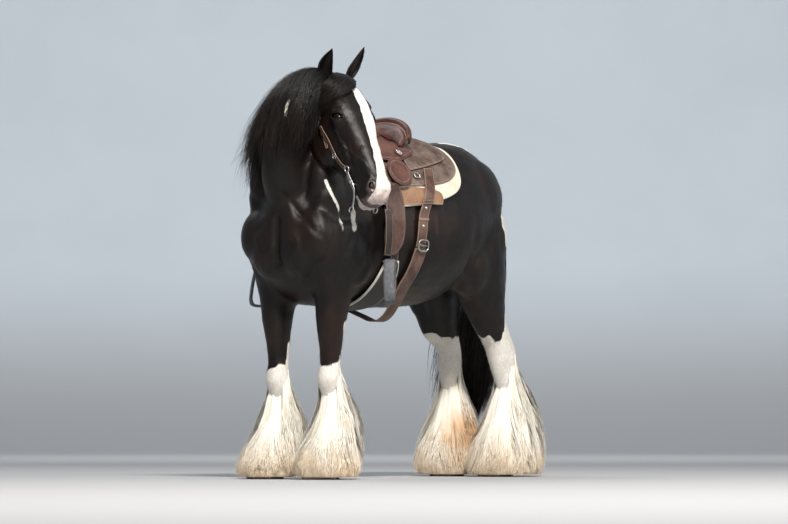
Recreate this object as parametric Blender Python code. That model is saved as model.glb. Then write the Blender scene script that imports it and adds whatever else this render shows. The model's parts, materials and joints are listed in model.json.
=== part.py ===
"""A life-size gypsy vanner horse standing square under a western saddle and bridle, looking to its left.

The horse heads along -Y with its left side at +X. Every length is in metres. The body is built up from
lofted forms, as a sculptor builds up clay, fused into one skin, and then parted with thin cuts where a
person would name its parts.
"""

import math
import random

import bmesh
import bpy
import numpy as np
from mathutils import Matrix, Vector
from mathutils.bvhtree import BVHTree

# Driving dimensions
GAP = 0.0003
FORELEG_X = 0.150
FORELEG_Y = -0.630
HINDLEG_X = 0.155
HINDLEG_Y = 0.625
TOE_OUT = {1: math.radians(3), -1: math.radians(22)}
POLL = Vector((0.208, -0.710, 1.692))
HEAD_TURN = math.radians(78)
HEAD_TILT = math.radians(28)
HEAD_ROLL = math.radians(-1)
BODY_VOXEL = 0.011
HEAD_VOXEL = 0.006
BODY_TRIANGLES = 2350
HEAD_TRIANGLES = 900
MANE_LOCKS = 15
FORELOCK_LOCKS = 6
FEATHER_LOCKS = 8

# Torso sections: y, height of the widest point, half width, rise, drop, edge of the upper and of the lower
# half. An edge of 1 is an ellipse, a lower one is fuller and a higher one more ridged.
TORSO = (
    (-0.830, 1.020, 0.070, 0.090, 0.080, 1.00, 1.00),
    (-0.800, 1.020, 0.150, 0.170, 0.150, 1.00, 1.00),
    (-0.720, 1.030, 0.215, 0.290, 0.245, 1.00, 0.95),
    (-0.600, 1.060, 0.245, 0.380, 0.320, 1.05, 0.90),
    (-0.450, 1.060, 0.262, 0.440, 0.320, 1.15, 0.90),
    (-0.300, 1.050, 0.290, 0.430, 0.310, 1.10, 0.90),
    (-0.100, 1.050, 0.315, 0.375, 0.307, 0.95, 0.92),
    (0.100, 1.060, 0.315, 0.370, 0.300, 0.90, 0.92),
    (0.240, 1.100, 0.295, 0.383, 0.285, 0.90, 0.95),
    (0.360, 1.150, 0.265, 0.345, 0.285, 0.92, 1.00),
    (0.480, 1.170, 0.220, 0.285, 0.290, 0.95, 1.00),
    (0.570, 1.170, 0.165, 0.205, 0.260, 0.98, 1.00),
    (0.640, 1.160, 0.100, 0.120, 0.180, 1.00, 1.00),
    (0.675, 1.150, 0.045, 0.050, 0.090, 1.00, 1.00),
)
# Neck sections: centre, direction of the crest, half width, height to the crest, depth to the throat
NECK = (
    ((0.000, -0.380, 1.200), (0.00, 0.75, 0.65), 0.200, 0.240, 0.330),
    ((0.000, -0.520, 1.270), (0.00, 0.75, 0.65), 0.185, 0.235, 0.330),
    ((0.006, -0.648, 1.365), (0.00, 0.80, 0.60), 0.142, 0.200, 0.280),
    ((0.028, -0.735, 1.465), (-0.10, 0.85, 0.50), 0.115, 0.160, 0.212),
    ((0.075, -0.772, 1.550), (-0.35, 0.65, 0.60), 0.102, 0.120, 0.160),
    ((0.135, -0.768, 1.605), (-0.50, 0.30, 0.75), 0.092, 0.100, 0.132),
    ((0.190, -0.745, 1.630), (-0.50, 0.10, 0.85), 0.080, 0.076, 0.110),
    ((0.225, -0.732, 1.628), (-0.40, 0.05, 0.90), 0.060, 0.050, 0.080),
)
# Foreleg sections: height, inward shift, forward shift, half width, reach to the front, reach to the back
FORELEG = (
    (1.080, -0.020, 0.000, 0.095, 0.130, 0.150),
    (0.960, -0.012, 0.005, 0.100, 0.130, 0.150),
    (0.860, -0.004, 0.004, 0.086, 0.105, 0.125),
    (0.780, 0.000, 0.000, 0.074, 0.086, 0.098),
    (0.680, 0.004, 0.005, 0.064, 0.072, 0.076),
    (0.590, 0.008, 0.006, 0.052, 0.057, 0.058),
    (0.510, 0.010, 0.006, 0.046, 0.048, 0.050),
    (0.450, 0.010, 0.010, 0.052, 0.054, 0.046),
    (0.410, 0.010, 0.010, 0.053, 0.054, 0.052),
    (0.370, 0.010, 0.004, 0.044, 0.044, 0.050),
    (0.330, 0.009, 0.000, 0.036, 0.036, 0.043),
    (0.250, 0.006, 0.000, 0.034, 0.034, 0.043),
    (0.200, 0.004, 0.004, 0.041, 0.038, 0.050),
    (0.170, 0.002, 0.010, 0.046, 0.042, 0.052),
    (0.135, 0.000, 0.032, 0.041, 0.038, 0.042),
    (0.105, 0.000, 0.052, 0.047, 0.046, 0.046),
    (0.085, 0.000, 0.064, 0.057, 0.058, 0.054),
)
# Hindleg sections, in the same columns
HINDLEG = (
    (1.260, 0.020, 0.230, 0.105, 0.170, 0.140),
    (1.150, 0.010, 0.215, 0.110, 0.190, 0.145),
    (1.040, 0.000, 0.205, 0.110, 0.190, 0.145),
    (0.940, -0.004, 0.195, 0.102, 0.180, 0.145),
    (0.860, -0.004, 0.184, 0.096, 0.165, 0.138),
    (0.780, -0.002, 0.158, 0.085, 0.140, 0.120),
    (0.700, 0.000, 0.122, 0.070, 0.112, 0.100),
    (0.630, 0.004, 0.076, 0.058, 0.092, 0.098),
    (0.575, 0.005, 0.034, 0.054, 0.084, 0.098),
    (0.520, 0.004, 0.016, 0.055, 0.080, 0.086),
    (0.470, 0.002, 0.006, 0.050, 0.068, 0.070),
    (0.420, 0.000, -0.002, 0.042, 0.052, 0.056),
    (0.360, 0.000, -0.008, 0.037, 0.038, 0.046),
    (0.270, 0.000, -0.010, 0.036, 0.036, 0.045),
    (0.210, 0.000, -0.006, 0.043, 0.040, 0.052),
    (0.175, 0.000, 0.000, 0.047, 0.044, 0.054),
    (0.138, 0.000, 0.020, 0.042, 0.039, 0.043),
    (0.105, 0.000, 0.040, 0.048, 0.047, 0.047),
    (0.085, 0.000, 0.052, 0.057, 0.058, 0.054),
)
# Head sections, in the head's own frame: distance down from the poll, forward place of the widest point,
# half width, reach to the face, reach to the jaw, edge of the face side and of the jaw side
HEAD = (
    (-0.016, -0.030, 0.033, 0.028, 0.033, 1.00, 1.00),
    (0.012, -0.022, 0.058, 0.050, 0.068, 0.95, 1.00),
    (0.055, -0.012, 0.079, 0.068, 0.108, 0.90, 1.00),
    (0.120, -0.002, 0.093, 0.079, 0.155, 0.85, 1.00),
    (0.200, 0.002, 0.098, 0.085, 0.202, 0.80, 1.05),
    (0.260, -0.005, 0.089, 0.090, 0.205, 0.80, 1.05),
    (0.320, -0.016, 0.075, 0.094, 0.172, 0.80, 1.00),
    (0.380, -0.020, 0.064, 0.090, 0.130, 0.82, 1.00),
    (0.440, -0.020, 0.056, 0.083, 0.098, 0.85, 0.95),
    (0.495, -0.020, 0.052, 0.078, 0.080, 0.88, 0.95),
    (0.535, -0.020, 0.056, 0.078, 0.072, 0.90, 0.95),
    (0.573, -0.018, 0.056, 0.070, 0.064, 0.95, 0.95),
    (0.598, -0.018, 0.048, 0.054, 0.050, 1.00, 1.00),
    (0.614, -0.020, 0.029, 0.030, 0.030, 1.00, 1.00),
)
# Muscle and bone that stand out of the lofts: centre, radii, turn about X in degrees. Each is mirrored.
BODY_FORMS = (
    ((0.160, -0.640, 1.160), (0.085, 0.130, 0.270), 14),
    ((0.185, -0.560, 0.960), (0.080, 0.140, 0.160), 30),
    ((0.080, -0.760, 0.970), (0.090, 0.080, 0.130), 0),
    ((0.155, -0.745, 1.030), (0.085, 0.080, 0.120), 0),
    ((0.140, 0.360, 1.230), (0.120, 0.210, 0.190), 10),
    ((0.145, 0.450, 1.050), (0.105, 0.150, 0.220), 0),
    ((0.085, 0.550, 1.120), (0.080, 0.085, 0.180), 0),
    ((0.180, 0.300, 0.940), (0.085, 0.140, 0.150), 30),
    ((0.175, 0.400, 0.800), (0.070, 0.130, 0.130), 35),
)
HEAD_FORMS = (
    ((0.052, -0.118, -0.255), (0.034, 0.092, 0.105), 0),
    ((0.078, 0.032, -0.224), (0.030, 0.034, 0.040), 0),
    ((0.064, 0.046, -0.175), (0.028, 0.030, 0.042), 0),
    ((0.072, 0.000, -0.320), (0.013, 0.016, 0.075), -6),
    ((0.036, 0.032, -0.552), (0.023, 0.033, 0.042), 0),
    ((0.020, 0.004, -0.592), (0.029, 0.043, 0.027), 0),
    ((0.014, -0.066, -0.575), (0.025, 0.027, 0.033), 0),
)
# Eye, ear, mouth and nostril, in the head's frame, for the left side
EYE = Vector((0.0775, 0.032, -0.226))
EYE_RADIUS = 0.0205
EYE_LOOK = Vector((0.80, 0.58, 0.05)).normalized()
EYE_SLIT = Vector((-0.54, 0.65, -0.53)).normalized()
EAR = {
    1: (Vector((0.058, 0.036, -0.022)), Vector((0.077, 0.172, 0.048))),
    -1: (Vector((-0.054, 0.010, -0.018)), Vector((-0.074, 0.136, 0.056))),
}
MOUTH = ((-0.030, -0.500), (-0.036, -0.530), (-0.040, -0.565), (-0.036, -0.650))
NOSTRIL = Vector((0.047, 0.040, -0.560))

# Where the skin is parted: a height, and the box of x and y that the cut reaches over
FORELEG_CUTS = (0.715, 0.460)
HINDLEG_CUTS = (0.770, 0.500)
CORONET = 0.0915
NECK_CUT = (Vector((0, -0.660, 1.310)), Vector((0, -0.697, 0.717)))

# The trunk's axis for the saddlery, and the saddlery's edges: y against the angle from straight up in degrees
AXIS_HEIGHT = 1.05
PAD = (
    (-0.500, 57),
    (-0.460, 64),
    (-0.400, 68),
    (-0.330, 69),
    (-0.186, 67.5),
    (-0.070, 64),
    (0.010, 60.5),
    (0.072, 56),
    (0.115, 50),
    (0.140, 43),
    (0.165, 31),
    (0.180, 18),
)
SKIRT = (
    (-0.470, 40),
    (-0.440, 49),
    (-0.360, 53),
    (-0.162, 53.5),
    (-0.041, 51.5),
    (0.030, 48.5),
    (0.088, 44),
    (0.120, 39),
    (0.138, 31),
    (0.155, 16),
)
REAR_JOCKEY = (
    (-0.230, 43),
    (-0.113, 40),
    (0.005, 35.5),
    (0.070, 32.5),
    (0.100, 29),
    (0.120, 21),
    (0.138, 9),
)
# How far the jockeys stand up over the tree along y
JOCKEY_RISE = ((-0.046, 0.000), (0.000, 0.040), (0.050, 0.038), (0.110, 0.020), (0.138, 0.002))
SEAT_BASE = (
    (-0.460, 26),
    (-0.420, 33),
    (-0.330, 36.5),
    (-0.250, 36),
    (-0.180, 32),
    (-0.120, 28),
    (-0.070, 20),
)
# The padded seat's height over the trunk along y
SEAT_LINE = (
    (-0.355, 0.082),
    (-0.300, 0.060),
    (-0.250, 0.052),
    (-0.200, 0.056),
    (-0.165, 0.068),
    (-0.138, 0.085),
)
SEAT_LENGTH = 0.217
# How far the ends of the cantle come forward round the seat
CANTLE_BOW = 0.075
CANTLE_ANGLE = 24
# Fender: angle, y, half width
FENDER = (
    (52, -0.385, 0.040),
    (60, -0.387, 0.050),
    (70, -0.392, 0.054),
    (80, -0.399, 0.057),
    (90, -0.404, 0.058),
    (98, -0.408, 0.052),
    (104, -0.412, 0.038),
    (108, -0.415, 0.020),
)
# Rear cinch: angle from straight up, y and height over the skin. It hangs loose below the left side
REAR_CINCH = (
    (99, -0.2210, 0.014),
    (110, -0.2320, 0.012),
    (122, -0.2430, 0.012),
    (134, -0.2500, 0.014),
    (148, -0.2400, 0.032),
    (158, -0.2300, 0.056),
    (165, -0.2250, 0.066),
    (172, -0.2220, 0.058),
    (180, -0.2200, 0.036),
    (190, -0.2200, 0.018),
    (202, -0.2260, 0.012),
    (226, -0.2500, 0.011),
    (250, -0.2320, 0.011),
    (261, -0.2210, 0.014),
)
# The bridle's crown from the left cheek to the poll and its cheek strap, in the head's frame
CROWN = (
    (0.094, -0.064, -0.164),
    (0.094, -0.056, -0.120),
    (0.082, -0.046, -0.055),
    (0.054, -0.040, -0.004),
    (0.000, -0.042, 0.020),
)
CHEEK = (
    (0.094, -0.066, -0.203),
    (0.085, -0.063, -0.264),
    (0.068, -0.068, -0.345),
    (0.058, -0.058, -0.395),
    (0.057, -0.046, -0.413),
)
BROW_CONCHO = (0.094, -0.066, -0.184)
# The curb bit, in the head's frame: half its width, and its shank's y, z and half width
BIT_HALF = 0.0665
SHANK = (
    (-0.044, -0.438, 0.006),
    (-0.046, -0.470, 0.010),
    (-0.043, -0.500, 0.009),
    (-0.046, -0.530, 0.006),
    (-0.062, -0.560, 0.005),
    (-0.084, -0.584, 0.005),
)
# Stirrup in its own plane: across, down from the top
STIRRUP_TOP = Vector((0.338, -0.478, 0.932))
STIRRUP = (
    (0.000, 0.000),
    (0.030, 0.002),
    (0.046, 0.030),
    (0.056, 0.075),
    (0.064, 0.125),
    (0.066, 0.155),
    (0.054, 0.176),
    (0.000, 0.181),
)


def head_frame():
    """The matrix that carries the head's own frame, x left, y out of the face, z up to the poll, into place.

    That frame is left-handed, so a mesh that it carries has its faces turned over again."""
    facing = Vector((math.sin(HEAD_TURN), -math.cos(HEAD_TURN), 0))
    left = Vector((0, 0, 1)).cross(facing)
    level = Matrix((left, facing, (0, 0, 1))).transposed()
    turned = level @ Matrix.Rotation(HEAD_TILT, 3, "X") @ Matrix.Rotation(HEAD_ROLL, 3, "Y")
    return Matrix.Translation(POLL) @ turned.to_4x4()


def passed_through(rows, count):
    """The rows of a table passed through smoothly (Catmull-Rom) in count even steps."""
    table = np.array(rows, float)
    ends = np.vstack([2 * table[0] - table[1], table, 2 * table[-1] - table[-2]])
    made = []
    for step in np.linspace(0, len(table) - 1, count):
        i = min(int(step), len(table) - 2)
        t = step - i
        a, b, c, d = ends[i : i + 4]
        bend = (2 * a - 5 * b + 4 * c - d) * t**2 + (3 * b - a - 3 * c + d) * t**3
        made.append(0.5 * (2 * b + (c - a) * t + bend))
    return np.array(made)


def section(centre, side, up, width, rise, drop, edge_up=1.0, edge_down=1.0, count=24):
    """The points of one closed section round centre."""
    centre, side, up = Vector(centre), Vector(side), Vector(up)
    points = []
    for k in range(count):
        c, s = math.cos(math.tau * k / count), math.sin(math.tau * k / count)
        edge, reach = (edge_up, rise) if s >= 0 else (edge_down, drop)
        across = width * math.copysign(abs(c) ** edge, c)
        points.append(centre + side * across + up * reach * math.copysign(abs(s) ** edge, s))
    return points


def mesh_object(name, bm):
    """An object of the bmesh, with its faces pointing out."""
    bmesh.ops.recalc_face_normals(bm, faces=bm.faces)
    if bm.calc_volume(signed=True) < 0:
        bmesh.ops.reverse_faces(bm, faces=bm.faces)
    mesh = bpy.data.meshes.new(name)
    bm.to_mesh(mesh)
    bm.free()
    obj = bpy.data.objects.new(name, mesh)
    bpy.context.scene.collection.objects.link(obj)
    return obj


def loft(name, sections):
    """A closed skin over the sections, which have the same number of points."""
    bm = bmesh.new()
    loops = [[bm.verts.new(point) for point in ring] for ring in sections]
    for first, second in zip(loops, loops[1:]):
        for k in range(len(first)):
            after = (k + 1) % len(first)
            bm.faces.new((first[k], first[after], second[after], second[k]))
    bm.faces.new(loops[0])
    bm.faces.new(loops[-1])
    return mesh_object(name, bm)


def ellipsoid(name, centre, radii, turn=0.0):
    """A closed ellipsoid turned about the X axis by turn degrees."""
    bm = bmesh.new()
    bmesh.ops.create_icosphere(bm, subdivisions=3, radius=1)
    place = Matrix.Translation(centre) @ Matrix.Rotation(math.radians(turn), 4, "X")
    bm.transform(place @ Matrix.Diagonal((*radii, 1)))
    return mesh_object(name, bm)


def both_sides(forms):
    """Ellipsoids from a table and their mirror images."""
    made = []
    for (x, y, z), radii, turn in forms:
        made += [ellipsoid("form", (side * x, y, z), radii, turn) for side in (1, -1)]
    return made


def evaluated(obj):
    """The object with its modifiers applied."""
    graph = bpy.context.evaluated_depsgraph_get()
    mesh = bpy.data.meshes.new_from_object(obj.evaluated_get(graph))
    obj.modifiers.clear()
    obj.data = mesh
    return obj


def tree_of(obj):
    """A search tree of the object's faces, which stand in world space."""
    mesh = obj.data
    faces = [tuple(face.vertices) for face in mesh.polygons]
    return BVHTree.FromPolygons([vertex.co.copy() for vertex in mesh.vertices], faces)


def joined(name, forms):
    """The forms in one mesh, still separate surfaces."""
    bm = bmesh.new()
    for form in forms:
        form.data.transform(form.matrix_world)
        bm.from_mesh(form.data)
        bpy.data.objects.remove(form)
    return mesh_object(name, bm)


def copied(obj):
    double = bpy.data.objects.new(obj.name, obj.data.copy())
    bpy.context.scene.collection.objects.link(double)
    return double


def clay(skin, voxel, smoothing):
    """Runs the surfaces of a mesh together into one smooth closed skin."""
    remesh = skin.modifiers.new("clay", "REMESH")
    remesh.mode = "VOXEL"
    remesh.voxel_size = voxel
    smooth = skin.modifiers.new("soften", "SMOOTH")
    smooth.factor = 0.5
    smooth.iterations = smoothing
    return evaluated(skin)


def thinned(skin, triangles):
    """The skin brought down to about that many triangles."""
    thin = skin.modifiers.new("thin out", "DECIMATE")
    thin.ratio = triangles / (2 * len(skin.data.polygons))
    thin.use_collapse_triangulate = True
    return evaluated(skin)


def parts_of(obj):
    """The closed surfaces of a mesh, each as a set of vertex numbers, the one with the largest box first."""
    mesh = obj.data
    home = list(range(len(mesh.vertices)))

    def root(i):
        while home[i] != i:
            home[i] = home[home[i]]
            i = home[i]
        return i

    for a, b in mesh.edge_keys:
        home[root(a)] = root(b)
    groups = {}
    for i in range(len(home)):
        groups.setdefault(root(i), []).append(i)

    def size(group):
        points = np.array([mesh.vertices[i].co for i in group])
        return float(np.prod(points.max(axis=0) - points.min(axis=0)))

    return sorted(groups.values(), key=size, reverse=True)


def only(obj, group):
    """The object with nothing left but those vertices and their faces."""
    bm = bmesh.new()
    bm.from_mesh(obj.data)
    kept = set(group)
    bmesh.ops.delete(bm, geom=[v for v in bm.verts if v.index not in kept], context="VERTS")
    bm.to_mesh(obj.data)
    bm.free()
    return obj


def largest(obj):
    """The object with only its largest closed surface."""
    groups = parts_of(obj)
    return only(obj, groups[0]) if len(groups) > 1 else obj


def in_triangles(obj):
    """Cuts every face of the mesh into triangles so that each edge has two faces, and says if it could.

    Two faces that would get the same diagonal are cut from a point in the smaller one's middle instead."""
    bm = bmesh.new()
    bm.from_mesh(obj.data)
    for _ in range(4):
        trial = bm.copy()
        bmesh.ops.triangulate(trial, faces=trial.faces)
        doubled = [tuple(v.index for v in edge.verts) for edge in trial.edges if not edge.is_manifold]
        trial.free()
        if not doubled:
            break
        bm.faces.ensure_lookup_table()
        for a, b in doubled:
            shared = [f for f in bm.faces if len(f.verts) > 3 and {a, b} <= {v.index for v in f.verts}]
            if shared:
                bmesh.ops.poke(bm, faces=[min(shared, key=lambda f: f.calc_area())])
        bm.verts.index_update()
    bmesh.ops.triangulate(bm, faces=bm.faces)
    whole = all(edge.is_manifold for edge in bm.edges)
    bm.to_mesh(obj.data)
    bm.free()
    return whole


def fused(obj, pieces, operation, solver, only_largest=False):
    """One Boolean of the pieces on the object, which takes them away.

    Where the surfaces meet in an awkward way the pieces are moved by a hair and it is done again."""
    before = obj.data.copy()
    for nudge in (0, 0.00003, -0.00006, 0.00009):
        group = bpy.data.collections.new("pieces")
        for piece in pieces:
            piece.data.transform(Matrix.Translation((nudge, -nudge, nudge)))
            group.objects.link(piece)
        obj.data = before.copy()
        step = obj.modifiers.new("fuse", "BOOLEAN")
        step.operation = operation
        step.solver = solver
        step.operand_type = "COLLECTION"
        step.collection = group
        evaluated(obj)
        bpy.data.collections.remove(group)
        if only_largest:
            largest(obj)
        if in_triangles(obj):
            break
    for piece in pieces:
        bpy.data.objects.remove(piece)
    return obj


def carve(obj, cutters, operation="DIFFERENCE", solver="EXACT"):
    """Cuts each cutter from the object, or adds it, and takes the cutters away."""
    for cutter in cutters:
        fused(obj, [cutter], operation, solver)
    return obj


def grown(obj, locks):
    """The locks of a node joined to it by one union."""
    return fused(obj, locks, "UNION", "MANIFOLD", True)


def swollen(obj, distance):
    """A copy of the object with its skin moved out by distance."""
    double = copied(obj)
    bm = bmesh.new()
    bm.from_mesh(double.data)
    bm.normal_update()
    for vertex in bm.verts:
        vertex.co += vertex.normal * distance * vertex.calc_shell_factor()
    bm.to_mesh(double.data)
    bm.free()
    return double


def block(name, low, high):
    """A box from its low to its high corner."""
    bm = bmesh.new()
    bmesh.ops.create_cube(bm, size=1)
    low, high = Vector(low), Vector(high)
    bm.transform(Matrix.Translation((low + high) / 2) @ Matrix.Diagonal((*(high - low), 1)))
    return mesh_object(name, bm)


def slab(point, normal, reach=1.0):
    """A cut of the gap's width, square to the normal."""
    bm = bmesh.new()
    bmesh.ops.create_cube(bm, size=1)
    turn = Vector(normal).to_track_quat("Z", "Y").to_matrix().to_4x4()
    bm.transform(Matrix.Translation(point) @ turn @ Matrix.Diagonal((reach, reach, GAP, 1)))
    return mesh_object("slab", bm)


def grid_solid(name, outer, inner):
    """A closed sheet between two grids of points of the same size."""
    bm = bmesh.new()
    top = [[bm.verts.new(point) for point in row] for row in outer]
    bottom = [[bm.verts.new(point) for point in row] for row in inner]
    rows, columns = len(top), len(top[0])
    for grid in (top, bottom):
        for i in range(rows - 1):
            for j in range(columns - 1):
                bm.faces.new((grid[i][j], grid[i + 1][j], grid[i + 1][j + 1], grid[i][j + 1]))
    rim = [(i, 0) for i in range(rows)] + [(rows - 1, j) for j in range(1, columns)]
    rim += [(i, columns - 1) for i in range(rows - 2, -1, -1)] + [(0, j) for j in range(columns - 2, 0, -1)]
    for (a, b), (c, d) in zip(rim, rim[1:] + rim[:1]):
        bm.faces.new((top[a][b], top[c][d], bottom[c][d], bottom[a][b]))
    bmesh.ops.triangulate(bm, faces=bm.faces)
    return mesh_object(name, bm)


def sweep(name, path, shape, normals, closed=False):
    """A closed band: a flat shape, given across and out, carried along the path, out to the normals."""
    path = [Vector(p) for p in path]
    rings = []
    for i, point in enumerate(path):
        before = path[i - 1] if closed or i else path[0]
        after = path[(i + 1) % len(path)] if closed or i + 1 < len(path) else path[-1]
        along = (after - before).normalized()
        side = along.cross(Vector(normals[i])).normalized()
        out = side.cross(along)
        rings.append([point + side * a + out * b for a, b in shape])
    if not closed:
        return loft(name, rings)
    bm = bmesh.new()
    loops = [[bm.verts.new(point) for point in ring] for ring in rings]
    for first, second in zip(loops, loops[1:] + loops[:1]):
        for k in range(len(first)):
            after = (k + 1) % len(first)
            bm.faces.new((first[k], first[after], second[after], second[k]))
    return mesh_object(name, bm)


def torso():
    rings = []
    for y, z, *shape in passed_through(TORSO, 40):
        rings.append(section((0, y, z), (1, 0, 0), (0, 0, 1), *shape))
    return loft("torso", rings)


def neck():
    rows = passed_through([(*c, *up, *sizes) for c, up, *sizes in NECK], 24)
    rings = []
    for i, row in enumerate(rows):
        centre = Vector(row[:3])
        ahead = Vector(rows[min(i + 1, len(rows) - 1)][:3]) - Vector(rows[max(i - 1, 0)][:3])
        ahead.normalize()
        side = ahead.cross(Vector(row[3:6])).normalized()
        up = side.cross(ahead)
        rings.append(section(centre, side, up, row[6], row[7], row[8]))
    return loft("neck", rings)


def leg(table, side, x, y, turn=0.0):
    """A leg from its table of sections, its toe turned out by turn."""
    swing = Matrix.Translation((side * x, y, 0)) @ Matrix.Rotation(-side * turn, 4, "Z")
    rings = []
    for height, inward, forward, width, front, back in passed_through(table, 40):
        ring = section((-side * inward, -forward, height), (1, 0, 0), (0, -1, 0), width, front, back)
        rings.append([swing @ point for point in ring])
    return loft("leg", rings)


def body_skin():
    """The skin of trunk, neck and legs in fine clay."""
    forms = [torso(), neck(), *both_sides(BODY_FORMS)]
    for side in (1, -1):
        forms.append(leg(FORELEG, side, FORELEG_X, FORELEG_Y))
        forms.append(leg(HINDLEG, side, HINDLEG_X, HINDLEG_Y, TOE_OUT[side]))
    return clay(joined("body", forms), BODY_VOXEL, 12)


def head_skin():
    """The skin of the head in fine clay, in its own frame."""
    rings = []
    for down, forward, *shape in passed_through(HEAD, 40):
        rings.append(section((0, forward, -down), (1, 0, 0), (0, 1, 0), *shape))
    return clay(joined("head", [loft("head", rings), *both_sides(HEAD_FORMS)]), HEAD_VOXEL, 6)


def placed(obj):
    obj.data.transform(head_frame())
    obj.data.flip_normals()
    return obj


def mirrored(point, side):
    return Vector((side * point[0], point[1], point[2]))


def eye_ball(side, radius):
    bm = bmesh.new()
    bmesh.ops.create_uvsphere(bm, u_segments=10, v_segments=6, radius=radius)
    turn = mirrored(EYE_LOOK, side).to_track_quat("Z", "Y").to_matrix().to_4x4()
    bm.transform(Matrix.Translation(mirrored(EYE, side)) @ turn)
    return mesh_object("eye", bm)


def slit_frame(side):
    """Along the slit between the lids, across it, and out of the eye."""
    look = mirrored(EYE_LOOK, side)
    along = mirrored(EYE_SLIT, side)
    along = (along - look * along.dot(look)).normalized()
    return along, look.cross(along), look


def lid(side, reach_along, reach_across, low, high):
    """A solid with an almond outline round the slit, from low to high over the eye's centre."""
    along, across, look = slit_frame(side)
    rings = []
    for height, grow in ((low, 1.0), ((low + high) / 2, 1.0), (high, 0.86)):
        ring = []
        for k in range(12):
            c, s = math.cos(math.tau * k / 12), math.sin(math.tau * k / 12)
            width = reach_along * c * grow
            rise = reach_across * math.copysign(abs(s) ** 1.3, s) * grow
            ring.append(mirrored(EYE, side) + along * width + across * rise + look * height)
        rings.append(ring)
    return loft("lid", rings)


def nostril(side):
    """A comma-shaped pit that runs in and up."""
    into = mirrored(Vector((-0.55, -0.45, 0.50)), side).normalized()
    long = mirrored(Vector((0.10, 0.45, 0.85)), side)
    long = (long - into * long.dot(into)).normalized()
    wide = into.cross(long)
    rings = []
    for depth, length, width, slide in (
        (-0.030, 0.020, 0.009, 0.004),
        (0.000, 0.018, 0.009, 0),
        (0.012, 0.013, 0.007, 0),
        (0.026, 0.006, 0.004, 0),
    ):
        centre = mirrored(NOSTRIL, side) + into * depth + long * slide
        rings.append(section(centre, wide, long, width, length, length * 0.9, count=10))
    return loft("nostril", rings)


def mouth():
    """The slit between the lips, from corner to corner, as one bent sheet."""
    outer, inner = [], []
    for y, z in passed_through(MOUTH, 7):
        outer.append([Vector((x, y + 0.0013, z)) for x in (-0.09, 0.09)])
        inner.append([Vector((x, y - 0.0013, z)) for x in (-0.09, 0.09)])
    return grid_solid("mouth", outer, inner)


def ear(side):
    """A cupped ear: a C of skin round a hollow, wide a third of the way up and drawn to a point."""
    base, tip = EAR[side]
    along = (tip - base).normalized()
    cup = Vector((side * 0.35, 0.35, -0.80))
    cup = (cup - along * cup.dot(along)).normalized()
    across = along.cross(cup)
    length = (tip - base).length
    rings = []
    for t, wide, deep, wall in (
        (-0.16, 0.020, 0.018, 0.99),
        (0.02, 0.024, 0.021, 0.96),
        (0.12, 0.029, 0.024, 0.40),
        (0.28, 0.033, 0.025, 0.28),
        (0.46, 0.032, 0.022, 0.26),
        (0.64, 0.026, 0.018, 0.28),
        (0.82, 0.016, 0.011, 0.36),
        (1.00, 0.002, 0.002, 0.80),
    ):
        bow = across * side * 0.012 * math.sin(math.pi * max(t, 0))
        centre = base + along * length * t - bow - cup * 0.006 * t
        ring = []
        for k in range(6):
            angle = math.radians(-115 + 230 * k / 5)
            ring.append(centre + across * wide * math.sin(angle) - cup * deep * math.cos(angle))
        for k in range(4):
            angle = math.radians(100 - 200 * k / 3)
            hollow = 1 - wall
            inward = math.cos(angle) * hollow - 0.2 * wall
            ring.append(centre + across * wide * hollow * math.sin(angle) - cup * deep * inward)
        rings.append(ring)
    return loft("ear", rings)


def hoof(side, x, y, turn, length):
    """A hoof that widens down to a flat sole."""
    swing = Matrix.Translation((side * x, y, 0)) @ Matrix.Rotation(-side * turn, 4, "Z")
    rings = []
    for height, forward, width, front, back in (
        (0.000, 0.078, 0.077, 0.086 * length, 0.070),
        (0.008, 0.078, 0.079, 0.088 * length, 0.072),
        (CORONET - GAP, 0.064, 0.058, 0.059 * length, 0.057),
    ):
        ring = section((0, -forward, height), (1, 0, 0), (0, -1, 0), width, front, back, count=14)
        rings.append([swing @ point for point in ring])
    return loft("hoof", rings)


def angle_reach(table, y):
    return float(np.interp(y, [row[0] for row in table], [row[1] for row in table]))


def trunk_table(tree):
    """The trunk's distance from its axis, by y and by angle, smoothed but nowhere under the skin."""
    ys, angles = np.arange(-0.62, 0.281, 0.02), np.arange(-180, 181, 5)
    reach = np.zeros((len(ys), len(angles)))
    for i, y in enumerate(ys):
        for j, degrees in enumerate(angles):
            out = Vector((math.sin(math.radians(degrees)), 0, math.cos(math.radians(degrees))))
            found = tree.ray_cast(Vector((0, y, AXIS_HEIGHT)), out)
            reach[i, j] = min(found[3] if found[0] else 0.46, 0.46)
    smooth = reach.copy()
    for _ in range(3):
        padded = np.pad(smooth, ((1, 1), (0, 0)), mode="edge")
        smooth = (padded[:-2] + 2 * padded[1:-1] + padded[2:]) / 4
        smooth = (np.roll(smooth, 1, 1) + 2 * smooth + np.roll(smooth, -1, 1)) / 4
    return np.maximum(smooth, reach) + 0.001


def on_trunk(table, y, degrees, height):
    """The point over the trunk's skin at y, at an angle from straight up, by height."""
    degrees = (degrees + 180) % 360 - 180
    i, j = (y + 0.62) / 0.02, (degrees + 180) / 5
    a, b = min(int(i), table.shape[0] - 2), min(int(j), table.shape[1] - 2)
    u, v = i - a, j - b
    near = table[a, b] * (1 - v) + table[a, b + 1] * v
    far = table[a + 1, b] * (1 - v) + table[a + 1, b + 1] * v
    reach = near * (1 - u) + far * u + height
    turn = math.radians(degrees)
    return Vector((reach * math.sin(turn), y, AXIS_HEIGHT + reach * math.cos(turn)))


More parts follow.
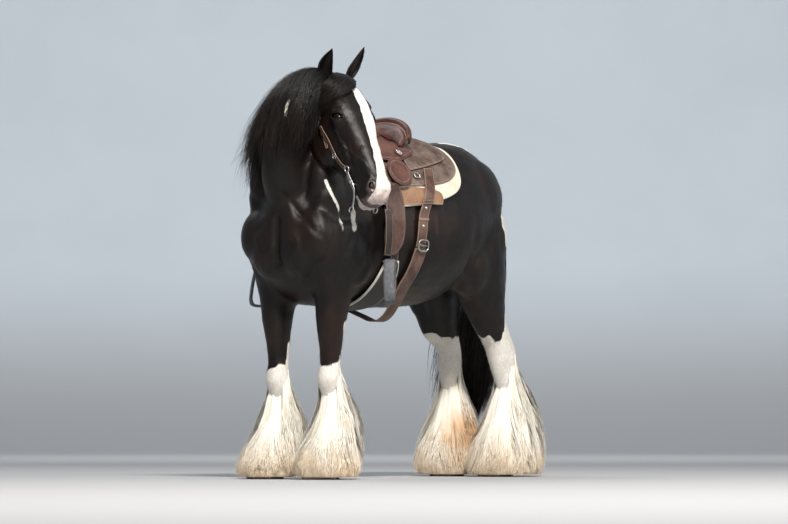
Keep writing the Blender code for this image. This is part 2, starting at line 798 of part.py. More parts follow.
def panel(name, table, place, across, along, low, high, edge=0.03):
    """Leather or felt on the trunk. place gives y and angle for u and v, low and high its two faces."""
    rim = [edge] if edge else []
    us = [0, *rim] + [k / across for k in range(1, across)] + [1 - r for r in rim] + [1]
    vs = [0, *rim] + [k / along for k in range(1, along)] + [1 - r for r in rim] + [1]
    outer, inner = [], []
    for u in us:
        top, bottom = [], []
        for v in vs:
            y, degrees = place(u, v)
            under, over = low(u, v), high(u, v)
            if edge and (u in (0, 1) or v in (0, 1)):
                over = under + 0.6 * (over - under)
            top.append(on_trunk(table, y, degrees, over))
            bottom.append(on_trunk(table, y, degrees, under))
        outer.append(top)
        inner.append(bottom)
    return grid_solid(name, outer, inner)


def disc(name, table, y, degrees, radius, low, high, dome=0.0):
    """A round piece on the trunk, domed or flat."""
    rings = []
    for scale, height in ((1.0, low), (1.0, (low + high) / 2), (0.85, high), (0.45, high + dome * 0.75)):
        ring = []
        for k in range(10):
            turn = math.tau * k / 10
            spread = math.degrees(radius * scale / 0.40)
            along = y + radius * scale * math.cos(turn)
            ring.append(on_trunk(table, along, degrees + spread * math.sin(turn), height))
        rings.append(ring)
    return loft(name, rings)


def over_back(table, edges, name, low, high, across, along, settle=0.0, bunch=1.0):
    """A sheet over the trunk from its edge on one side to its edge on the other.

    Its rear end is thinner by settle. A bunch over 1 brings its rows closer together towards the rear,
    where the corners are round."""
    first, last = edges[0][0], edges[-1][0]

    def place(u, v):
        y = last - (last - first) * (1 - v) ** bunch
        return y, (2 * u - 1) * angle_reach(edges, y)

    def under(u, v):
        return low

    def over(u, v):
        return high - settle * v**4

    return panel(name, table, place, across, along, under, over)


def strip(table, name, side, stations, low, high, along=10, across=2, edge=0.08):
    """A strap on one side of the trunk through stations of angle, y and half width.

    low and high give its two faces by angle."""
    angles = [row[0] for row in stations]

    def place(u, v):
        degrees = angles[0] + (angles[-1] - angles[0]) * v
        middle = float(np.interp(degrees, angles, [row[1] for row in stations]))
        width = float(np.interp(degrees, angles, [row[2] for row in stations]))
        return middle + (2 * u - 1) * width, side * degrees

    def height(rows):
        def at(u, v):
            degrees = angles[0] + (angles[-1] - angles[0]) * v
            return float(np.interp(degrees, [row[0] for row in rows], [row[1] for row in rows]))

        return at

    return panel(name, table, place, across, along, height(low), height(high), edge)


def cantle(table):
    """The back of the seat, a curved board with a rolled rim."""
    rings = []
    for k in range(13):
        w = -1 + 2 * k / 12
        rise = 0.088 + 0.062 * max(0.0, math.cos(w * math.pi / 2)) ** 0.5
        degrees = CANTLE_ANGLE * w
        bow = CANTLE_BOW * abs(w) ** 2.2
        ring = []
        for y, height in (
            (-0.128, 0.0505),
            (-0.086, 0.0505),
            (-0.074, 0.0505 + rise * 0.45),
            (-0.058, rise - 0.020),
            (-0.048, rise - 0.008),
            (-0.054, rise + 0.004),
            (-0.068, rise + 0.006),
            (-0.080, rise - 0.004),
            (-0.084, rise - 0.020),
            (-0.104, 0.0505 + rise * 0.35),
        ):
            ring.append(on_trunk(table, y - bow, degrees, height))
        rings.append(ring)
    return loft("cantle", rings)


def fork(table):
    """The front of the saddle's tree with its swells, and the horn on it."""
    rings = []
    for k in range(9):
        w = -1 + 2 * k / 8
        rise = 0.074 + 0.034 * max(0.0, math.cos(w * math.pi / 2)) ** 0.6
        degrees = 24 * w
        ring = []
        for y, height in (
            (-0.455, 0.0560),
            (-0.427, 0.0560),
            (-0.400, 0.0560),
            (-0.372, 0.0560),
            (-0.380, rise * 0.8),
            (-0.400, rise),
            (-0.430, rise),
            (-0.452, rise * 0.8),
        ):
            ring.append(on_trunk(table, y, degrees, height))
        rings.append(ring)
    body = loft("saddle_fork", rings)
    foot = on_trunk(table, -0.418, 0, 0.085)
    lean = Vector((0, -0.22, 1)).normalized()
    side = Vector((1, 0, 0))
    rise = side.cross(lean)
    horn = []
    for height, radius in (
        (0.000, 0.026),
        (0.030, 0.020),
        (0.060, 0.018),
        (0.066, 0.030),
        (0.070, 0.042),
        (0.080, 0.044),
        (0.086, 0.034),
    ):
        horn.append(section(foot + lean * height, side, rise, radius, radius * 1.08, radius * 1.08, count=10))
    return carve(body, [loft("horn", horn)], "UNION")


def stirrup(side):
    """A wooden stirrup seen from its side: a loop that widens down to its tread."""
    across = Vector((side * math.sin(math.radians(37)), -math.cos(math.radians(37)), 0))
    facing = across.cross(Vector((0, 0, 1)))
    half = passed_through(STIRRUP, 10)
    outline = [(a, d) for a, d in half] + [(-a, d) for a, d in half[-2:0:-1]]
    centre = mirrored(STIRRUP_TOP, side) - Vector((0, 0, 0.006))
    path = [centre + across * a - Vector((0, 0, d)) for a, d in outline]
    middle = centre - Vector((0, 0, 0.10))
    shape = ((-0.024, -0.006), (0.024, -0.006), (0.020, 0.006), (-0.020, 0.006))
    return sweep("stirrup", path, shape, [point - middle for point in path], closed=True)


def ring_on(name, centre, normal, radius, wire, stretch=1.0, count=10):
    """A metal ring of round wire, stretched along up for a buckle."""
    normal = Vector(normal).normalized()
    up = Vector((0, 0, 1))
    up = (up - normal * up.dot(normal)).normalized()
    side = up.cross(normal)
    path = []
    for k in range(count):
        turn = math.tau * k / count
        path.append(Vector(centre) + side * radius * math.cos(turn) + up * radius * stretch * math.sin(turn))
    shape = [(wire * math.cos(math.tau * k / 4), wire * math.sin(math.tau * k / 4)) for k in range(4)]
    return sweep(name, path, shape, [normal] * count, closed=True)


def laid(tree, name, path, half_width, low, high, count=14):
    """A flat strap that lies on the skin along a path."""
    outer, inner = [], []
    line = passed_through(path, count)
    for i, point in enumerate(line):
        point = Vector(point)
        along = Vector(line[min(i + 1, count - 1)]) - Vector(line[max(i - 1, 0)])
        normal = tree.find_nearest(point)[1]
        side = normal.cross(along).normalized()
        top, bottom = [], []
        for k in (-1, 0, 1):
            spot, out, _, _ = tree.find_nearest(point + side * half_width * k)
            out = (out + normal).normalized()
            thick = high if k == 0 else low + 0.75 * (high - low)
            top.append(spot + out * thick)
            bottom.append(spot + out * low)
        outer.append(top)
        inner.append(bottom)
    return grid_solid(name, outer, inner)


def bit_side(side):
    """Ring, cheek plate and shank of the curb bit, beside the corner of the mouth."""
    x = side * BIT_HALF
    pieces = [ring_on("bit", (x, -0.040, -0.428), (side, 0, 0), 0.012, 0.0032, 1.15, 8)]
    path = [Vector((x, y, z)) for y, z, _ in SHANK]
    rings = []
    for i, point in enumerate(path):
        across = (path[min(i + 1, len(path) - 1)] - path[max(i - 1, 0)]).cross((1, 0, 0)).normalized()
        rings.append(section(point, across, (1, 0, 0), SHANK[i][2], 0.003, 0.003, count=4))
    pieces.append(loft("shank", rings))
    pieces.append(ring_on("slot", (x, -0.097, -0.590), (side, 0, 0), 0.014, 0.0030, 0.75, 8))
    return pieces


def mouthpiece(name, radius, half):
    """A bar across the mouth with a low port in its middle, half as long as half says."""
    rings = []
    for x in (-half, -BIT_HALF / 2, 0, BIT_HALF / 2, half):
        rise = 0.010 * max(0, 1 - abs(x) / 0.030)
        centre = (x, -0.040, -0.503 + rise)
        rings.append(section(centre, (0, 1, 0), (0, 0, 1), radius, radius, radius, count=6))
    return loft(name, rings)


def bit():
    """A curb bit: a mouthpiece through the mouth and a shank on each side."""
    return grown(mouthpiece("bit", 0.0055, BIT_HALF), bit_side(1) + bit_side(-1))


def clear_scene():
    for obj in list(bpy.data.objects):
        bpy.data.objects.remove(obj)


def dress(obj, name, colour, roughness, metallic=0.0):
    """Names an object and gives it a material of its own."""
    obj.name = name
    obj.data.name = name
    paint = bpy.data.materials.new(name)
    paint.use_nodes = True
    shader = paint.node_tree.nodes["Principled BSDF"]
    shader.inputs["Base Color"].default_value = (*colour, 1)
    shader.inputs["Roughness"].default_value = roughness
    shader.inputs["Metallic"].default_value = metallic
    obj.data.materials.clear()
    obj.data.materials.append(paint)
    obj.data.shade_smooth()
    obj.data.set_sharp_from_angle(angle=math.radians(50))
    return obj


# Hair
BELL = (
    (0.00, 0.034, 0.024, 0.034, -0.006),
    (0.06, 0.042, 0.032, 0.056, -0.004),
    (0.30, 0.062, 0.050, 0.088, 0.004),
    (0.55, 0.088, 0.078, 0.106, 0.022),
    (0.80, 0.122, 0.120, 0.124, 0.044),
    (0.97, 0.142, 0.146, 0.136, 0.056),
    (1.00, 0.140, 0.144, 0.134, 0.056),
)
TAIL = (
    (0.000, 0.600, 1.300, 0.026, 0.026),
    (0.000, 0.665, 1.272, 0.044, 0.038),
    (-0.002, 0.716, 1.195, 0.058, 0.046),
    (-0.012, 0.742, 1.080, 0.068, 0.050),
    (-0.040, 0.760, 0.920, 0.082, 0.050),
    (-0.085, 0.778, 0.740, 0.100, 0.048),
    (-0.140, 0.794, 0.560, 0.126, 0.044),
    (-0.190, 0.803, 0.400, 0.148, 0.036),
    (-0.225, 0.806, 0.270, 0.142, 0.026),
    (-0.235, 0.806, 0.235, 0.110, 0.014),
)


def lock(path, widths, thick):
    """One flat lock along a path of points and outward directions: sunk root, full middle, thin tip."""
    rings, last = [], len(path) - 1
    for i, (point, out) in enumerate(path):
        along = path[min(i + 1, last)][0] - path[max(i - 1, 0)][0]
        side = along.cross(out).normalized()
        over = side.cross(along).normalized()
        if over.dot(out) < 0:
            over = -over
        across = float(np.interp(i / last, np.linspace(0, 1, len(widths)), widths))
        rise = thick * float(np.interp(i / last, (0, 0.25, 0.6, 1), (0.8, 1, 0.8, 0.15)))
        rings.append([point - side * across, point + over * rise, point + side * across])
    return loft("lock", rings)


def bell_at(swing, top, t, turn, reach):
    """A point of the feather's bell at t from 0, its top, to 1, its hem, and the way out of it."""
    columns = [[row[c] for row in BELL] for c in range(5)]
    width, front, back, forward = (float(np.interp(t, columns[0], columns[c])) for c in range(1, 5))
    c, s = math.cos(turn), math.sin(turn)
    along = front if s > 0 else back
    height = top + (0.014 - top) * t
    out = Vector((width * c, -along * s, 0))
    point = Vector((0, -forward, height)) + out * reach
    return swing @ point, (swing.to_3x3() @ out).normalized()


def bell_core(swing, top):
    """What the locks of a foot are rooted in, less than half as far out as they reach."""
    rings = []
    for t, reach in ((0.20, 0.40), (0.45, 0.52), (0.84, 0.62)):
        rings.append([bell_at(swing, top, t, math.tau * k / 9, reach)[0] for k in range(9)])
    return loft("core", rings)


def feather(swing, top, chance):
    """The locks of a foot in three tiers that lie over one another like shingles."""
    locks = []
    for count, first, spread, start, end, over in (
        (FEATHER_LOCKS, 90, 360, 0.42, 0.995, 0.000),
        (5, 150, 240, 0.22, 0.80, 0.016),
        (3, 225, 90, 0.03, 0.52, 0.032),
    ):
        for k in range(count):
            turn = first + spread * (k + 0.5) / count + chance.uniform(-2, 2)
            lean = chance.uniform(-5, 5)
            finish = end - chance.uniform(0, 0.04)
            path, widths = [], []
            for s, wide in ((0, 0.55), (0.25, 0.92), (0.70, 0.94), (1, 0.30)):
                t = start + (finish - start) * s
                angle = math.radians(turn + lean * s * s)
                point, out = bell_at(swing, top, t, angle, 1.0)
                axis = bell_at(swing, top, t, angle, 0.0)[0]
                radius = (point - axis).length
                reach = radius * float(np.interp(s, (0, 0.25, 0.5, 1), (0.45, 0.88, 0.97, 1.0)))
                reach += over * float(np.interp(s, (0, 0.25, 1), (0, 1, 1)))
                path.append((axis + (point - axis).normalized() * reach, out))
                room = reach * math.radians(spread / count) / 2
                widths.append(room * wide)
            locks.append(lock(path, widths, 0.010))
    return locks


def tail_at(t):
    """Centre, half width and half depth of the tail at t from 0, the dock, to 1, the tip."""
    row = passed_through(TAIL, 46)[round(45 * min(max(t, 0), 1))]
    return Vector(row[:3]), row[3], row[4]


def tail_core():
    rings = []
    for t, reach in ((0.00, 1.0), (0.10, 1.0), (0.20, 0.85), (0.35, 0.60), (0.50, 0.45)):
        centre, wide, deep = tail_at(t)
        rings.append(section(centre, (1, 0, 0), (0, 1, 0.2), wide * reach, deep * reach, deep * reach, count=8))
    return loft("core", rings)


def tail_locks(chance):
    """Long locks in two tiers, from the tail's upper part and from the dock over them."""
    locks = []
    for count, start, end, over in ((9, 0.34, 1.0, 0.000), (7, 0.10, 0.84, 0.018)):
        for k in range(count):
            turn = math.tau * (k + 0.5) / count + chance.uniform(-0.05, 0.05)
            finish = end - chance.uniform(0, 0.10)
            sway = chance.uniform(-0.10, 0.10)
            path, widths = [], []
            for s, full in ((0, 0.50), (0.18, 0.90), (0.42, 0.92), (0.68, 0.92), (0.88, 0.70), (1, 0.15)):
                centre, wide, deep = tail_at(start + (finish - start) * s)
                reach = float(np.interp(s, (0, 0.18, 0.5, 1), (0.35, 0.80, 0.95, 1.0)))
                angle = turn + sway * math.sin(3.5 * s)
                wide, deep = wide * reach + over * min(1, 5 * s), deep * reach + over * min(1, 5 * s)
                out = Vector((deep * math.cos(angle), wide * math.sin(angle), 0)).normalized()
                path.append((centre + Vector((wide * math.cos(angle), deep * math.sin(angle), 0)), out))
                step = math.pi / count
                edge = Vector((wide * math.sin(angle), deep * math.cos(angle))).length * math.tan(step)
                widths.append(edge * full)
            locks.append(lock(path, widths, 0.012))
    return locks


def combed(tree, start, pull, length, low, lift, stops):
    """A path that leaves start and follows the skin, drawn by a pull, rising from low to lift.

    The pull may change on the way. stops are the shares of the length at which it has a point."""
    point, path = Vector(start), []
    for i in range(31):
        spot, out, _, _ = tree.find_nearest(point)
        path.append((spot, out))
        way = Vector(pull(i / 30)) if callable(pull) else Vector(pull)
        drawn = way - out * way.dot(out)
        point = spot + drawn.normalized() * length / 30
    made = []
    for stop in stops:
        spot, out = path[round(30 * stop)]
        made.append((spot + out * (low + (lift - low) * stop if stop else -0.010), out))
    return made


def crest(t):
    """The point of the crest at t from 0, the poll, to 1, the withers."""
    rows = []
    for centre, up, width, rise, drop in NECK[:1:-1]:
        rows.append(Vector(centre) + Vector(up).normalized() * rise)
    rows = passed_through(rows, 61)
    steps = np.linalg.norm(np.diff(rows, axis=0), axis=1)
    along = np.concatenate(([0], np.cumsum(steps)))
    return Vector([float(np.interp(t * along[-1], along, rows[:, axis])) for axis in range(3)])


def free_of(locks, trees):
    """The locks that touch none of the other pieces."""
    kept = []
    for piece in locks:
        if any(tree_of(piece).overlap(tree) for tree in trees):
            bpy.data.objects.remove(piece)
        else:
            kept.append(piece)
    return kept


clear_scene()
into_place = head_frame()

body = body_skin()
head = head_skin()
horse_tree = tree_of(clay(joined("horse", [copied(body), placed(copied(head))]), 0.009, 2))

body = thinned(body, BODY_TRIANGLES)
head = thinned(head, HEAD_TRIANGLES)

# Head: lids, mouth, nostrils, sockets and the room for the bit
carve(head, [lid(side, 0.027, 0.020, 0.008, 0.0225) for side in (1, -1)], "UNION")
carve(head, [lid(side, 0.0175, 0.0095, 0.006, 0.040) for side in (1, -1)])
carve(head, [eye_ball(side, EYE_RADIUS + GAP) for side in (1, -1)])
carve(head, [mouth(), mouthpiece("room", 0.0064, 0.09)])
carve(head, [nostril(side) for side in (1, -1)])
largest(head)
eyes = {side: eye_ball(side, EYE_RADIUS) for side in (1, -1)}
swollen_head = swollen(head, 0.0006)
ears = {side: largest(carve(ear(side), [copied(swollen_head)], solver="MANIFOLD")) for side in (1, -1)}
bpy.data.objects.remove(swollen_head)

bit_piece = bit()
for piece in (head, *eyes.values(), *ears.values(), bit_piece):
    placed(piece)

# Body: hooves off at the coronet, then the head's room, then the thin cuts
carve(body, [block("ground", (-1, -2, -0.5), (1, 2, CORONET))])
trunk_tree = tree_of(body)
carve(body, [swollen(head, 0.0004)], solver="MANIFOLD")
largest(body)
carve(body, [slab(*NECK_CUT, 3.0)])
for side in (1, -1):
    for height, x, y, wide, long in (
        (FORELEG_CUTS[0], FORELEG_X, FORELEG_Y, 0.14, 0.22),
        (FORELEG_CUTS[1], FORELEG_X, FORELEG_Y, 0.10, 0.15),
        (HINDLEG_CUTS[0], HINDLEG_X + 0.03, HINDLEG_Y - 0.12, 0.18, 0.34),
        (HINDLEG_CUTS[1], HINDLEG_X, HINDLEG_Y, 0.14, 0.20),
    ):
        low = (side * x - wide, y - long, height - GAP / 2)
        carve(body, [block("cut", low, (side * x + wide, y + long, height + GAP / 2))])

flesh = {}
named = {
    "torso": (0, -0.1, 1.05),
    "neck": (0.02, -0.75, 1.42),
    "forearm_left": (FORELEG_X, FORELEG_Y, 0.6),
    "forearm_right": (-FORELEG_X, FORELEG_Y, 0.6),
    "lower_foreleg_left": (FORELEG_X, FORELEG_Y, 0.28),
    "lower_foreleg_right": (-FORELEG_X, FORELEG_Y, 0.28),
    "gaskin_left": (HINDLEG_X, HINDLEG_Y - 0.05, 0.65),
    "gaskin_right": (-HINDLEG_X, HINDLEG_Y - 0.05, 0.65),
    "lower_hindleg_left": (HINDLEG_X, HINDLEG_Y, 0.30),
    "lower_hindleg_right": (-HINDLEG_X, HINDLEG_Y, 0.30),
}
for group in parts_of(body)[: len(named)]:
    points = np.array([body.data.vertices[i].co for i in group])
    middle = Vector((points.min(axis=0) + points.max(axis=0)) / 2)
    name = min(named, key=lambda key: (Vector(named[key]) - middle).length)
    flesh[name] = only(copied(body), group)
bpy.data.objects.remove(body)

largest(carve(flesh["neck"], [placed(block("poll", (-0.3, -0.036, -0.5), (0.3, 0.5, 0.5)))]))

hooves = {}
for side, word in ((1, "left"), (-1, "right")):
    hooves[f"hoof_fore_{word}"] = hoof(side, FORELEG_X, FORELEG_Y, 0.0, 1.0)
    hooves[f"hoof_hind_{word}"] = hoof(side, HINDLEG_X, HINDLEG_Y + 0.012, TOE_OUT[side], 1.0)

# Saddlery, from the skin outward
table = trunk_table(trunk_tree)
tack = {
    "saddle_pad": over_back(table, PAD, "saddle_pad", 0.0110, 0.0200, 14, 6, 0.0030, 1.4),
    "saddle_skirt": over_back(table, SKIRT, "saddle_skirt", 0.0262, 0.0300, 14, 6, 0.0022, 1.5),
    "seat_base": over_back(table, SEAT_BASE, "seat_base", 0.0436, 0.0474, 6, 4),
}


def seat_place(u, v):
    degrees = (2 * u - 1) * 20
    depth = SEAT_LENGTH - (CANTLE_BOW + 0.012) * abs(degrees / CANTLE_ANGLE) ** 2.2
    return -0.358 + depth * v, degrees


def seat_height(u, v):
    y = -0.358 + SEAT_LENGTH * v
    middle = float(np.interp(y, [row[0] for row in SEAT_LINE], [row[1] for row in SEAT_LINE]))
    return 0.0565 + (middle - 0.0565) * math.cos((2 * u - 1) * math.pi / 2) ** 0.7


tack["seat"] = panel("seat", table, seat_place, 6, 5, lambda u, v: 0.0520, seat_height)
tack["cantle"] = cantle(table)
tack["saddle_fork"] = fork(table)


def cinch_place(u, v):
    degrees = 113 + 134 * v
    width = 0.072 - 0.036 * abs(2 * v - 1) ** 3
    return -0.372 + (2 * u - 1) * width, degrees


tack["front_cinch"] = panel("front_cinch", table, cinch_place, 1, 11, lambda u, v: 0.004, lambda u, v: 0.016)


def rear_cinch_row(v, column):
    angles = [row[0] for row in REAR_CINCH]
    return float(np.interp(101 + 158 * v, angles, [row[column] for row in REAR_CINCH]))


def rear_cinch_place(u, v):
    return rear_cinch_row(v, 1) + (2 * u - 1) * 0.036, 101 + 158 * v


def rear_cinch_height(u, v):
    return rear_cinch_row(v, 2)


def rear_cinch_top(u, v):
    return rear_cinch_row(v, 2) + 0.006


tack["rear_cinch"] = panel(
    "rear_cinch", table, rear_cinch_place, 1, 13, rear_cinch_height, rear_cinch_top
)

jockey_front, jockey_end = REAR_JOCKEY[0][0], REAR_JOCKEY[-1][0]
for side, word in ((1, "left"), (-1, "right")):

    def jockey_place(u, v, side=side):
        y = jockey_front + (jockey_end - jockey_front) * v
        return y, side * (1.0 + (angle_reach(REAR_JOCKEY, y) - 1.0) * u)

    def jockey_height(u, v):
        y = jockey_front + (jockey_end - jockey_front) * v
        rise = float(np.interp(y, [row[0] for row in JOCKEY_RISE], [row[1] for row in JOCKEY_RISE]))
        return 0.0392 + rise * (1 - u * u)

    tack[f"rear_jockey_{word}"] = panel(
        "rear_jockey", table, jockey_place, 4, 6, lambda u, v: 0.0357, jockey_height
    )
    tack[f"latigo_{word}"] = strip(
        table,
        "latigo",
        side,
        ((57, -0.405, 0.022), (119, -0.374, 0.022)),
        ((57, 0.0325), (66, 0.0320), (90, 0.0215), (119, 0.0195)),
        ((57, 0.0365), (66, 0.0360), (90, 0.0255), (119, 0.0240)),
        8,
        1,
        0,
    )
    tack[f"fender_{word}"] = strip(
        table,
        "fender",
        side,
        FENDER,
        ((52, 0.0395), (64, 0.0390), (107.5, 0.0345)),
        ((52, 0.0440), (64, 0.0435), (107.5, 0.0390)),
        8,
    )
    tack[f"stirrup_leather_{word}"] = strip(
        table,
        "stirrup_leather",
        side,
        ((72, -0.442, 0.022), (108.6, -0.444, 0.022)),
        ((72, 0.0438), (108.6, 0.0412)),
        ((72, 0.0478), (108.6, 0.0455)),
        5,
        1,
        0,
    )
    tack[f"seat_jockey_{word}"] = disc("seat_jockey", table, -0.315, side * 45.3, 0.069, 0.0484, 0.0532)
    tack[f"rosette_{word}"] = disc("rosette", table, -0.250, side * 31.0, 0.022, 0.0500, 0.0540)
    tack[f"concho_{word}"] = disc("concho", table, -0.250, side * 31.0, 0.016, 0.0548, 0.0570, 0.0035)
    tack[f"rear_billet_{word}"] = strip(
        table,
        "rear_billet",
        side,
        ((42, -0.106, 0.032), (60, -0.152, 0.031), (75, -0.200, 0.029), (100.5, -0.221, 0.028)),
        ((42, 0.0430), (50, 0.0330), (58, 0.0320), (67, 0.0230), (77, 0.0120), (100.5, 0.0080)),
        ((42, 0.0470), (50, 0.0370), (58, 0.0360), (67, 0.0270), (77, 0.0160), (100.5, 0.0120)),
        8,
        1,
        0,
    )
    spot = on_trunk(table, -0.222, side * 98.6, 0.0275)
    out = spot - Vector((0, -0.222, AXIS_HEIGHT))
    tack[f"rear_buckle_{word}"] = ring_on("rear_buckle", spot, out, 0.030, 0.0035, 0.8, 10)
    spot = on_trunk(table, -0.198, side * 47.5, 0.0375)
    out = spot - Vector((0, -0.198, AXIS_HEIGHT))
    tack[f"rear_dee_{word}"] = ring_on("rear_dee", spot, out, 0.016, 0.0030, 1.1, 10)
    tack[f"stirrup_{word}"] = stirrup(side)

# Bridle: crown over the poll, cheek straps down to the bit
def head_point(x, y, z):
    return into_place @ Vector((x, y, z))


crown = [head_point(*q) for q in CROWN] + [head_point(-x, y, z) for x, y, z in CROWN[-2::-1]]
tack["headstall_crown"] = laid(horse_tree, "headstall_crown", crown, 0.010, 0.0065, 0.0105, 18)
for side, word in ((1, "left"), (-1, "right")):
    path = [head_point(side * x, y, z) for x, y, z in CHEEK]
    tack[f"cheek_strap_{word}"] = laid(horse_tree, "cheek_strap", path, 0.0085, 0.003, 0.007, 10)
    for name, (x, y, z), radius in (
        ("headstall_concho", BROW_CONCHO, 0.0125),
        ("cheek_buckle", CHEEK[2], 0.0110),
    ):
        spot, out, _, _ = horse_tree.find_nearest(head_point(side * x, y, z))
        turn = out.to_track_quat("Z", "Y").to_matrix()
        rings = []
        for height, scale in ((0.0100, 1.0), (0.0122, 1.0), (0.0137, 0.6)):
            size = radius * scale
            rings.append(section(spot + out * height, turn.col[0], turn.col[1], size, size, size, count=10))
        tack[f"{name}_{word}"] = loft(name, rings)
tack["bit"] = bit_piece

# Hair in locks: the mane on its fall side, the forelock, the feather of each foot and the tail
near = [*ears.values(), tack["headstall_crown"], tack["headstall_concho_right"], tack["cheek_strap_right"]]
near += [head, flesh["torso"]]
trees = []
for piece in near:
    shell = swollen(piece, 0.0012)
    trees.append(tree_of(shell))
    bpy.data.objects.remove(shell)
chance = random.Random(11)
mane = []
for k in range(MANE_LOCKS):
    t = 0.05 + 0.86 * k / (MANE_LOCKS - 1)
    wind = Vector((-0.62, -0.35 - 0.45 * (1 - t) + chance.uniform(-0.03, 0.03), -1.0))
    length = 0.30 + 0.10 * math.sin(math.pi * t) + chance.uniform(-0.05, 0.03)
    rise = 0.007 + 0.015 * (k % 2)
    path = combed(horse_tree, crest(t), wind, length, rise, rise + 0.012, (0, 0.07, 0.27, 0.5, 0.73, 0.9, 1))
    mane.append(lock(path, (0.011, 0.018, 0.026, 0.027, 0.025, 0.018, 0.003), 0.010))
mane = free_of(mane, trees)
flesh["neck"] = grown(flesh["neck"], mane)


def forelock_way(rate):
    """Down the forehead at first, then across it to the right, the sooner the higher the rate."""
    down, across = Vector((-0.10, 0.30, -1.0)), Vector((-1.0, 0.0, -0.42))
    return lambda t: into_place.to_3x3() @ down.lerp(across, min(1.0, t * rate))


forelock = []
for k in range(FORELOCK_LOCKS):
    spread = k / (FORELOCK_LOCKS - 1)
    start = head_point(0.028 - 0.060 * spread, 0.040 - 0.008 * spread, 0.004)
    length = 0.215 - 0.06 * spread + chance.uniform(-0.012, 0.012)
    rise = 0.003 + 0.010 * (k % 2)
    way = forelock_way(1.25 + 1.3 * spread)
    path = combed(horse_tree, start, way, length, rise, rise + 0.005, (0, 0.1, 0.35, 0.6, 0.83, 1))
    forelock.append(lock(path, (0.005, 0.008, 0.011, 0.012, 0.009, 0.002), 0.008))
forelock = free_of(forelock, trees[:5])
head = grown(head, forelock)
for side, word in ((1, "left"), (-1, "right")):
    for leg_name, hoof_name, x, y, turn, top in (
        ("lower_foreleg", "hoof_fore", FORELEG_X, FORELEG_Y, 0.0, 0.40),
        ("lower_hindleg", "hoof_hind", HINDLEG_X, HINDLEG_Y + 0.012, TOE_OUT[side], 0.44),
    ):
        swing = Matrix.Translation((side * x, y, 0)) @ Matrix.Rotation(-side * turn, 4, "Z")
        made = grown(flesh[f"{leg_name}_{word}"], [bell_core(swing, top), *feather(swing, top, chance)])
        carve(made, [swollen(hooves[f"{hoof_name}_{word}"], 0.0005)], solver="MANIFOLD")
        flesh[f"{leg_name}_{word}"] = largest(made)
tail = grown(tail_core(), tail_locks(chance))
largest(carve(tail, [swollen(flesh["torso"], 0.0005)], solver="MANIFOLD"))

for spare in [obj for obj in bpy.data.objects if obj.name.startswith("horse")]:
    bpy.data.objects.remove(spare)

# Names and materials
BLACK = (0.014, 0.011, 0.010)
WHITE = (0.78, 0.74, 0.66)
LEATHER = (0.17, 0.075, 0.045)
STEEL = (0.72, 0.71, 0.69)
for key, piece in flesh.items():
    low_leg = key.startswith(("lower", "gaskin"))
    dress(piece, key, WHITE if low_leg else BLACK, 0.75 if low_leg else 0.42)
dress(head, "head", (0.020, 0.016, 0.015), 0.45)
dress(tail, "tail", (0.010, 0.009, 0.009), 0.55)
for side, word in ((1, "left"), (-1, "right")):
    dress(ears[side], f"ear_{word}", (0.012, 0.010, 0.010), 0.6)
    dress(eyes[side], f"eye_{word}", (0.020, 0.010, 0.006), 0.05)
for key, piece in hooves.items():
    dress(piece, key, (0.16, 0.13, 0.11), 0.55)
looks = {
    "saddle_pad": ((0.62, 0.52, 0.36), 0.95, 0),
    "seat": ((0.11, 0.022, 0.020), 0.55, 0),
    "front_cinch": ((0.60, 0.57, 0.50), 0.95, 0),
    "stirrup_left": ((0.20, 0.21, 0.23), 0.55, 0),
    "stirrup_right": ((0.20, 0.21, 0.23), 0.55, 0),
    "fender_left": ((0.10, 0.045, 0.030), 0.55, 0),
    "fender_right": ((0.10, 0.045, 0.030), 0.55, 0),
}
for key, piece in tack.items():
    metal = any(word in key for word in ("concho", "buckle", "dee", "bit")) and "rosette" not in key
    colour, roughness, metallic = looks.get(key, (STEEL, 0.28, 1.0) if metal else (LEATHER, 0.5, 0.0))
    dress(piece, key, colour, roughness, metallic)

# The frame's origin is the middle of the floor under the whole model
solids = [obj for obj in bpy.data.objects if obj.type == "MESH"]
corners = np.array([obj.matrix_world @ Vector(corner) for obj in solids for corner in obj.bound_box])
middle = (corners.min(axis=0) + corners.max(axis=0)) / 2
stand = bpy.data.objects.new("stand", None)
bpy.context.scene.collection.objects.link(stand)
stand.location = (-middle[0], -middle[1], -corners[:, 2].min())
for obj in solids:
    obj.parent = stand
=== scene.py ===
# %% [markdown]
# # A gypsy vanner horse under western tack
#
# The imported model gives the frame: where every sub-part is and how big it is. This lesson dresses it. The
# plain solids of flesh and hair are replaced by one fine skin with real locks over it, and each piece of
# tack by its finished self, in leather, fleece, silver and iron.

# %% The frame
import json
import math
import random

import bmesh
import bpy
import numpy as np
from mathutils import Matrix, Vector, noise
from mathutils.bvhtree import BVHTree

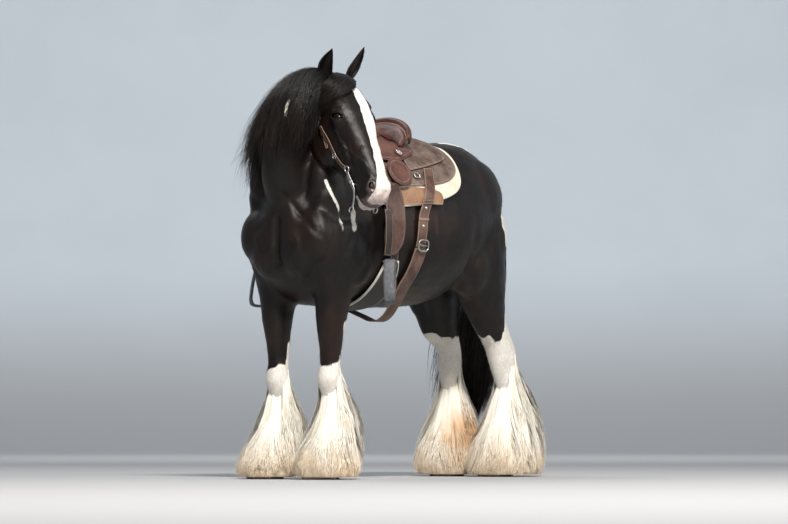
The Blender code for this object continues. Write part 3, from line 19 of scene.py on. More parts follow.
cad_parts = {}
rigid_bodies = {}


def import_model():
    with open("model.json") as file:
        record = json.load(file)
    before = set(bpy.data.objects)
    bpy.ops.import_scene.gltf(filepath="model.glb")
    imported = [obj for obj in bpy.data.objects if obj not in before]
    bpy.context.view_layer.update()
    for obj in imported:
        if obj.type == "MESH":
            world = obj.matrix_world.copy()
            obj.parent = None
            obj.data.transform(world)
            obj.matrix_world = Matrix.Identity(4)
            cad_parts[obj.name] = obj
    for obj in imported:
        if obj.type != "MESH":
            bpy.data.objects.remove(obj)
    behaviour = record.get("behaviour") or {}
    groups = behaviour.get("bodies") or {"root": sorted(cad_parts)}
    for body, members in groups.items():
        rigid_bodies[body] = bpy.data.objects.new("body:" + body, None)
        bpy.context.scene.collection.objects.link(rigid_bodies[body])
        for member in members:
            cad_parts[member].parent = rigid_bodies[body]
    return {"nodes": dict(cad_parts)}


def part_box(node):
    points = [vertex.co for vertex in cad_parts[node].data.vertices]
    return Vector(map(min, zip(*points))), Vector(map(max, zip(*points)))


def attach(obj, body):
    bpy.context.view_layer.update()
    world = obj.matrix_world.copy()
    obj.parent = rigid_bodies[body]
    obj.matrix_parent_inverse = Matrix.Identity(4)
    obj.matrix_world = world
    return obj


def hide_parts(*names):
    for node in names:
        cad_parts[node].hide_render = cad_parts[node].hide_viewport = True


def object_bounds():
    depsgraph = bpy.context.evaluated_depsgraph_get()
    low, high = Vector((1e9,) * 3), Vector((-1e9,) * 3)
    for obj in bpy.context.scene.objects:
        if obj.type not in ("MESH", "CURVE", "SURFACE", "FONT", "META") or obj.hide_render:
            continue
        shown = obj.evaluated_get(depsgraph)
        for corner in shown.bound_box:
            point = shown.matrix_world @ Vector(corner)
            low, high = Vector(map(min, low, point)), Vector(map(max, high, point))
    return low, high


for spare in list(bpy.data.objects):
    bpy.data.objects.remove(spare)
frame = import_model()
CAD_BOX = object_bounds()
chance = random.Random(7)
dice = np.random.default_rng(7)
SIDES = ((1, "left"), (-1, "right"))
print("solids reach from", CAD_BOX[0], "to", CAD_BOX[1])

# %% [markdown]
# ## The horse's own numbers
#
# A sculptor keeps a sheet of measurements. These are the sections of trunk, neck, legs and head that the
# solids were lofted through, so the fine skin comes out in the same place. The horse heads along -Y, its
# left side is +X.

# %% Measurements of trunk, neck and legs
FORELEG_X, FORELEG_Y = 0.150, -0.630
HINDLEG_X, HINDLEG_Y = 0.155, 0.625
TOE_OUT = {1: math.radians(3), -1: math.radians(22)}
# y, height of the widest point, half width, rise, drop, edge of the upper and of the lower half
TORSO = (
    (-0.830, 1.020, 0.070, 0.090, 0.080, 1.00, 1.00),
    (-0.800, 1.020, 0.150, 0.170, 0.150, 1.00, 1.00),
    (-0.720, 1.030, 0.215, 0.290, 0.245, 1.00, 0.95),
    (-0.600, 1.060, 0.245, 0.380, 0.320, 1.05, 0.90),
    (-0.450, 1.060, 0.262, 0.440, 0.320, 1.15, 0.90),
    (-0.300, 1.050, 0.290, 0.430, 0.310, 1.10, 0.90),
    (-0.100, 1.050, 0.315, 0.375, 0.307, 0.95, 0.92),
    (0.100, 1.060, 0.315, 0.370, 0.300, 0.90, 0.92),
    (0.240, 1.100, 0.295, 0.383, 0.285, 0.90, 0.95),
    (0.360, 1.150, 0.265, 0.345, 0.285, 0.92, 1.00),
    (0.480, 1.170, 0.220, 0.285, 0.290, 0.95, 1.00),
    (0.570, 1.170, 0.165, 0.205, 0.260, 0.98, 1.00),
    (0.640, 1.160, 0.100, 0.120, 0.180, 1.00, 1.00),
    (0.675, 1.150, 0.045, 0.050, 0.090, 1.00, 1.00),
)
# centre, direction of the crest, half width, height to the crest, depth to the throat
NECK = (
    ((0.000, -0.380, 1.200), (0.00, 0.75, 0.65), 0.200, 0.240, 0.330),
    ((0.000, -0.520, 1.270), (0.00, 0.75, 0.65), 0.185, 0.235, 0.330),
    ((0.006, -0.648, 1.365), (0.00, 0.80, 0.60), 0.142, 0.200, 0.280),
    ((0.028, -0.735, 1.465), (-0.10, 0.85, 0.50), 0.115, 0.160, 0.212),
    ((0.075, -0.772, 1.550), (-0.35, 0.65, 0.60), 0.102, 0.120, 0.160),
    ((0.135, -0.768, 1.605), (-0.50, 0.30, 0.75), 0.092, 0.100, 0.132),
    ((0.190, -0.745, 1.630), (-0.50, 0.10, 0.85), 0.080, 0.076, 0.110),
    ((0.225, -0.732, 1.628), (-0.40, 0.05, 0.90), 0.060, 0.050, 0.080),
)
# height, inward shift, forward shift, half width, reach to the front, reach to the back
FORELEG = (
    (1.080, -0.020, 0.000, 0.095, 0.130, 0.150),
    (0.960, -0.012, 0.005, 0.100, 0.130, 0.150),
    (0.860, -0.004, 0.004, 0.086, 0.105, 0.125),
    (0.780, 0.000, 0.000, 0.074, 0.086, 0.098),
    (0.680, 0.004, 0.005, 0.064, 0.072, 0.076),
    (0.590, 0.008, 0.006, 0.052, 0.057, 0.058),
    (0.510, 0.010, 0.006, 0.046, 0.048, 0.050),
    (0.450, 0.010, 0.010, 0.052, 0.054, 0.046),
    (0.410, 0.010, 0.010, 0.053, 0.054, 0.052),
    (0.370, 0.010, 0.004, 0.044, 0.044, 0.050),
    (0.330, 0.009, 0.000, 0.036, 0.036, 0.043),
    (0.250, 0.006, 0.000, 0.034, 0.034, 0.043),
    (0.200, 0.004, 0.004, 0.041, 0.038, 0.050),
    (0.170, 0.002, 0.010, 0.046, 0.042, 0.052),
    (0.135, 0.000, 0.032, 0.041, 0.038, 0.042),
    (0.105, 0.000, 0.052, 0.047, 0.046, 0.046),
    (0.085, 0.000, 0.064, 0.057, 0.058, 0.054),
)
HINDLEG = (
    (1.260, 0.020, 0.230, 0.105, 0.170, 0.140),
    (1.150, 0.010, 0.215, 0.110, 0.190, 0.145),
    (1.040, 0.000, 0.205, 0.110, 0.190, 0.145),
    (0.940, -0.004, 0.195, 0.102, 0.180, 0.145),
    (0.860, -0.004, 0.184, 0.096, 0.165, 0.138),
    (0.780, -0.002, 0.158, 0.085, 0.140, 0.120),
    (0.700, 0.000, 0.122, 0.070, 0.112, 0.100),
    (0.630, 0.004, 0.076, 0.058, 0.092, 0.098),
    (0.575, 0.005, 0.034, 0.054, 0.084, 0.098),
    (0.520, 0.004, 0.016, 0.055, 0.080, 0.086),
    (0.470, 0.002, 0.006, 0.050, 0.068, 0.070),
    (0.420, 0.000, -0.002, 0.042, 0.052, 0.056),
    (0.360, 0.000, -0.008, 0.037, 0.038, 0.046),
    (0.270, 0.000, -0.010, 0.036, 0.036, 0.045),
    (0.210, 0.000, -0.006, 0.043, 0.040, 0.052),
    (0.175, 0.000, 0.000, 0.047, 0.044, 0.054),
    (0.138, 0.000, 0.020, 0.042, 0.039, 0.043),
    (0.105, 0.000, 0.040, 0.048, 0.047, 0.047),
    (0.085, 0.000, 0.052, 0.057, 0.058, 0.054),
)
# Muscle and bone that stand out of the lofts: centre, radii, turn about X in degrees
BODY_FORMS = (
    ((0.160, -0.640, 1.160), (0.085, 0.130, 0.270), 14),
    ((0.145, -0.600, 1.235), (0.090, 0.130, 0.150), 20),
    ((0.185, -0.560, 0.960), (0.080, 0.140, 0.160), 30),
    ((0.080, -0.760, 0.970), (0.090, 0.080, 0.130), 0),
    ((0.155, -0.745, 1.030), (0.085, 0.080, 0.120), 0),
    ((0.140, 0.360, 1.230), (0.120, 0.210, 0.190), 10),
    ((0.145, 0.450, 1.050), (0.105, 0.150, 0.220), 0),
    ((0.085, 0.550, 1.120), (0.080, 0.085, 0.180), 0),
    ((0.180, 0.300, 0.940), (0.085, 0.140, 0.150), 30),
    ((0.166, 0.430, 0.835), (0.062, 0.098, 0.150), 24),
    ((0.152, 0.480, 0.720), (0.052, 0.085, 0.150), 30),
)
# The left fore hoof of the solids, with 14 sides, tells how far the design was shifted into the frame
HOOF_LOW, HOOF_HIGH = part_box("hoof_fore_left")
HOOF_FORWARD, HOOF_TOE, HOOF_SIDES = 0.078, 0.088, 14
TOE_Y = FORELEG_Y - HOOF_FORWARD - HOOF_TOE * math.sin(math.tau * 3 / HOOF_SIDES)
SHIFT = Vector(((HOOF_LOW[0] + HOOF_HIGH[0]) / 2 - FORELEG_X, HOOF_LOW[1] - TOE_Y, 0))
print("the design's origin lies at", tuple(round(v, 4) for v in SHIFT))

# %% Measurements of the head, in its own frame: x left, y out of the face, z up to the poll
POLL = Vector((0.208, -0.710, 1.692))
HEAD_TURN, HEAD_TILT, HEAD_ROLL = math.radians(78), math.radians(28), math.radians(-1)
# distance down from the poll, forward place of the widest point, half width,
# reach to the face, reach to the jaw, edge of the face's and of the jaw's half
HEAD = (
    (-0.016, -0.030, 0.034, 0.028, 0.033, 1.00, 1.00),
    (0.012, -0.022, 0.061, 0.053, 0.068, 0.92, 1.00),
    (0.055, -0.012, 0.084, 0.074, 0.108, 0.84, 1.00),
    (0.120, -0.002, 0.098, 0.087, 0.155, 0.76, 1.00),
    (0.200, 0.002, 0.102, 0.093, 0.202, 0.70, 1.05),
    (0.260, -0.005, 0.093, 0.099, 0.205, 0.68, 1.05),
    (0.320, -0.016, 0.080, 0.105, 0.172, 0.68, 1.00),
    (0.380, -0.020, 0.070, 0.105, 0.130, 0.68, 1.00),
    (0.440, -0.020, 0.064, 0.103, 0.098, 0.70, 0.95),
    (0.495, -0.020, 0.061, 0.099, 0.080, 0.74, 0.95),
    (0.535, -0.020, 0.062, 0.093, 0.072, 0.80, 0.95),
    (0.573, -0.018, 0.060, 0.081, 0.064, 0.88, 0.95),
    (0.598, -0.018, 0.052, 0.062, 0.050, 0.95, 1.00),
    (0.614, -0.020, 0.033, 0.035, 0.030, 1.00, 1.00),
)
HEAD_FORMS = (
    ((0.052, -0.118, -0.255), (0.034, 0.092, 0.105), 0),
    ((0.081, 0.034, -0.224), (0.032, 0.036, 0.045), 0),
    ((0.068, 0.051, -0.174), (0.029, 0.030, 0.043), 0),
    ((0.072, 0.000, -0.320), (0.013, 0.016, 0.075), -6),
    ((0.036, 0.032, -0.552), (0.023, 0.033, 0.042), 0),
    ((0.020, 0.004, -0.592), (0.029, 0.043, 0.027), 0),
    ((0.014, -0.066, -0.575), (0.025, 0.027, 0.033), 0),
)
EYE, EYE_RADIUS = Vector((0.0820, 0.0345, -0.226)), 0.0245
EYE_LOOK = Vector((0.80, 0.58, 0.05)).normalized()
EYE_SLIT = Vector((-0.54, 0.65, -0.53)).normalized()
EAR = {
    1: (Vector((0.058, 0.036, -0.022)), Vector((0.077, 0.172, 0.048))),
    -1: (Vector((-0.054, 0.010, -0.018)), Vector((-0.074, 0.136, 0.056))),
}
MOUTH = ((-0.030, -0.500), (-0.036, -0.530), (-0.040, -0.565), (-0.036, -0.650))
NOSTRIL = Vector((0.047, 0.040, -0.560))


def head_frame():
    """The matrix that carries the head's own frame into place. It is left-handed and turns faces over."""
    facing = Vector((math.sin(HEAD_TURN), -math.cos(HEAD_TURN), 0))
    left = Vector((0, 0, 1)).cross(facing)
    level = Matrix((left, facing, (0, 0, 1))).transposed()
    turned = level @ Matrix.Rotation(HEAD_TILT, 3, "X") @ Matrix.Rotation(HEAD_ROLL, 3, "Y")
    return Matrix.Translation(POLL) @ turned.to_4x4()


INTO_PLACE = head_frame()
OUT_OF_PLACE = INTO_PLACE.inverted()

# %% [markdown]
# ## Shaping tools
#
# Organic forms start as lofts: closed rings of points skinned one to the next. Overlapping lofts are run
# together by a voxel remesh, which works like wet clay, and a few rounds of smoothing take the
# fingerprints off.


# %% Lofts, forms and clay
def passed_through(rows, count):
    """The rows of a table passed through smoothly (Catmull-Rom) in count even steps."""
    table = np.array(rows, float)
    ends = np.vstack([2 * table[0] - table[1], table, 2 * table[-1] - table[-2]])
    made = []
    for step in np.linspace(0, len(table) - 1, count):
        i = min(int(step), len(table) - 2)
        t = step - i
        a, b, c, d = ends[i : i + 4]
        bend = (2 * a - 5 * b + 4 * c - d) * t**2 + (3 * b - a - 3 * c + d) * t**3
        made.append(0.5 * (2 * b + (c - a) * t + bend))
    return np.array(made)


def circle(count):
    """Cosine and sine of even steps round a circle."""
    return [(math.cos(math.tau * k / count), math.sin(math.tau * k / count)) for k in range(count)]


def edged(value, edge):
    """A cosine or sine raised to edge with its sign kept, which squares the circle off below 1."""
    return math.copysign(abs(value) ** edge, value)


def section(centre, side, up, width, rise, drop, edge_up=1.0, edge_down=1.0, count=32):
    """The points of one closed section round centre."""
    centre, side, up = Vector(centre), Vector(side), Vector(up)
    points = []
    for c, s in circle(count):
        edge, reach = (edge_up, rise) if s >= 0 else (edge_down, drop)
        across = width * edged(c, edge)
        points.append(centre + side * across + up * reach * edged(s, edge))
    return points


def mesh_object(name, bm):
    """An object of the bmesh, with its faces pointing out."""
    bmesh.ops.recalc_face_normals(bm, faces=bm.faces)
    if bm.calc_volume(signed=True) < 0:
        bmesh.ops.reverse_faces(bm, faces=bm.faces)
    mesh = bpy.data.meshes.new(name)
    bm.to_mesh(mesh)
    bm.free()
    obj = bpy.data.objects.new(name, mesh)
    bpy.context.scene.collection.objects.link(obj)
    return obj


def loft(name, sections, closed=False):
    """A skin over the sections, which have the same number of points, with ends or as a closed loop."""
    bm = bmesh.new()
    loops = [[bm.verts.new(point) for point in ring] for ring in sections]
    following = loops[1:] + loops[:1] if closed else loops[1:]
    for first, second in zip(loops, following):
        for k in range(len(first)):
            after = (k + 1) % len(first)
            bm.faces.new((first[k], first[after], second[after], second[k]))
    if not closed:
        bm.faces.new(loops[0])
        bm.faces.new(loops[-1])
    return mesh_object(name, bm)


def ellipsoid(name, centre, radii, turn=0.0):
    """A closed ellipsoid turned about the X axis by turn degrees."""
    bm = bmesh.new()
    bmesh.ops.create_icosphere(bm, subdivisions=4, radius=1)
    place = Matrix.Translation(centre) @ Matrix.Rotation(math.radians(turn), 4, "X")
    bm.transform(place @ Matrix.Diagonal((*radii, 1)))
    return mesh_object(name, bm)


def both_sides(forms):
    """Ellipsoids from a table and their mirror images."""
    made = []
    for (x, y, z), radii, turn in forms:
        made += [ellipsoid("form", (side * x, y, z), radii, turn) for side in (1, -1)]
    return made


def evaluated(obj):
    """The object with its modifiers applied."""
    graph = bpy.context.evaluated_depsgraph_get()
    mesh = bpy.data.meshes.new_from_object(obj.evaluated_get(graph))
    obj.modifiers.clear()
    obj.data = mesh
    return obj


def joined(name, forms):
    """The forms in one mesh, still separate surfaces."""
    bm = bmesh.new()
    for form in forms:
        bm.from_mesh(form.data)
        bpy.data.objects.remove(form)
    return mesh_object(name, bm)


def clay(skin, voxel, smoothing):
    """Runs the surfaces of a mesh together into one smooth closed skin."""
    remesh = skin.modifiers.new("clay", "REMESH")
    remesh.mode = "VOXEL"
    remesh.voxel_size = voxel
    smooth = skin.modifiers.new("soften", "SMOOTH")
    smooth.factor = 0.5
    smooth.iterations = smoothing
    return evaluated(skin)


def tree_of(obj):
    """A search tree of the object's faces."""
    points = [vertex.co.copy() for vertex in obj.data.vertices]
    return BVHTree.FromPolygons(points, [tuple(face.vertices) for face in obj.data.polygons])


def copied(obj):
    """A second object with a mesh of its own."""
    double = bpy.data.objects.new(obj.name, obj.data.copy())
    bpy.context.scene.collection.objects.link(double)
    return double


def carve(obj, cutter, operation="DIFFERENCE"):
    """Cuts the cutter from the object, or adds it, and takes the cutter away."""
    step = obj.modifiers.new("carve", "BOOLEAN")
    step.operation = operation
    step.solver = "MANIFOLD"
    step.object = cutter
    evaluated(obj)
    bpy.data.objects.remove(cutter)
    return obj


def placed(obj):
    """Carries a piece of the head from the head's own frame into place."""
    obj.data.transform(INTO_PLACE)
    obj.data.flip_normals()
    return obj


def mirrored(point, side):
    """The point itself on side 1, its mirror image on side -1."""
    return Vector((side * point[0], point[1], point[2]))


def head_point(x, y, z):
    """A point of the head's own frame, in place."""
    return INTO_PLACE @ Vector((x, y, z))


# %% Trunk, neck, legs and head in the rough
def torso():
    rows = passed_through(TORSO, 60)
    return loft("torso", [section((0, y, z), (1, 0, 0), (0, 0, 1), *sizes) for y, z, *sizes in rows])


def neck():
    rows = passed_through([(*c, *up, *sizes) for c, up, *sizes in NECK], 36)
    rings = []
    for i, row in enumerate(rows):
        ahead = Vector(rows[min(i + 1, len(rows) - 1)][:3]) - Vector(rows[max(i - 1, 0)][:3])
        ahead.normalize()
        side = ahead.cross(Vector(row[3:6])).normalized()
        rings.append(section(row[:3], side, side.cross(ahead), *row[6:]))
    return loft("neck", rings)


def leg_place(side, x, y, turn=0.0):
    """The matrix that stands a leg at x and y, its toe turned out by turn."""
    return Matrix.Translation((side * x, y, 0)) @ Matrix.Rotation(-side * turn, 4, "Z")


def leg(table, side, *stand):
    """A leg from its table of sections, standing at x and y, its toe turned out."""
    swing, rings = leg_place(side, *stand), []
    for height, inward, forward, width, front, back in passed_through(table, 60):
        ring = section((-side * inward, -forward, height), (1, 0, 0), (0, -1, 0), width, front, back)
        rings.append([swing @ point for point in ring])
    return loft("leg", rings)


BODY_VOXEL, HEAD_VOXEL, FEATURE_VOXEL = ((0.0105, 0.0036, 0.0029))


def body_clay():
    forms = [torso(), neck(), *both_sides(BODY_FORMS)]
    for side in (1, -1):
        forms.append(leg(FORELEG, side, FORELEG_X, FORELEG_Y))
        forms.append(leg(HINDLEG, side, HINDLEG_X, HINDLEG_Y, TOE_OUT[side]))
    return clay(joined("body", forms), BODY_VOXEL, 16)


def head_clay():
    rings = []
    for down, forward, *sizes in passed_through(HEAD, 60):
        rings.append(section((0, forward, -down), (1, 0, 0), (0, 1, 0), *sizes))
    return clay(joined("head", [loft("head", rings), *both_sides(HEAD_FORMS)]), HEAD_VOXEL, 14)


body = body_clay()
head = head_clay()
rough_tree = tree_of(body)
print("rough body", len(body.data.polygons), "faces; rough head", len(head.data.polygons), "faces")

# %% [markdown]
# ## Eyelids, nostrils, mouth and ears
#
# The features are cut while the head is still on its own: first the swelling of the lids is added, then
# the slit, the ball's socket, the nostrils and the line of the lips are taken out. A second, finer remesh
# rounds every cut edge, as a thumb would, so nothing looks sawn.


# %% Cutters for the features of the head
def grid_solid(name, outer, inner):
    """A closed solid between an outer and an inner grid of points."""
    bm = bmesh.new()
    top = [[bm.verts.new(point) for point in row] for row in outer]
    bottom = [[bm.verts.new(point) for point in row] for row in inner]
    rows, columns = len(top), len(top[0])
    for i in range(rows - 1):
        for j in range(columns - 1):
            for grid in (top, bottom):
                bm.faces.new((grid[i][j], grid[i][j + 1], grid[i + 1][j + 1], grid[i + 1][j]))
    for i in range(rows - 1):
        for j in (0, columns - 1):
            bm.faces.new((top[i][j], top[i + 1][j], bottom[i + 1][j], bottom[i][j]))
    for j in range(columns - 1):
        for i in (0, rows - 1):
            bm.faces.new((top[i][j], top[i][j + 1], bottom[i][j + 1], bottom[i][j]))
    return mesh_object(name, bm)


def ball(name, centre, radius, look, segments=48):
    """A sphere whose pole looks along look."""
    bm = bmesh.new()
    bmesh.ops.create_uvsphere(bm, u_segments=segments, v_segments=segments // 2, radius=radius)
    turn = look.to_track_quat("Z", "Y").to_matrix().to_4x4()
    bm.transform(Matrix.Translation(centre) @ turn)
    return mesh_object(name, bm)


def slit_frame(side):
    """Along the slit between the lids, across it, and out of the eye."""
    look = mirrored(EYE_LOOK, side)
    along = mirrored(EYE_SLIT, side)
    along = (along - look * along.dot(look)).normalized()
    return along, look.cross(along), look


LID_POINTS = 28


def lid(side, reach_along, reach_across, low, high):
    """A solid with an almond outline round the slit, from low to high over the eye's centre."""
    along, across, look = slit_frame(side)
    rings = []
    for height, grow in ((low, 1.0), ((low + high) / 2, 1.0), (high, 0.86)):
        ring = []
        for c, s in circle(LID_POINTS):
            width = reach_along * c * grow
            rise = reach_across * edged(s, 1.3) * grow
            ring.append(mirrored(EYE, side) + along * width + across * rise + look * height)
        rings.append(ring)
    return loft("lid", rings)


NOSTRIL_SECTIONS = (  # depth, half length, half width, slide along the slit
    (-0.030, 0.021, 0.010, 0.004),
    (0.000, 0.019, 0.010, 0.000),
    (0.014, 0.014, 0.008, 0.000),
    (0.030, 0.007, 0.005, 0.000),
)


def nostril(side):
    """A comma-shaped pit that runs in and up."""
    into = mirrored(Vector((-0.55, -0.45, 0.50)), side).normalized()
    long = mirrored(Vector((0.10, 0.45, 0.85)), side)
    long = (long - into * long.dot(into)).normalized()
    wide = into.cross(long)
    rings = []
    for depth, length, width, slide in NOSTRIL_SECTIONS:
        centre = mirrored(NOSTRIL, side) + into * depth + long * slide
        rings.append(section(centre, wide, long, width, length, length * 0.9, count=20))
    return loft("nostril", rings)


def mouth():
    """The slit between the lips, from corner to corner, as one bent sheet."""
    line, half_slit = passed_through(MOUTH, 14), 0.0022
    sides = [[[(x, y + way * half_slit, z) for x in (-0.09, 0.09)] for y, z in line] for way in (1, -1)]
    return grid_solid("mouth", *sides)


EAR_SECTIONS = (  # share of the length, half width, depth of the cup, thickness of its wall
    (-0.16, 0.020, 0.018, 0.99),
    (0.02, 0.024, 0.021, 0.96),
    (0.12, 0.029, 0.024, 0.40),
    (0.28, 0.033, 0.025, 0.24),
    (0.46, 0.032, 0.022, 0.22),
    (0.64, 0.026, 0.018, 0.25),
    (0.82, 0.016, 0.011, 0.34),
    (1.00, 0.003, 0.003, 0.80),
)


def ear(side):
    """A cupped ear: a C of skin round a hollow, wide a third of the way up and drawn to a point."""
    base, tip = EAR[side]
    along = (tip - base).normalized()
    cup = Vector((side * 0.35, 0.35, -0.80))
    cup = (cup - along * cup.dot(along)).normalized()
    across = along.cross(cup)
    length = (tip - base).length
    rings = []
    for t, wide, deep, wall in passed_through(EAR_SECTIONS, 26):
        hollow = 1 - min(max(wall, 0.2), 0.99)
        bow = across * side * 0.012 * math.sin(math.pi * max(t, 0))
        centre = base + along * length * t - bow - cup * 0.006 * t
        ring = []
        for k in range(18):
            angle = math.radians(-115 + 230 * k / 17)
            ring.append(centre + across * wide * math.sin(angle) - cup * deep * math.cos(angle))
        for k in range(12):
            angle = math.radians(100 - 200 * k / 11)
            inside = deep * (math.cos(angle) * hollow - 0.2 * (1 - hollow))
            ring.append(centre + across * wide * hollow * math.sin(angle) - cup * inside)
        rings.append(ring)
    return loft("ear", rings)


for side in (1, -1):
    carve(head, lid(side, 0.0345, 0.0255, 0.010, 0.0272), "UNION")
    carve(head, ear(side), "UNION")
for side in (1, -1):
    carve(head, lid(side, 0.0268, 0.0146, 0.006, 0.046))
    carve(head, ball("socket", mirrored(EYE, side), EYE_RADIUS - 0.0003, mirrored(EYE_LOOK, side)))
    carve(head, nostril(side))
carve(head, mouth())
head = clay(head, FEATURE_VOXEL, 3)
print("head with its features:", len(head.data.polygons), "faces")

# %% [markdown]
# ## Sculpting on the skin
#
# Veins, tendons, folds and bony ridges are too fine for forms of their own. Each is a line over the skin:
# points near it are pushed out, or in for a fold, by an amount that fades with distance, as a modelling
# tool would leave it.


# %% Lines pressed into or raised from the skin
def coordinates(mesh):
    found = np.empty(len(mesh.vertices) * 3)
    mesh.vertices.foreach_get("co", found)
    return found.reshape(-1, 3)


def normals_of(mesh):
    found = np.empty(len(mesh.vertices) * 3)
    mesh.vertex_normals.foreach_get("vector", found)
    return found.reshape(-1, 3)


def moved(obj, places):
    obj.data.vertices.foreach_set("co", np.ascontiguousarray(places).ravel())
    obj.data.update()


def distance_to(points, path):
    """Each point's distance to a line through the path."""
    nearest = np.full(len(points), 9.0)
    for a, b in zip(path[:-1], path[1:]):
        a, b = np.array(a), np.array(b)
        share = np.clip((points - a) @ (b - a) / ((b - a) @ (b - a)), 0, 1)
        nearest = np.minimum(nearest, np.linalg.norm(points - a - share[:, None] * (b - a), axis=1))
    return nearest


def pressed(obj, lines):
    """Moves the skin along its normals near each line. A line is its path, its reach and its height."""
    points, normals = coordinates(obj.data), normals_of(obj.data)
    lift, tree = np.zeros(len(points)), tree_of(obj)
    for path, reach, height in lines:
        line = [tree.find_nearest(Vector(point))[0] for point in passed_through(path, 4 * len(path))]
        lift += height * np.exp(-((distance_to(points, line) / reach) ** 2))
    moved(obj, points + normals * lift[:, None])


HEAD_LINES = (  # reach and height of a line, which is a fold below zero, then its path
    (0.008, 0.0035, (0.083, 0.002, -0.262), (0.076, -0.004, -0.300),
     (0.070, -0.006, -0.345), (0.063, -0.008, -0.385)),
    (0.0035, 0.0016, (0.060, 0.030, -0.330), (0.058, 0.018, -0.390),
     (0.055, 0.010, -0.440), (0.052, 0.020, -0.480)),
    (0.0035, 0.0014, (0.062, -0.004, -0.375), (0.058, -0.030, -0.400), (0.055, -0.050, -0.430)),
    (0.003, 0.0013, (0.058, 0.018, -0.395), (0.050, 0.045, -0.430), (0.042, 0.055, -0.470)),
    (0.006, 0.0030, (0.040, 0.050, -0.520), (0.055, 0.040, -0.538),
     (0.057, 0.026, -0.560), (0.050, 0.018, -0.585)),
    (0.004, -0.0022, (0.053, -0.032, -0.512), (0.055, -0.044, -0.525), (0.054, -0.056, -0.540)),
    (0.003, -0.0014, (0.053, -0.026, -0.505), (0.055, -0.036, -0.500), (0.054, -0.052, -0.508)),
    (0.0050, -0.0022, (0.108, 0.024, -0.212), (0.104, 0.045, -0.196), (0.088, 0.066, -0.196)),
    (0.0080, 0.0034, (0.106, 0.020, -0.192), (0.098, 0.046, -0.178), (0.080, 0.066, -0.182)),
    (0.0160, -0.0050, (0.100, -0.020, -0.150), (0.096, 0.020, -0.135), (0.090, 0.040, -0.120)),
    (0.0070, 0.0020, (0.083, -0.002, -0.311), (0.079, 0.005, -0.354),
     (0.060, 0.017, -0.380), (0.050, 0.032, -0.408)),
    (0.0050, 0.0022, (0.050, 0.032, -0.408), (0.040, 0.050, -0.400), (0.034, 0.058, -0.380)),
    (0.0050, -0.0018, (0.075, -0.010, -0.330), (0.070, 0.000, -0.372), (0.056, 0.012, -0.400)),
    (0.0035, -0.0014, (0.100, 0.020, -0.245), (0.088, 0.045, -0.262), (0.072, 0.056, -0.262)),
    (0.012, 0.0030, (0.090, -0.120, -0.180), (0.078, -0.160, -0.250), (0.060, -0.150, -0.320)),
    (0.010, -0.0025, (0.074, -0.070, -0.330), (0.070, -0.080, -0.280), (0.074, -0.085, -0.240)),
)
head_lines = []
for side in (1, -1):
    for reach, height, *path in HEAD_LINES:
        head_lines.append(([mirrored(point, side) for point in path], reach, height))
pressed(head, head_lines)
placed(head)
print("lines on the head:", len(head_lines))

# %% [markdown]
# ## One skin
#
# Head and body are joined by a Boolean union, and only the seam is smoothed, so that the fine features of
# the head keep their sharpness while the neck runs into the jaw without a crease.

# %% Join head and body
head_reach, body_reach = tree_of(head), tree_of(body)
skin = carve(body, copied(head), "UNION")
bpy.data.objects.remove(head)
skin.name = "coat_skin"


def near_both(point, reach):
    on_head, on_body = head_reach.find_nearest(point)[3], body_reach.find_nearest(point)[3]
    return on_head < reach and on_body < reach


bm = bmesh.new()
bm.from_mesh(skin.data)
bmesh.ops.triangulate(bm, faces=[face for face in bm.faces if len(face.verts) > 4])
seam = [vert for vert in bm.verts if (vert.co - POLL).length < 0.42 and near_both(vert.co, 0.016)]
for _ in range(14):
    bmesh.ops.smooth_vert(bm, verts=seam, factor=0.5, use_axis_x=True, use_axis_y=True, use_axis_z=True)
bm.normal_update()
bm.to_mesh(skin.data)
bm.free()
print("skin", len(skin.data.polygons), "faces, seam of", len(seam), "points")

# %% Folds and tendons of body and legs
BODY_FOLDS = (  # reach and height of a fold, then its path down the left side
    (0.026, -0.0070, (0.245, -0.560, 0.860), (0.262, -0.500, 0.960), (0.262, -0.500, 1.060)),
    (0.022, -0.0060, (0.10, -0.800, 1.120), (0.16, -0.760, 1.190), (0.20, -0.66, 1.30)),
    (0.020, -0.0080, (0.0, -0.850, 0.900), (0.0, -0.86, 1.00), (0.0, -0.84, 1.10)),
    (0.030, -0.0080, (0.215, 0.280, 0.840), (0.250, 0.220, 0.930), (0.265, 0.200, 1.05)),
    (0.024, -0.0055, (0.20, 0.560, 1.00), (0.19, 0.560, 0.90), (0.18, 0.540, 0.80)),
    (0.016, -0.0045, (0.19, -0.72, 0.84), (0.21, -0.68, 0.92), (0.22, -0.64, 1.02)),
)
body_lines = []
for side in (1, -1):
    fore = leg_place(side, FORELEG_X, FORELEG_Y)
    hind = leg_place(side, HINDLEG_X, HINDLEG_Y, TOE_OUT[side])
    for x in (0.030, -0.030):
        path = [fore @ Vector((x, 0.030, z)) for z in (0.385, 0.330, 0.270, 0.220)]
        body_lines.append((path, 0.010, 0.0035))
        path = [hind @ Vector((x, 0.034, z)) for z in (0.430, 0.370, 0.300, 0.230)]
        body_lines.append((path, 0.010, 0.0035))
    for reach, height, *path in BODY_FOLDS:
        body_lines.append(([mirrored(point, side) for point in path], reach, height))
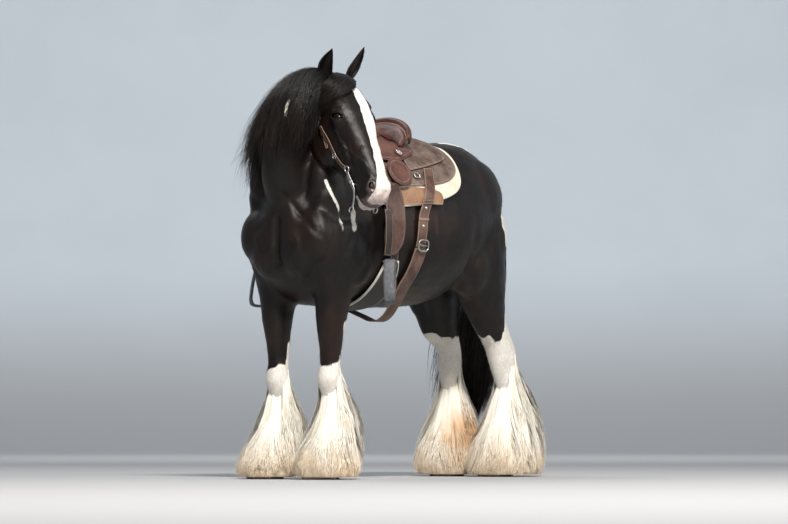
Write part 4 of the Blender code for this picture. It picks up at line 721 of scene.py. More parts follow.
# Wrinkles where the neck turns, one under the other
for k in range(6):
    shift, drop = 0.017 * k, 0.022 * k
    path = ((0.04 + shift, -0.84, 1.215), (0.12 + shift, -0.84, 1.150), (0.19 + shift / 2, -0.80, 1.125))
    body_lines.append(([(x, y, z - drop) for x, y, z in path], 0.0075, -0.0042))
VEINS = (
    ((-0.080, -0.821, 0.880), (-0.066, -0.830, 0.940), (-0.020, -0.830, 0.985)),
    ((-0.066, -0.830, 0.940), (-0.090, -0.820, 0.985), (-0.100, -0.810, 1.030)),
    ((0.110, -0.790, 0.870), (0.090, -0.825, 0.925), (0.118, -0.830, 0.985), (0.105, -0.830, 1.030)),
    ((0.180, -0.721, 0.840), (0.170, -0.765, 0.905), (0.200, -0.760, 0.960), (0.215, -0.750, 1.010)),
    ((-0.190, -0.720, 0.860), (-0.200, -0.730, 0.930), (-0.185, -0.750, 0.990)),
    ((0.300, -0.090, 1.130), (0.308, -0.093, 1.060), (0.308, -0.093, 0.990)),
)
body_lines += [(path, 0.0085, 0.0034) for path in VEINS]
pressed(skin, body_lines)


def ripple(points, size, seed=0.0):
    """Smooth noise from about -1 to 1 with features of that size."""
    return np.array([noise.noise(Vector(point) / size + Vector((seed, 0, 0))) for point in points])


# The fur is short, so the skin under it lies just inside the solids. Flesh is never quite even.
FUR_DEPTH = 0.0012
flesh = coordinates(skin.data)
swell = 0.0030 * ripple(flesh, 0.085, 9.0) + 0.0011 * ripple(flesh, 0.028, 3.0) - FUR_DEPTH
moved(skin, flesh + normals_of(skin.data) * swell[:, None])
skin_tree = tree_of(skin)
print("folds and tendons:", len(body_lines))

# %% [markdown]
# ## Mixing finishes
#
# A finish is built from a few kinds of node. One small class wraps a socket so that masks can be written
# as plain sums, and one method makes every other node.


# %% A small language for materials
def arithmetic(operation, turned_round=False):
    """A method that joins its socket and another value, or the two turned round, by one Math node."""

    def method(self, other):
        pair = (other, self) if turned_round else (self, other)
        return self.paint.math(operation, *pair)

    return method


class Wire:
    """A socket of a material. Arithmetic on it adds Math nodes."""

    def __init__(self, paint, socket):
        self.paint, self.socket = paint, socket

    __add__, __radd__ = arithmetic("ADD"), arithmetic("ADD", True)
    __sub__, __rsub__ = arithmetic("SUBTRACT"), arithmetic("SUBTRACT", True)
    __mul__, __rmul__ = arithmetic("MULTIPLY"), arithmetic("MULTIPLY", True)
    __truediv__ = arithmetic("DIVIDE")


class Paint:
    """A material being mixed."""

    def __init__(self, name, **sockets):
        self.material = bpy.data.materials.new(name)
        self.material.use_nodes = True
        self.tree = self.material.node_tree
        self.shader = self.tree.nodes["Principled BSDF"]
        self.set(**sockets)

    def feed(self, socket, value):
        if isinstance(value, Wire):
            self.tree.links.new(value.socket, socket)
        elif socket.type == "RGBA" and len(value) == 3:
            socket.default_value = (*value, 1)
        else:
            socket.default_value = value

    def node(self, kind, settings, values, out=0):
        """A node of this kind, its settings first, then the values or links of its sockets."""
        made = self.tree.nodes.new(kind)
        for key, value in settings.items():
            if key != "stops":
                setattr(made, key, value)
                continue
            stops = made.color_ramp.elements
            while len(stops) < len(value):
                stops.new(1)
            for stop, (place, colour) in zip(stops, value):
                stop.position, stop.color = place, (*colour, 1)
        for key, value in values.items():
            self.feed(made.inputs[key], value)
        return Wire(self, made.outputs[out])

    def math(self, operation, *values):
        return self.node("ShaderNodeMath", {"operation": operation}, dict(enumerate(values)))

    def vector(self, operation, *values, out=0):
        return self.node("ShaderNodeVectorMath", {"operation": operation}, dict(enumerate(values)), out)

    def mix(self, a, b, share):
        """From colour a at 0 to colour b at 1."""
        return self.node("ShaderNodeMix", {"data_type": "RGBA"}, {0: share, 6: a, 7: b}, 2)

    def away(self, value, low, high):
        """0 where the value is close to nought, 1 on either side of it."""
        return self.between(self.math("ABSOLUTE", value), low, high)

    def between(self, value, low, high):
        """0 below low, 1 above high, and smooth in between."""
        settings = {"interpolation_type": "SMOOTHSTEP"}
        return self.node("ShaderNodeMapRange", settings, {0: value, 1: low, 2: high, 3: 0.0, 4: 1.0})

    def kept(self, name, out=2):
        """A value that was stored on the mesh, out 2 for a number, 1 for a vector."""
        return self.node("ShaderNodeAttribute", {"attribute_name": name}, {}, out)

    def place(self):
        """The place of the point on the object."""
        return self.node("ShaderNodeTexCoord", {}, {}, 3)

    def height(self):
        """The height of the point over the floor."""
        return self.node("ShaderNodeSeparateXYZ", {}, {0: self.place()}, 2)

    def noise(self, scale, detail=3.0, rough=0.55, at=None, stretch=None, twist=0.0):
        at = self.place() if at is None else at
        if stretch is not None:
            at = self.vector("MULTIPLY", at, stretch)
        values = {"Vector": at, "Scale": scale, "Detail": detail, "Roughness": rough, "Distortion": twist}
        return self.node("ShaderNodeTexNoise", {}, values)

    def cells(self, scale):
        """Rounded cells, as of wool or petals."""
        values = {"Vector": self.place(), "Scale": scale}
        return self.node("ShaderNodeTexVoronoi", {"feature": "SMOOTH_F1"}, values)

    def ramp(self, value, *stops):
        return self.node("ShaderNodeValToRGB", {"stops": stops}, {0: value})

    def bump(self, height, depth, strength=1.0):
        values = {"Strength": strength, "Distance": depth, "Height": height}
        self.set(Normal=self.node("ShaderNodeBump", {}, values))

    def set(self, **sockets):
        for name, value in sockets.items():
            self.feed(self.shader.inputs[name.replace("_", " ")], value)

    def on(self, *objs):
        for obj in objs:
            obj.data.materials.clear()
            obj.data.materials.append(self.material)


# %% [markdown]
# ## Where the coat is white
#
# The markings are worked out once, from the place of a point on the horse: the blaze by its edges down
# the face, the white of the legs by height with a ragged edge. Skin and hair both ask the same function,
# so their colours agree.

# %% Markings
BLAZE = (  # height on the head, right edge, left edge
    (-0.060, 0.020, 0.024),
    (-0.090, 0.006, 0.048),
    (-0.137, 0.000, 0.062),
    (-0.340, -0.004, 0.062),
    (-0.420, -0.008, 0.060),
    (-0.480, -0.016, 0.062),
    (-0.530, -0.026, 0.068),
    (-0.560, -0.034, 0.072),
    (-0.600, -0.050, 0.080),
)
WHITE_PATHS = (  # reach of the white round a line over the body, then the points of the line
    (0.042, (0.050, 0.330, 1.500), (0.110, 0.470, 1.430), (0.156, 0.566, 1.320)),
    (0.050, (0.156, 0.566, 1.320), (0.190, 0.570, 1.220), (0.222, 0.548, 1.140), (0.226, 0.545, 1.060)),
    (-0.001, (0.188, -0.764, 1.320), (0.203, -0.750, 1.262)),
    (0.007, (0.205, -0.748, 1.255), (0.221, -0.730, 1.200), (0.233, -0.697, 1.140), (0.246, -0.690, 1.050)),
    (0.015, (0.241, -0.607, 1.125), (0.255, -0.615, 1.085), (0.262, -0.628, 1.060)),
)


def fade(values, low, high):
    """0 below low, 1 above high, and smooth in between."""
    share = np.clip((values - low) / (high - low), 0, 1)
    return share * share * (3 - 2 * share)


def in_head(points):
    """The points in the head's own frame."""
    carry = np.array(OUT_OF_PLACE)
    return points @ carry[:3, :3].T + carry[:3, 3]


def markings(points):
    """White hair, bare pink skin, the head's share and the legs' share at each point, from 0 to 1."""
    x, y, z = points.T
    fine, coarse = ripple(points, 0.035), ripple(points, 0.12, 5.0)
    hx, hy, hz = in_head(points).T
    on_head = fade(hy, -0.20, -0.10) * fade(-hz, -0.02, 0.05) * (np.hypot(hx, hy) < 0.32) * (hz > -0.70)
    on_head = on_head * fade(0.42 - np.hypot(hx, hy), 0.0, 0.1)
    up_the_face, right_edge, left_edge = np.array(BLAZE[::-1]).T
    right = np.interp(hz, up_the_face, right_edge) + 0.006 * fine
    left = np.interp(hz, up_the_face, left_edge) + 0.006 * fine
    blaze = fade(hx - right, -0.004, 0.004) * fade(left - hx, -0.004, 0.004) * fade(-hz, 0.082, 0.096)
    blaze = blaze * fade(hy, -0.030, 0.010) * (hz > -0.66)
    chin = fade(-hz, 0.535, 0.560) * fade(-hy, 0.040, 0.052)
    face = np.maximum(blaze, chin) * (on_head > 0.5)
    behind = (x - np.sign(x) * FORELEG_X) * 0.8 + (y - FORELEG_Y) * 0.6
    fore_edge = 0.482 + 0.012 * (x > 0) + (0.10 + 0.07 * (x > 0)) * fade(behind, 0.034, 0.050)
    hind_edge = np.where(x < 0, 0.640, 0.615 + 0.27 * fade(y, 0.530, 0.575))
    edge = np.where(y < 0, fore_edge, hind_edge)
    legs = fade(edge + 0.040 * coarse + 0.022 * fine - z, -0.015, 0.020) * (np.abs(x) < 0.40)
    white = np.maximum(face, legs)
    for reach, *path in WHITE_PATHS:
        near = distance_to(points, passed_through(path, 12))
        white = np.maximum(white, fade(reach * (1 + 0.5 * coarse + 0.3 * fine) - near, -0.008, 0.008))
    nostrils = np.linalg.norm(np.column_stack([np.abs(hx), hy, hz]) - np.array(NOSTRIL), axis=1)
    lips = fade(-hz + 0.012 * fine, 0.570, 0.600)
    round_nostrils = 0.8 * fade(0.032 + 0.006 * fine - nostrils, 0.0, 0.014)
    pink = np.maximum(lips, round_nostrils) * (on_head > 0.5) * (0.25 + 0.75 * face)
    return white, pink, on_head, fade(0.62 - z, -0.08, 0.12)


def keep(obj, name, values):
    """Stores numbers or vectors on the mesh, one for each vertex."""
    values = np.asarray(values, float)
    kind, key = ("FLOAT", "value") if values.ndim == 1 else ("FLOAT_VECTOR", "vector")
    layer = obj.data.attributes.new(name, kind, "POINT")
    layer.data.foreach_set(key, np.ascontiguousarray(values).ravel())


places = coordinates(skin.data)
white, pink, on_head, on_leg = markings(places)
for name, values in (("white", white), ("pink", pink), ("on_head", on_head), ("on_leg", on_leg)):
    keep(skin, name, values)
keep(skin, "face", in_head(places))
print("white covers", round(float(white.mean()) * 100), "% of the skin's points")

# %% [markdown]
# ## The coat's finish
#
# A black coat in the sun is not black: the hair shafts glint, and the tips are burnt brown. Long thin
# noise laid down the run of the hair gives both the grain of the colour and the bump, and the brown
# streaks in it are partly burnt tips and partly painted sheen. On the face it runs down the nose, on
# the legs straight down, and on the trunk back and down, so three grains are blended by the shares
# kept on the mesh.

# %% Coat finish
coat = Paint("black_and_white_coat", IOR=1.45)


def hair_grain(paint, scale):
    """Noise drawn out along the hair: back and down on the trunk, down the legs, down the face."""
    lie = {"Vector": paint.place(), "Rotation": (math.radians(-35), 0, 0), "Scale": (1, 0.13, 1)}
    trunk = paint.node("ShaderNodeMapping", {}, lie)
    leg_run = paint.vector("MULTIPLY", paint.place(), (1, 1, 0.13))
    face_run = paint.vector("MULTIPLY", paint.kept("face", 1), (1, 1, 0.13))
    grains = [paint.noise(scale, 4.0, 0.6, run) for run in (trunk, leg_run, face_run)]
    blended = grains[0] + (grains[1] - grains[0]) * paint.kept("on_leg")
    return blended + (grains[2] - blended) * paint.kept("on_head")


grain = hair_grain(coat, 420)
broad = coat.noise(5, 4.0)
# The brown at the top of the grain's ramp is partly sun-burnt hair tips and partly painted sheen.
jet, warm_black, burnt_tip_and_sheen = (0.0024, 0.0019, 0.0018), (0.0085, 0.0058, 0.0048), (0.030, 0.018, 0.012)
dark = coat.ramp(grain, (0.30, jet), (0.62, warm_black), (0.85, burnt_tip_and_sheen))
sunburnt = coat.mix(dark, (0.026, 0.011, 0.0065), coat.between(broad, 0.46, 0.72) * 0.60)
pale = coat.ramp(grain, (0.28, (0.50, 0.46, 0.40)), (0.55, (0.76, 0.73, 0.68)), (0.80, (0.88, 0.86, 0.82)))
dusty = coat.mix(pale, (0.52, 0.43, 0.32), coat.between(coat.noise(14, 5.0), 0.48, 0.75) * 0.5)
ragged = coat.between(coat.kept("white") + (grain - 0.5) * 0.7, 0.35, 0.65)
haired = coat.mix(sunburnt, dusty, ragged)
mottle = coat.between(coat.noise(60, 5.0, 0.6, twist=0.6), 0.47, 0.60)
bare = coat.mix((0.56, 0.42, 0.39), (0.30, 0.235, 0.22), mottle)
coat.set(Base_Color=coat.mix(haired, bare, coat.kept("pink") * 0.8))
coat.set(Roughness=0.29 + 0.14 * grain + 0.26 * coat.kept("white"), Specular_IOR_Level=0.33)
pores = coat.noise(900, 2.0)
coat.bump(grain * 0.7 + broad * 0.8 + pores * 0.12, 0.0022, 0.75)
coat.on(skin)
skin.data.shade_smooth()


def finished(obj, name, slot, *nodes):
    """Sets a piece on the frame: its name and place and the solids it stands for. The slot is not used."""
    obj.name = name
    obj.data.name = name
    obj.data.transform(Matrix.Translation(SHIFT))
    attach(obj, "root")
    if nodes:
        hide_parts(*nodes)


LIMB_PARTS = ("forearm", "lower_foreleg", "gaskin", "lower_hindleg", "ear")
LIMBS = [f"{part}_{word}" for part in LIMB_PARTS for _, word in SIDES]
finished(skin, "horse_skin", "black_coat", "torso", "neck", "head", *LIMBS)
print("skin has", len(skin.data.polygons), "faces")

# %% [markdown]
# ## Laying leather on the back
#
# Saddle leather is cut flat, wetted and pressed over the tree, so every sheet is laid over the trunk
# here. A table gives the trunk's reach from its axis by place and angle. A sheet is a fine grid over it,
# with a top, an underside and a rounded rim, and each point keeps how far it lies across, along and from
# the nearest edge. Tooling, stitches and wear are drawn from those measures later.

# %% The trunk as a table
AXIS_HEIGHT, WIDEST_REACH = 1.05, 0.46
FIRST_Y, LAST_Y, STEP_Y, STEP_TURN, FINER = -0.62, 0.281, 0.02, 5, 4


def smoothed(table, rounds):
    """The table with its steps evened out, round the trunk and along it."""
    for _ in range(rounds):
        padded = np.pad(table, ((1, 1), (0, 0)), mode="edge")
        table = (padded[:-2] + 2 * padded[1:-1] + padded[2:]) / 4
        table = (np.roll(table, 1, 1) + 2 * table + np.roll(table, -1, 1)) / 4
    return table


def trunk_table(tree):
    """The trunk's distance from its axis by y and by angle from straight up, in fine even steps."""
    ys, turns = np.arange(FIRST_Y, LAST_Y, STEP_Y), np.arange(-180, 180, STEP_TURN)
    reach = np.zeros((len(ys), len(turns)))
    for i, y in enumerate(ys):
        for j, degrees in enumerate(turns):
            out = Vector((math.sin(math.radians(degrees)), 0, math.cos(math.radians(degrees))))
            found = tree.ray_cast(Vector((0, y, AXIS_HEIGHT)), out)
            reach[i, j] = min(found[3] if found[0] else WIDEST_REACH, WIDEST_REACH)
    reach = np.maximum(smoothed(reach, 3), reach) + 0.001
    rows = np.arange(0, len(ys) - 1 + 1 / FINER, 1 / FINER)
    columns = np.arange(0, len(turns), 1 / FINER)
    between_rows = np.array([np.interp(rows, np.arange(len(ys)), one_turn) for one_turn in reach.T]).T
    wrapped = np.hstack([between_rows, between_rows[:, :1]])
    fine = np.array([np.interp(columns, np.arange(len(turns) + 1), row) for row in wrapped])
    return smoothed(fine, 8)


TRUNK = trunk_table(rough_tree)


def on_trunk(y, degrees, height):
    """Points over the trunk's skin at y and at an angle from straight up, plus to the left, by height."""
    y, degrees, height = np.broadcast_arrays(*(np.asarray(value, float) for value in (y, degrees, height)))
    i = np.clip((y - FIRST_Y) / STEP_Y * FINER, 0, TRUNK.shape[0] - 1.001)
    j = (degrees + 180) % 360 / STEP_TURN * FINER
    a, b = i.astype(int), j.astype(int) % TRUNK.shape[1]
    u, v, after = i - a, j - j.astype(int), (b + 1) % TRUNK.shape[1]
    near = TRUNK[a, b] * (1 - v) + TRUNK[a, after] * v
    far = TRUNK[a + 1, b] * (1 - v) + TRUNK[a + 1, after] * v
    reach = near * (1 - u) + far * u + height
    turn = np.radians(degrees)
    return np.stack([reach * np.sin(turn), y, AXIS_HEIGHT + reach * np.cos(turn)], axis=-1)


print("trunk table of", TRUNK.shape)


# %% Sheets
def lengths(grid, axis):
    """How far each point of a grid lies from the grid's first row along an axis."""
    steps = np.linalg.norm(np.diff(grid, axis=axis), axis=2)
    start = np.zeros((1, grid.shape[1]) if axis == 0 else (grid.shape[0], 1))
    return np.concatenate([start, np.cumsum(steps, axis=axis)], axis=axis)


def measures(grid):
    """Across, along, distance from the nearest edge and place along that edge, in metres."""
    across, along = lengths(grid, 0), lengths(grid, 1)
    to_side = np.minimum(across, across[-1:] - across)
    to_end = np.minimum(along, along[:, -1:] - along)
    return across, along, np.minimum(to_side, to_end), np.where(to_side < to_end, along, across)


def plate(name, top, bottom):
    """A closed sheet between two grids of points, its measures kept on it."""
    rows, columns = top.shape[:2]
    at = np.arange(rows * columns).reshape(rows, columns)
    quads = np.stack([at[:-1, :-1], at[1:, :-1], at[1:, 1:], at[:-1, 1:]], axis=-1).reshape(-1, 4)
    rim = np.concatenate([at[:, 0], at[-1, 1:], at[-2::-1, -1], at[0, -2:0:-1]])
    sides = np.stack([rim, np.roll(rim, -1), np.roll(rim, -1) + at.size, rim + at.size], axis=-1)
    faces = np.concatenate([quads, quads[:, ::-1] + at.size, sides[:, ::-1]])
    bm = bmesh.new()
    verts = [bm.verts.new(point) for point in np.concatenate([top.reshape(-1, 3), bottom.reshape(-1, 3)])]
    for face in faces.tolist():
        bm.faces.new([verts[i] for i in face])
    obj = mesh_object(name, bm)
    for key, values in zip(("across", "along", "edge", "run"), measures(top)):
        keep(obj, key, np.tile(values.ravel(), 2))
    obj.data.shade_smooth()
    return obj


def spaced(count, rim):
    """Even steps from 0 to 1 with closer ones at both ends."""
    ends = rim * np.array([0, 0.12, 0.4])
    return np.concatenate([ends, np.linspace(rim, 1 - rim, count), 1 - ends[::-1]])


def asked(value, u, v):
    """A height, which is a number or goes by u and v."""
    return value(u, v) if callable(value) else value


def sheet(name, place, under, over, across=20, along=40, round_off=0.004, rims=(0.03, 0.012)):
    """Leather over the trunk. place gives y and angle for u and v, under and over its two heights."""
    u, v = np.meshgrid(spaced(across, rims[0]), spaced(along, rims[1]), indexing="ij")
    y, degrees = place(u, v)
    low, high = asked(under, u, v), asked(over, u, v)
    edge = measures(on_trunk(y, degrees, high))[2]
    full = 0.15 + 0.85 * np.sqrt(1 - (1 - np.clip(edge / round_off, 0, 1)) ** 2)
    middle, half = (low + high) / 2, (high - low) / 2 * full
    return plate(name, on_trunk(y, degrees, middle + half), on_trunk(y, degrees, middle - half))


def column(table, place, which):
    """A column of a table read at a place of its first one, smoothly."""
    rows = passed_through(table, 12 * len(table))
    return np.interp(place, rows[:, 0], rows[:, which])


def over_back(name, edges, low, high, across, along, bunch=1.0, settle=0.0, **how):
    """A sheet over the back from edge to edge, its rows closer together at the rear if bunch is over 1."""
    first, last = edges[0][0], edges[-1][0]

    def place(u, v):
        y = last - (last - first) * (1 - v) ** bunch
        return y, (2 * u - 1) * column(edges, y, 1)

    return sheet(name, place, low, lambda u, v: high - settle * v**4, across, along, **how)


def band(name, side, stations, low, high, across=8, along=40, **how):
    """A strap down one side through stations of angle, y and half width. low and high go by angle."""
    first, last = stations[0][0], stations[-1][0]

    def turned(v):
        return first + (last - first) * v

    def place(u, v):
        degrees = turned(v)
        return column(stations, degrees, 1) + (2 * u - 1) * column(stations, degrees, 2), side * degrees

    def height(rows):
        angles, heights = zip(*rows)
        return lambda u, v: np.interp(turned(v), angles, heights)

    return sheet(name, place, height(low), height(high), across, along, **how)


# %% Turned, swept and laid pieces
def turned_piece(name, spot, normal, profile, count=40, scallops=0, ripple=0.0):
    """A round piece with its foot at spot, its profile given as radius and height out along the normal."""
    facing = Vector(normal).to_track_quat("Z", "Y").to_matrix()
    rings = []
    for radius, height in profile:
        ring = []
        for k in range(count):
            turn = math.tau * k / count
            reach = radius * (1 + ripple * math.cos(scallops * turn))
            point = Vector((reach * math.cos(turn), reach * math.sin(turn), height))
            ring.append(Vector(spot) + facing @ point)
        rings.append(ring)
    obj = loft(name, rings)
    obj.data.shade_smooth()
    return obj


def swept(name, path, shape, normals, closed=False):
    """A bar of one cross-section along a path, its out side to the normals. shape gives across and out."""
    path, rings = [Vector(point) for point in path], []
    for i, point in enumerate(path):
        before = path[i - 1] if closed or i else path[0]
        after = path[(i + 1) % len(path)] if closed or i + 1 < len(path) else path[-1]
        along = (after - before).normalized()
        side = along.cross(Vector(normals[i])).normalized()
        out = side.cross(along)
        rings.append([point + side * a + out * b for a, b in shape])
    obj = loft(name, rings, closed)
    obj.data.shade_smooth()
    return obj


def round_bar(radius, sides=12):
    """The cross-section of a round bar."""
    return [(radius * c, radius * s) for c, s in circle(sides)]


def level_frame(normal):
    """The ways across and up in the plane that faces the normal."""
    normal = Vector(normal).normalized()
    up = Vector((0, 0, 1))
    up = (up - normal * up.dot(normal)).normalized()
    return up.cross(normal), up, normal


def metal_ring(name, centre, normal, radius, wire, stretch=1.0, corner=1.0, count=36, sides=12, dee=False):
    """A ring of wire, with a low corner a rounded square, with a flat bar for its foot if it is a dee."""
    side, up, normal = level_frame(normal)
    path = []
    for c, s in circle(count):
        a, b = edged(c, corner), edged(s, corner)
        if dee:
            b = max(b, -0.35)
        path.append(Vector(centre) + side * radius * a + up * radius * stretch * b)
    return swept(name, path, round_bar(wire, sides), [normal] * count, closed=True)


def shaded(piece, sharpest):
    """Smooth shading that keeps edges sharper than an angle in degrees."""
    piece.data.shade_smooth()
    piece.data.set_sharp_from_angle(angle=math.radians(sharpest))


def laid(name, path, half_width, low, high, count=44, across=7):
    """A strap that lies on the skin along a path."""
    line = passed_through(path, count)
    top, bottom = [], []
    for i, point in enumerate(line):
        along = Vector(line[min(i + 1, count - 1)]) - Vector(line[max(i - 1, 0)])
        normal = skin_tree.find_nearest(Vector(point))[1]
        side = normal.cross(along).normalized()
        over, under = [], []
        for share in spaced(across, 0.12) * 2 - 1:
            spot = skin_tree.find_nearest(Vector(point) + side * half_width * share)[0]
            height = (spot - Vector(point)).dot(normal)
            flat = Vector(point) + side * half_width * share + normal * height
            full = 0.3 + 0.7 * math.sqrt(max(0.0, 1 - abs(share) ** 8))
            middle, half = (low + high) / 2, (high - low) / 2
            over.append(flat + normal * (middle + half * full))
            under.append(flat + normal * (middle - half * full))
        top.append(over)
        bottom.append(under)
    return plate(name, np.array(top).transpose(1, 0, 2), np.array(bottom).transpose(1, 0, 2))


# %% [markdown]
# ## The saddle's leathers
#
# Skirts lie on the pad, the rear jockeys on the skirts, the ground seat on both, then the seat with its
# cantle. They are cut to the same outlines as the solids. The jockeys stand up off the skirts behind the
# cantle, where the tree's bars carry them.

# %% Skirts, jockeys and ground seat
# Outlines of the sheets: y and the angle of the edge, in degrees down from straight up
PAD = (
    (-0.500, 57), (-0.460, 64), (-0.400, 68), (-0.330, 69), (-0.186, 67.5), (-0.070, 64),
    (0.010, 60.5), (0.072, 56), (0.115, 50), (0.140, 43), (0.165, 31), (0.180, 18),
)
SKIRT = (
    (-0.470, 40), (-0.440, 49), (-0.360, 53), (-0.162, 53.5), (-0.041, 51.5),
    (0.030, 48.5), (0.088, 44), (0.120, 39), (0.138, 31), (0.155, 16),
)
REAR_JOCKEY = (
    (-0.230, 43), (-0.113, 40), (0.005, 35.5), (0.070, 32.5), (0.100, 29), (0.120, 21), (0.138, 9),
)
JOCKEY_HEIGHT, JOCKEY_LOW, JOCKEY_THICK = 0.0392, 0.0357, 0.005
JOCKEY_RISE = ((-0.046, 0.000), (0.000, 0.040), (0.050, 0.038), (0.110, 0.020), (0.138, 0.002))
SEAT_BASE = (
    (-0.460, 26), (-0.420, 33), (-0.330, 36.5), (-0.250, 36), (-0.180, 32), (-0.120, 28), (-0.070, 20),
)

skirt = over_back("skirt", SKIRT, 0.0262, 0.0300, 90, 60, bunch=1.5, settle=0.0022, rims=(0.008, 0.012))
ground_seat = over_back("ground_seat", SEAT_BASE, 0.0436, 0.0474, 50, 36, rims=(0.012, 0.02))


def rear_jockey(side, word):
    """A leaf from one degree off the ridge down to its edge, raised along the ridge."""

    def ahead(v):
        return REAR_JOCKEY[0][0] + (REAR_JOCKEY[-1][0] - REAR_JOCKEY[0][0]) * v

    def place(u, v):
        return ahead(v), side * (1.0 + (column(REAR_JOCKEY, ahead(v), 1) - 1.0) * u)

    def top(u, v):
        return JOCKEY_HEIGHT + np.interp(ahead(v), *zip(*JOCKEY_RISE)) * (1 - u * u)

    def under(u, v):
        return np.maximum(JOCKEY_LOW, top(u, v) - JOCKEY_THICK)

    return sheet(f"jockey_{word}", place, under, top, 36, 60, rims=(0.02, 0.012))


jockeys = {word: rear_jockey(side, word) for side, word in SIDES}
print("skirt", len(skirt.data.polygons), "faces, jockeys", len(jockeys["left"].data.polygons), "each")

# %% [markdown]
# ## Cantle, fork and horn
#
# The cantle is a board that curves round the rider's seat. Its face is dished, and a roll of leather
# binds its rim, with a line of pale thread under the roll. One smooth cross-section is carried along the
# curve. The fork is made the same way, and the horn on it is turned.

# %% Cantle
CANTLE_BOW, CANTLE_ANGLE, CANTLE_FOOT = 0.075, 24, 0.0505
CANTLE_RINGS, FORK_RINGS, OUTLINE_STEPS = 81, 49, 5
# The roll is bound between the fourth and the ninth point of the cantle's outline
ROLL_EDGES = (3 * OUTLINE_STEPS, 8 * OUTLINE_STEPS)
FORK_ANGLE, FORK_FOOT = 24, 0.0560
HORN = (  # radius and height
    (0.026, 0.000), (0.021, 0.020), (0.018, 0.040), (0.018, 0.060), (0.030, 0.066),
    (0.041, 0.069), (0.0445, 0.074), (0.0445, 0.079), (0.041, 0.083), (0.030, 0.0855),
)


def closed_through(rows, count):
    """The rows of a closed outline passed through smoothly."""
    rows = [*rows[-2:], *rows, *rows[:3]]
    fine = passed_through(rows, (len(rows) - 1) * count + 1)
    return fine[2 * count : -2 * count - 1]


def cantle_profile(rise):
    """y and height of the cantle's cross-section, from its foot up the dished face and over the roll."""
    return (
        (-0.128, CANTLE_FOOT),
        (-0.086, CANTLE_FOOT),
        (-0.072, CANTLE_FOOT + rise * 0.42),
        (-0.060, rise - 0.024),
        (-0.047, rise - 0.012),
        (-0.050, rise + 0.003),
        (-0.066, rise + 0.008),
        (-0.081, rise - 0.001),
        (-0.082, rise - 0.018),
        (-0.103, CANTLE_FOOT + rise * 0.35),
    )


def fork_profile(rise):
    """y and height of the fork's cross-section."""
    return (
        (-0.455, FORK_FOOT),
        (-0.427, FORK_FOOT),
        (-0.400, FORK_FOOT),
        (-0.372, FORK_FOOT),
        (-0.380, rise * 0.8),
        (-0.400, rise),
        (-0.430, rise),
        (-0.452, rise * 0.8),
    )


def cantle():
    rings = []
    for k in range(CANTLE_RINGS):
        w = -1 + 2 * k / (CANTLE_RINGS - 1)
        rise = 0.088 + 0.062 * max(0.0, math.cos(w * math.pi / 2)) ** 0.5
        outline = closed_through(cantle_profile(rise), OUTLINE_STEPS)
        rings.append(on_trunk(outline[:, 0] - CANTLE_BOW * abs(w) ** 2.2, CANTLE_ANGLE * w, outline[:, 1]))
    rings = np.array(rings)
    obj = loft("cantle", rings)
    across, along = lengths(rings, 1), lengths(rings, 0)
    edge = np.min([np.abs(across - across[:, [place]]) for place in ROLL_EDGES], axis=0)
    for key, values in (("across", across), ("along", along), ("edge", edge), ("run", along)):
        keep(obj, key, values.ravel())
    obj.data.shade_smooth()
    return obj


def fork():
    rings = []
    for k in range(FORK_RINGS):
        w = -1 + 2 * k / (FORK_RINGS - 1)
        rise = 0.074 + 0.034 * max(0.0, math.cos(w * math.pi / 2)) ** 0.6
        outline = closed_through(fork_profile(rise), 4)
        rings.append(on_trunk(outline[:, 0], FORK_ANGLE * w, outline[:, 1]))
    lean = Vector((0, -0.22, 1)).normalized()
    horn = turned_piece("horn", on_trunk(-0.418, 0, 0.085), lean, HORN)
    return joined("fork", [loft("fork", rings), horn])


back_rest = cantle()
swells = fork()
shaded(swells, 60)
print("cantle", len(back_rest.data.polygons), "faces")

# %% [markdown]
# ## The padded seat
#
# The seat is suede over foam, fullest in the middle and pulled down at its seams. The flat cushion is
# given even faces and then blown up a little by a cloth simulation, which makes the soft crown and the
# small pulls at the edge.

# %% Inflating a soft piece
SEAT_LINE = (  # y and height along the middle of the seat
    (-0.355, 0.082), (-0.300, 0.060), (-0.250, 0.052), (-0.200, 0.056), (-0.165, 0.068), (-0.138, 0.085),
)
SEAT_FRONT, SEAT_LENGTH, SEAT_ANGLE = -0.358, 0.217, 20
SEAT_LOW, SEAT_RIM, SEAT_ROUND = 0.0525, 0.0560, 0.0570


def inflated(piece, most, voxel=None, pressure=4.0, frames=16):
    """Blows a piece up as cloth, no point further than most. A voxel size gives it even faces first."""
    soft = copied(piece)
    if voxel:
        remesh = soft.modifiers.new("even", "REMESH")
        remesh.mode, remesh.voxel_size = "VOXEL", voxel
        evaluated(soft)
    rest = coordinates(soft.data)
    step = soft.modifiers.new("cloth", "CLOTH")
    step.settings.use_pressure = True
    step.settings.uniform_pressure_force = pressure
    step.settings.effector_weights.gravity = 0
    step.settings.quality = 3
    step.collision_settings.use_collision = False
    scene = bpy.context.scene
    for number in range(1, frames + 1):
        scene.frame_set(number)
    puffed = coordinates(evaluated(soft).data)
    scene.frame_set(1)
    travel = puffed - rest
    reach = np.linalg.norm(travel, axis=1, keepdims=True)
    moved(soft, rest + travel * np.minimum(1, most / np.maximum(reach, 1e-9)))
    if voxel:
        tree, mesh = tree_of(piece), piece.data
        nearest = [tree.find_nearest(Vector(point))[2] for point in rest]
        corner = np.array([mesh.polygons[face].vertices[0] for face in nearest])
        for name in ("across", "along", "edge", "run"):
            stored = np.empty(len(mesh.vertices))
            mesh.attributes[name].data.foreach_get("value", stored)
            keep(soft, name, stored[corner])
    soft.modifiers.new("finer", "SUBSURF").levels = 1
    evaluated(soft)
    bpy.data.objects.remove(piece)
    soft.data.shade_smooth()
    print(soft.name, "blown up by up to", round(float(reach.max()) * 1000, 1), "mm")
    return soft


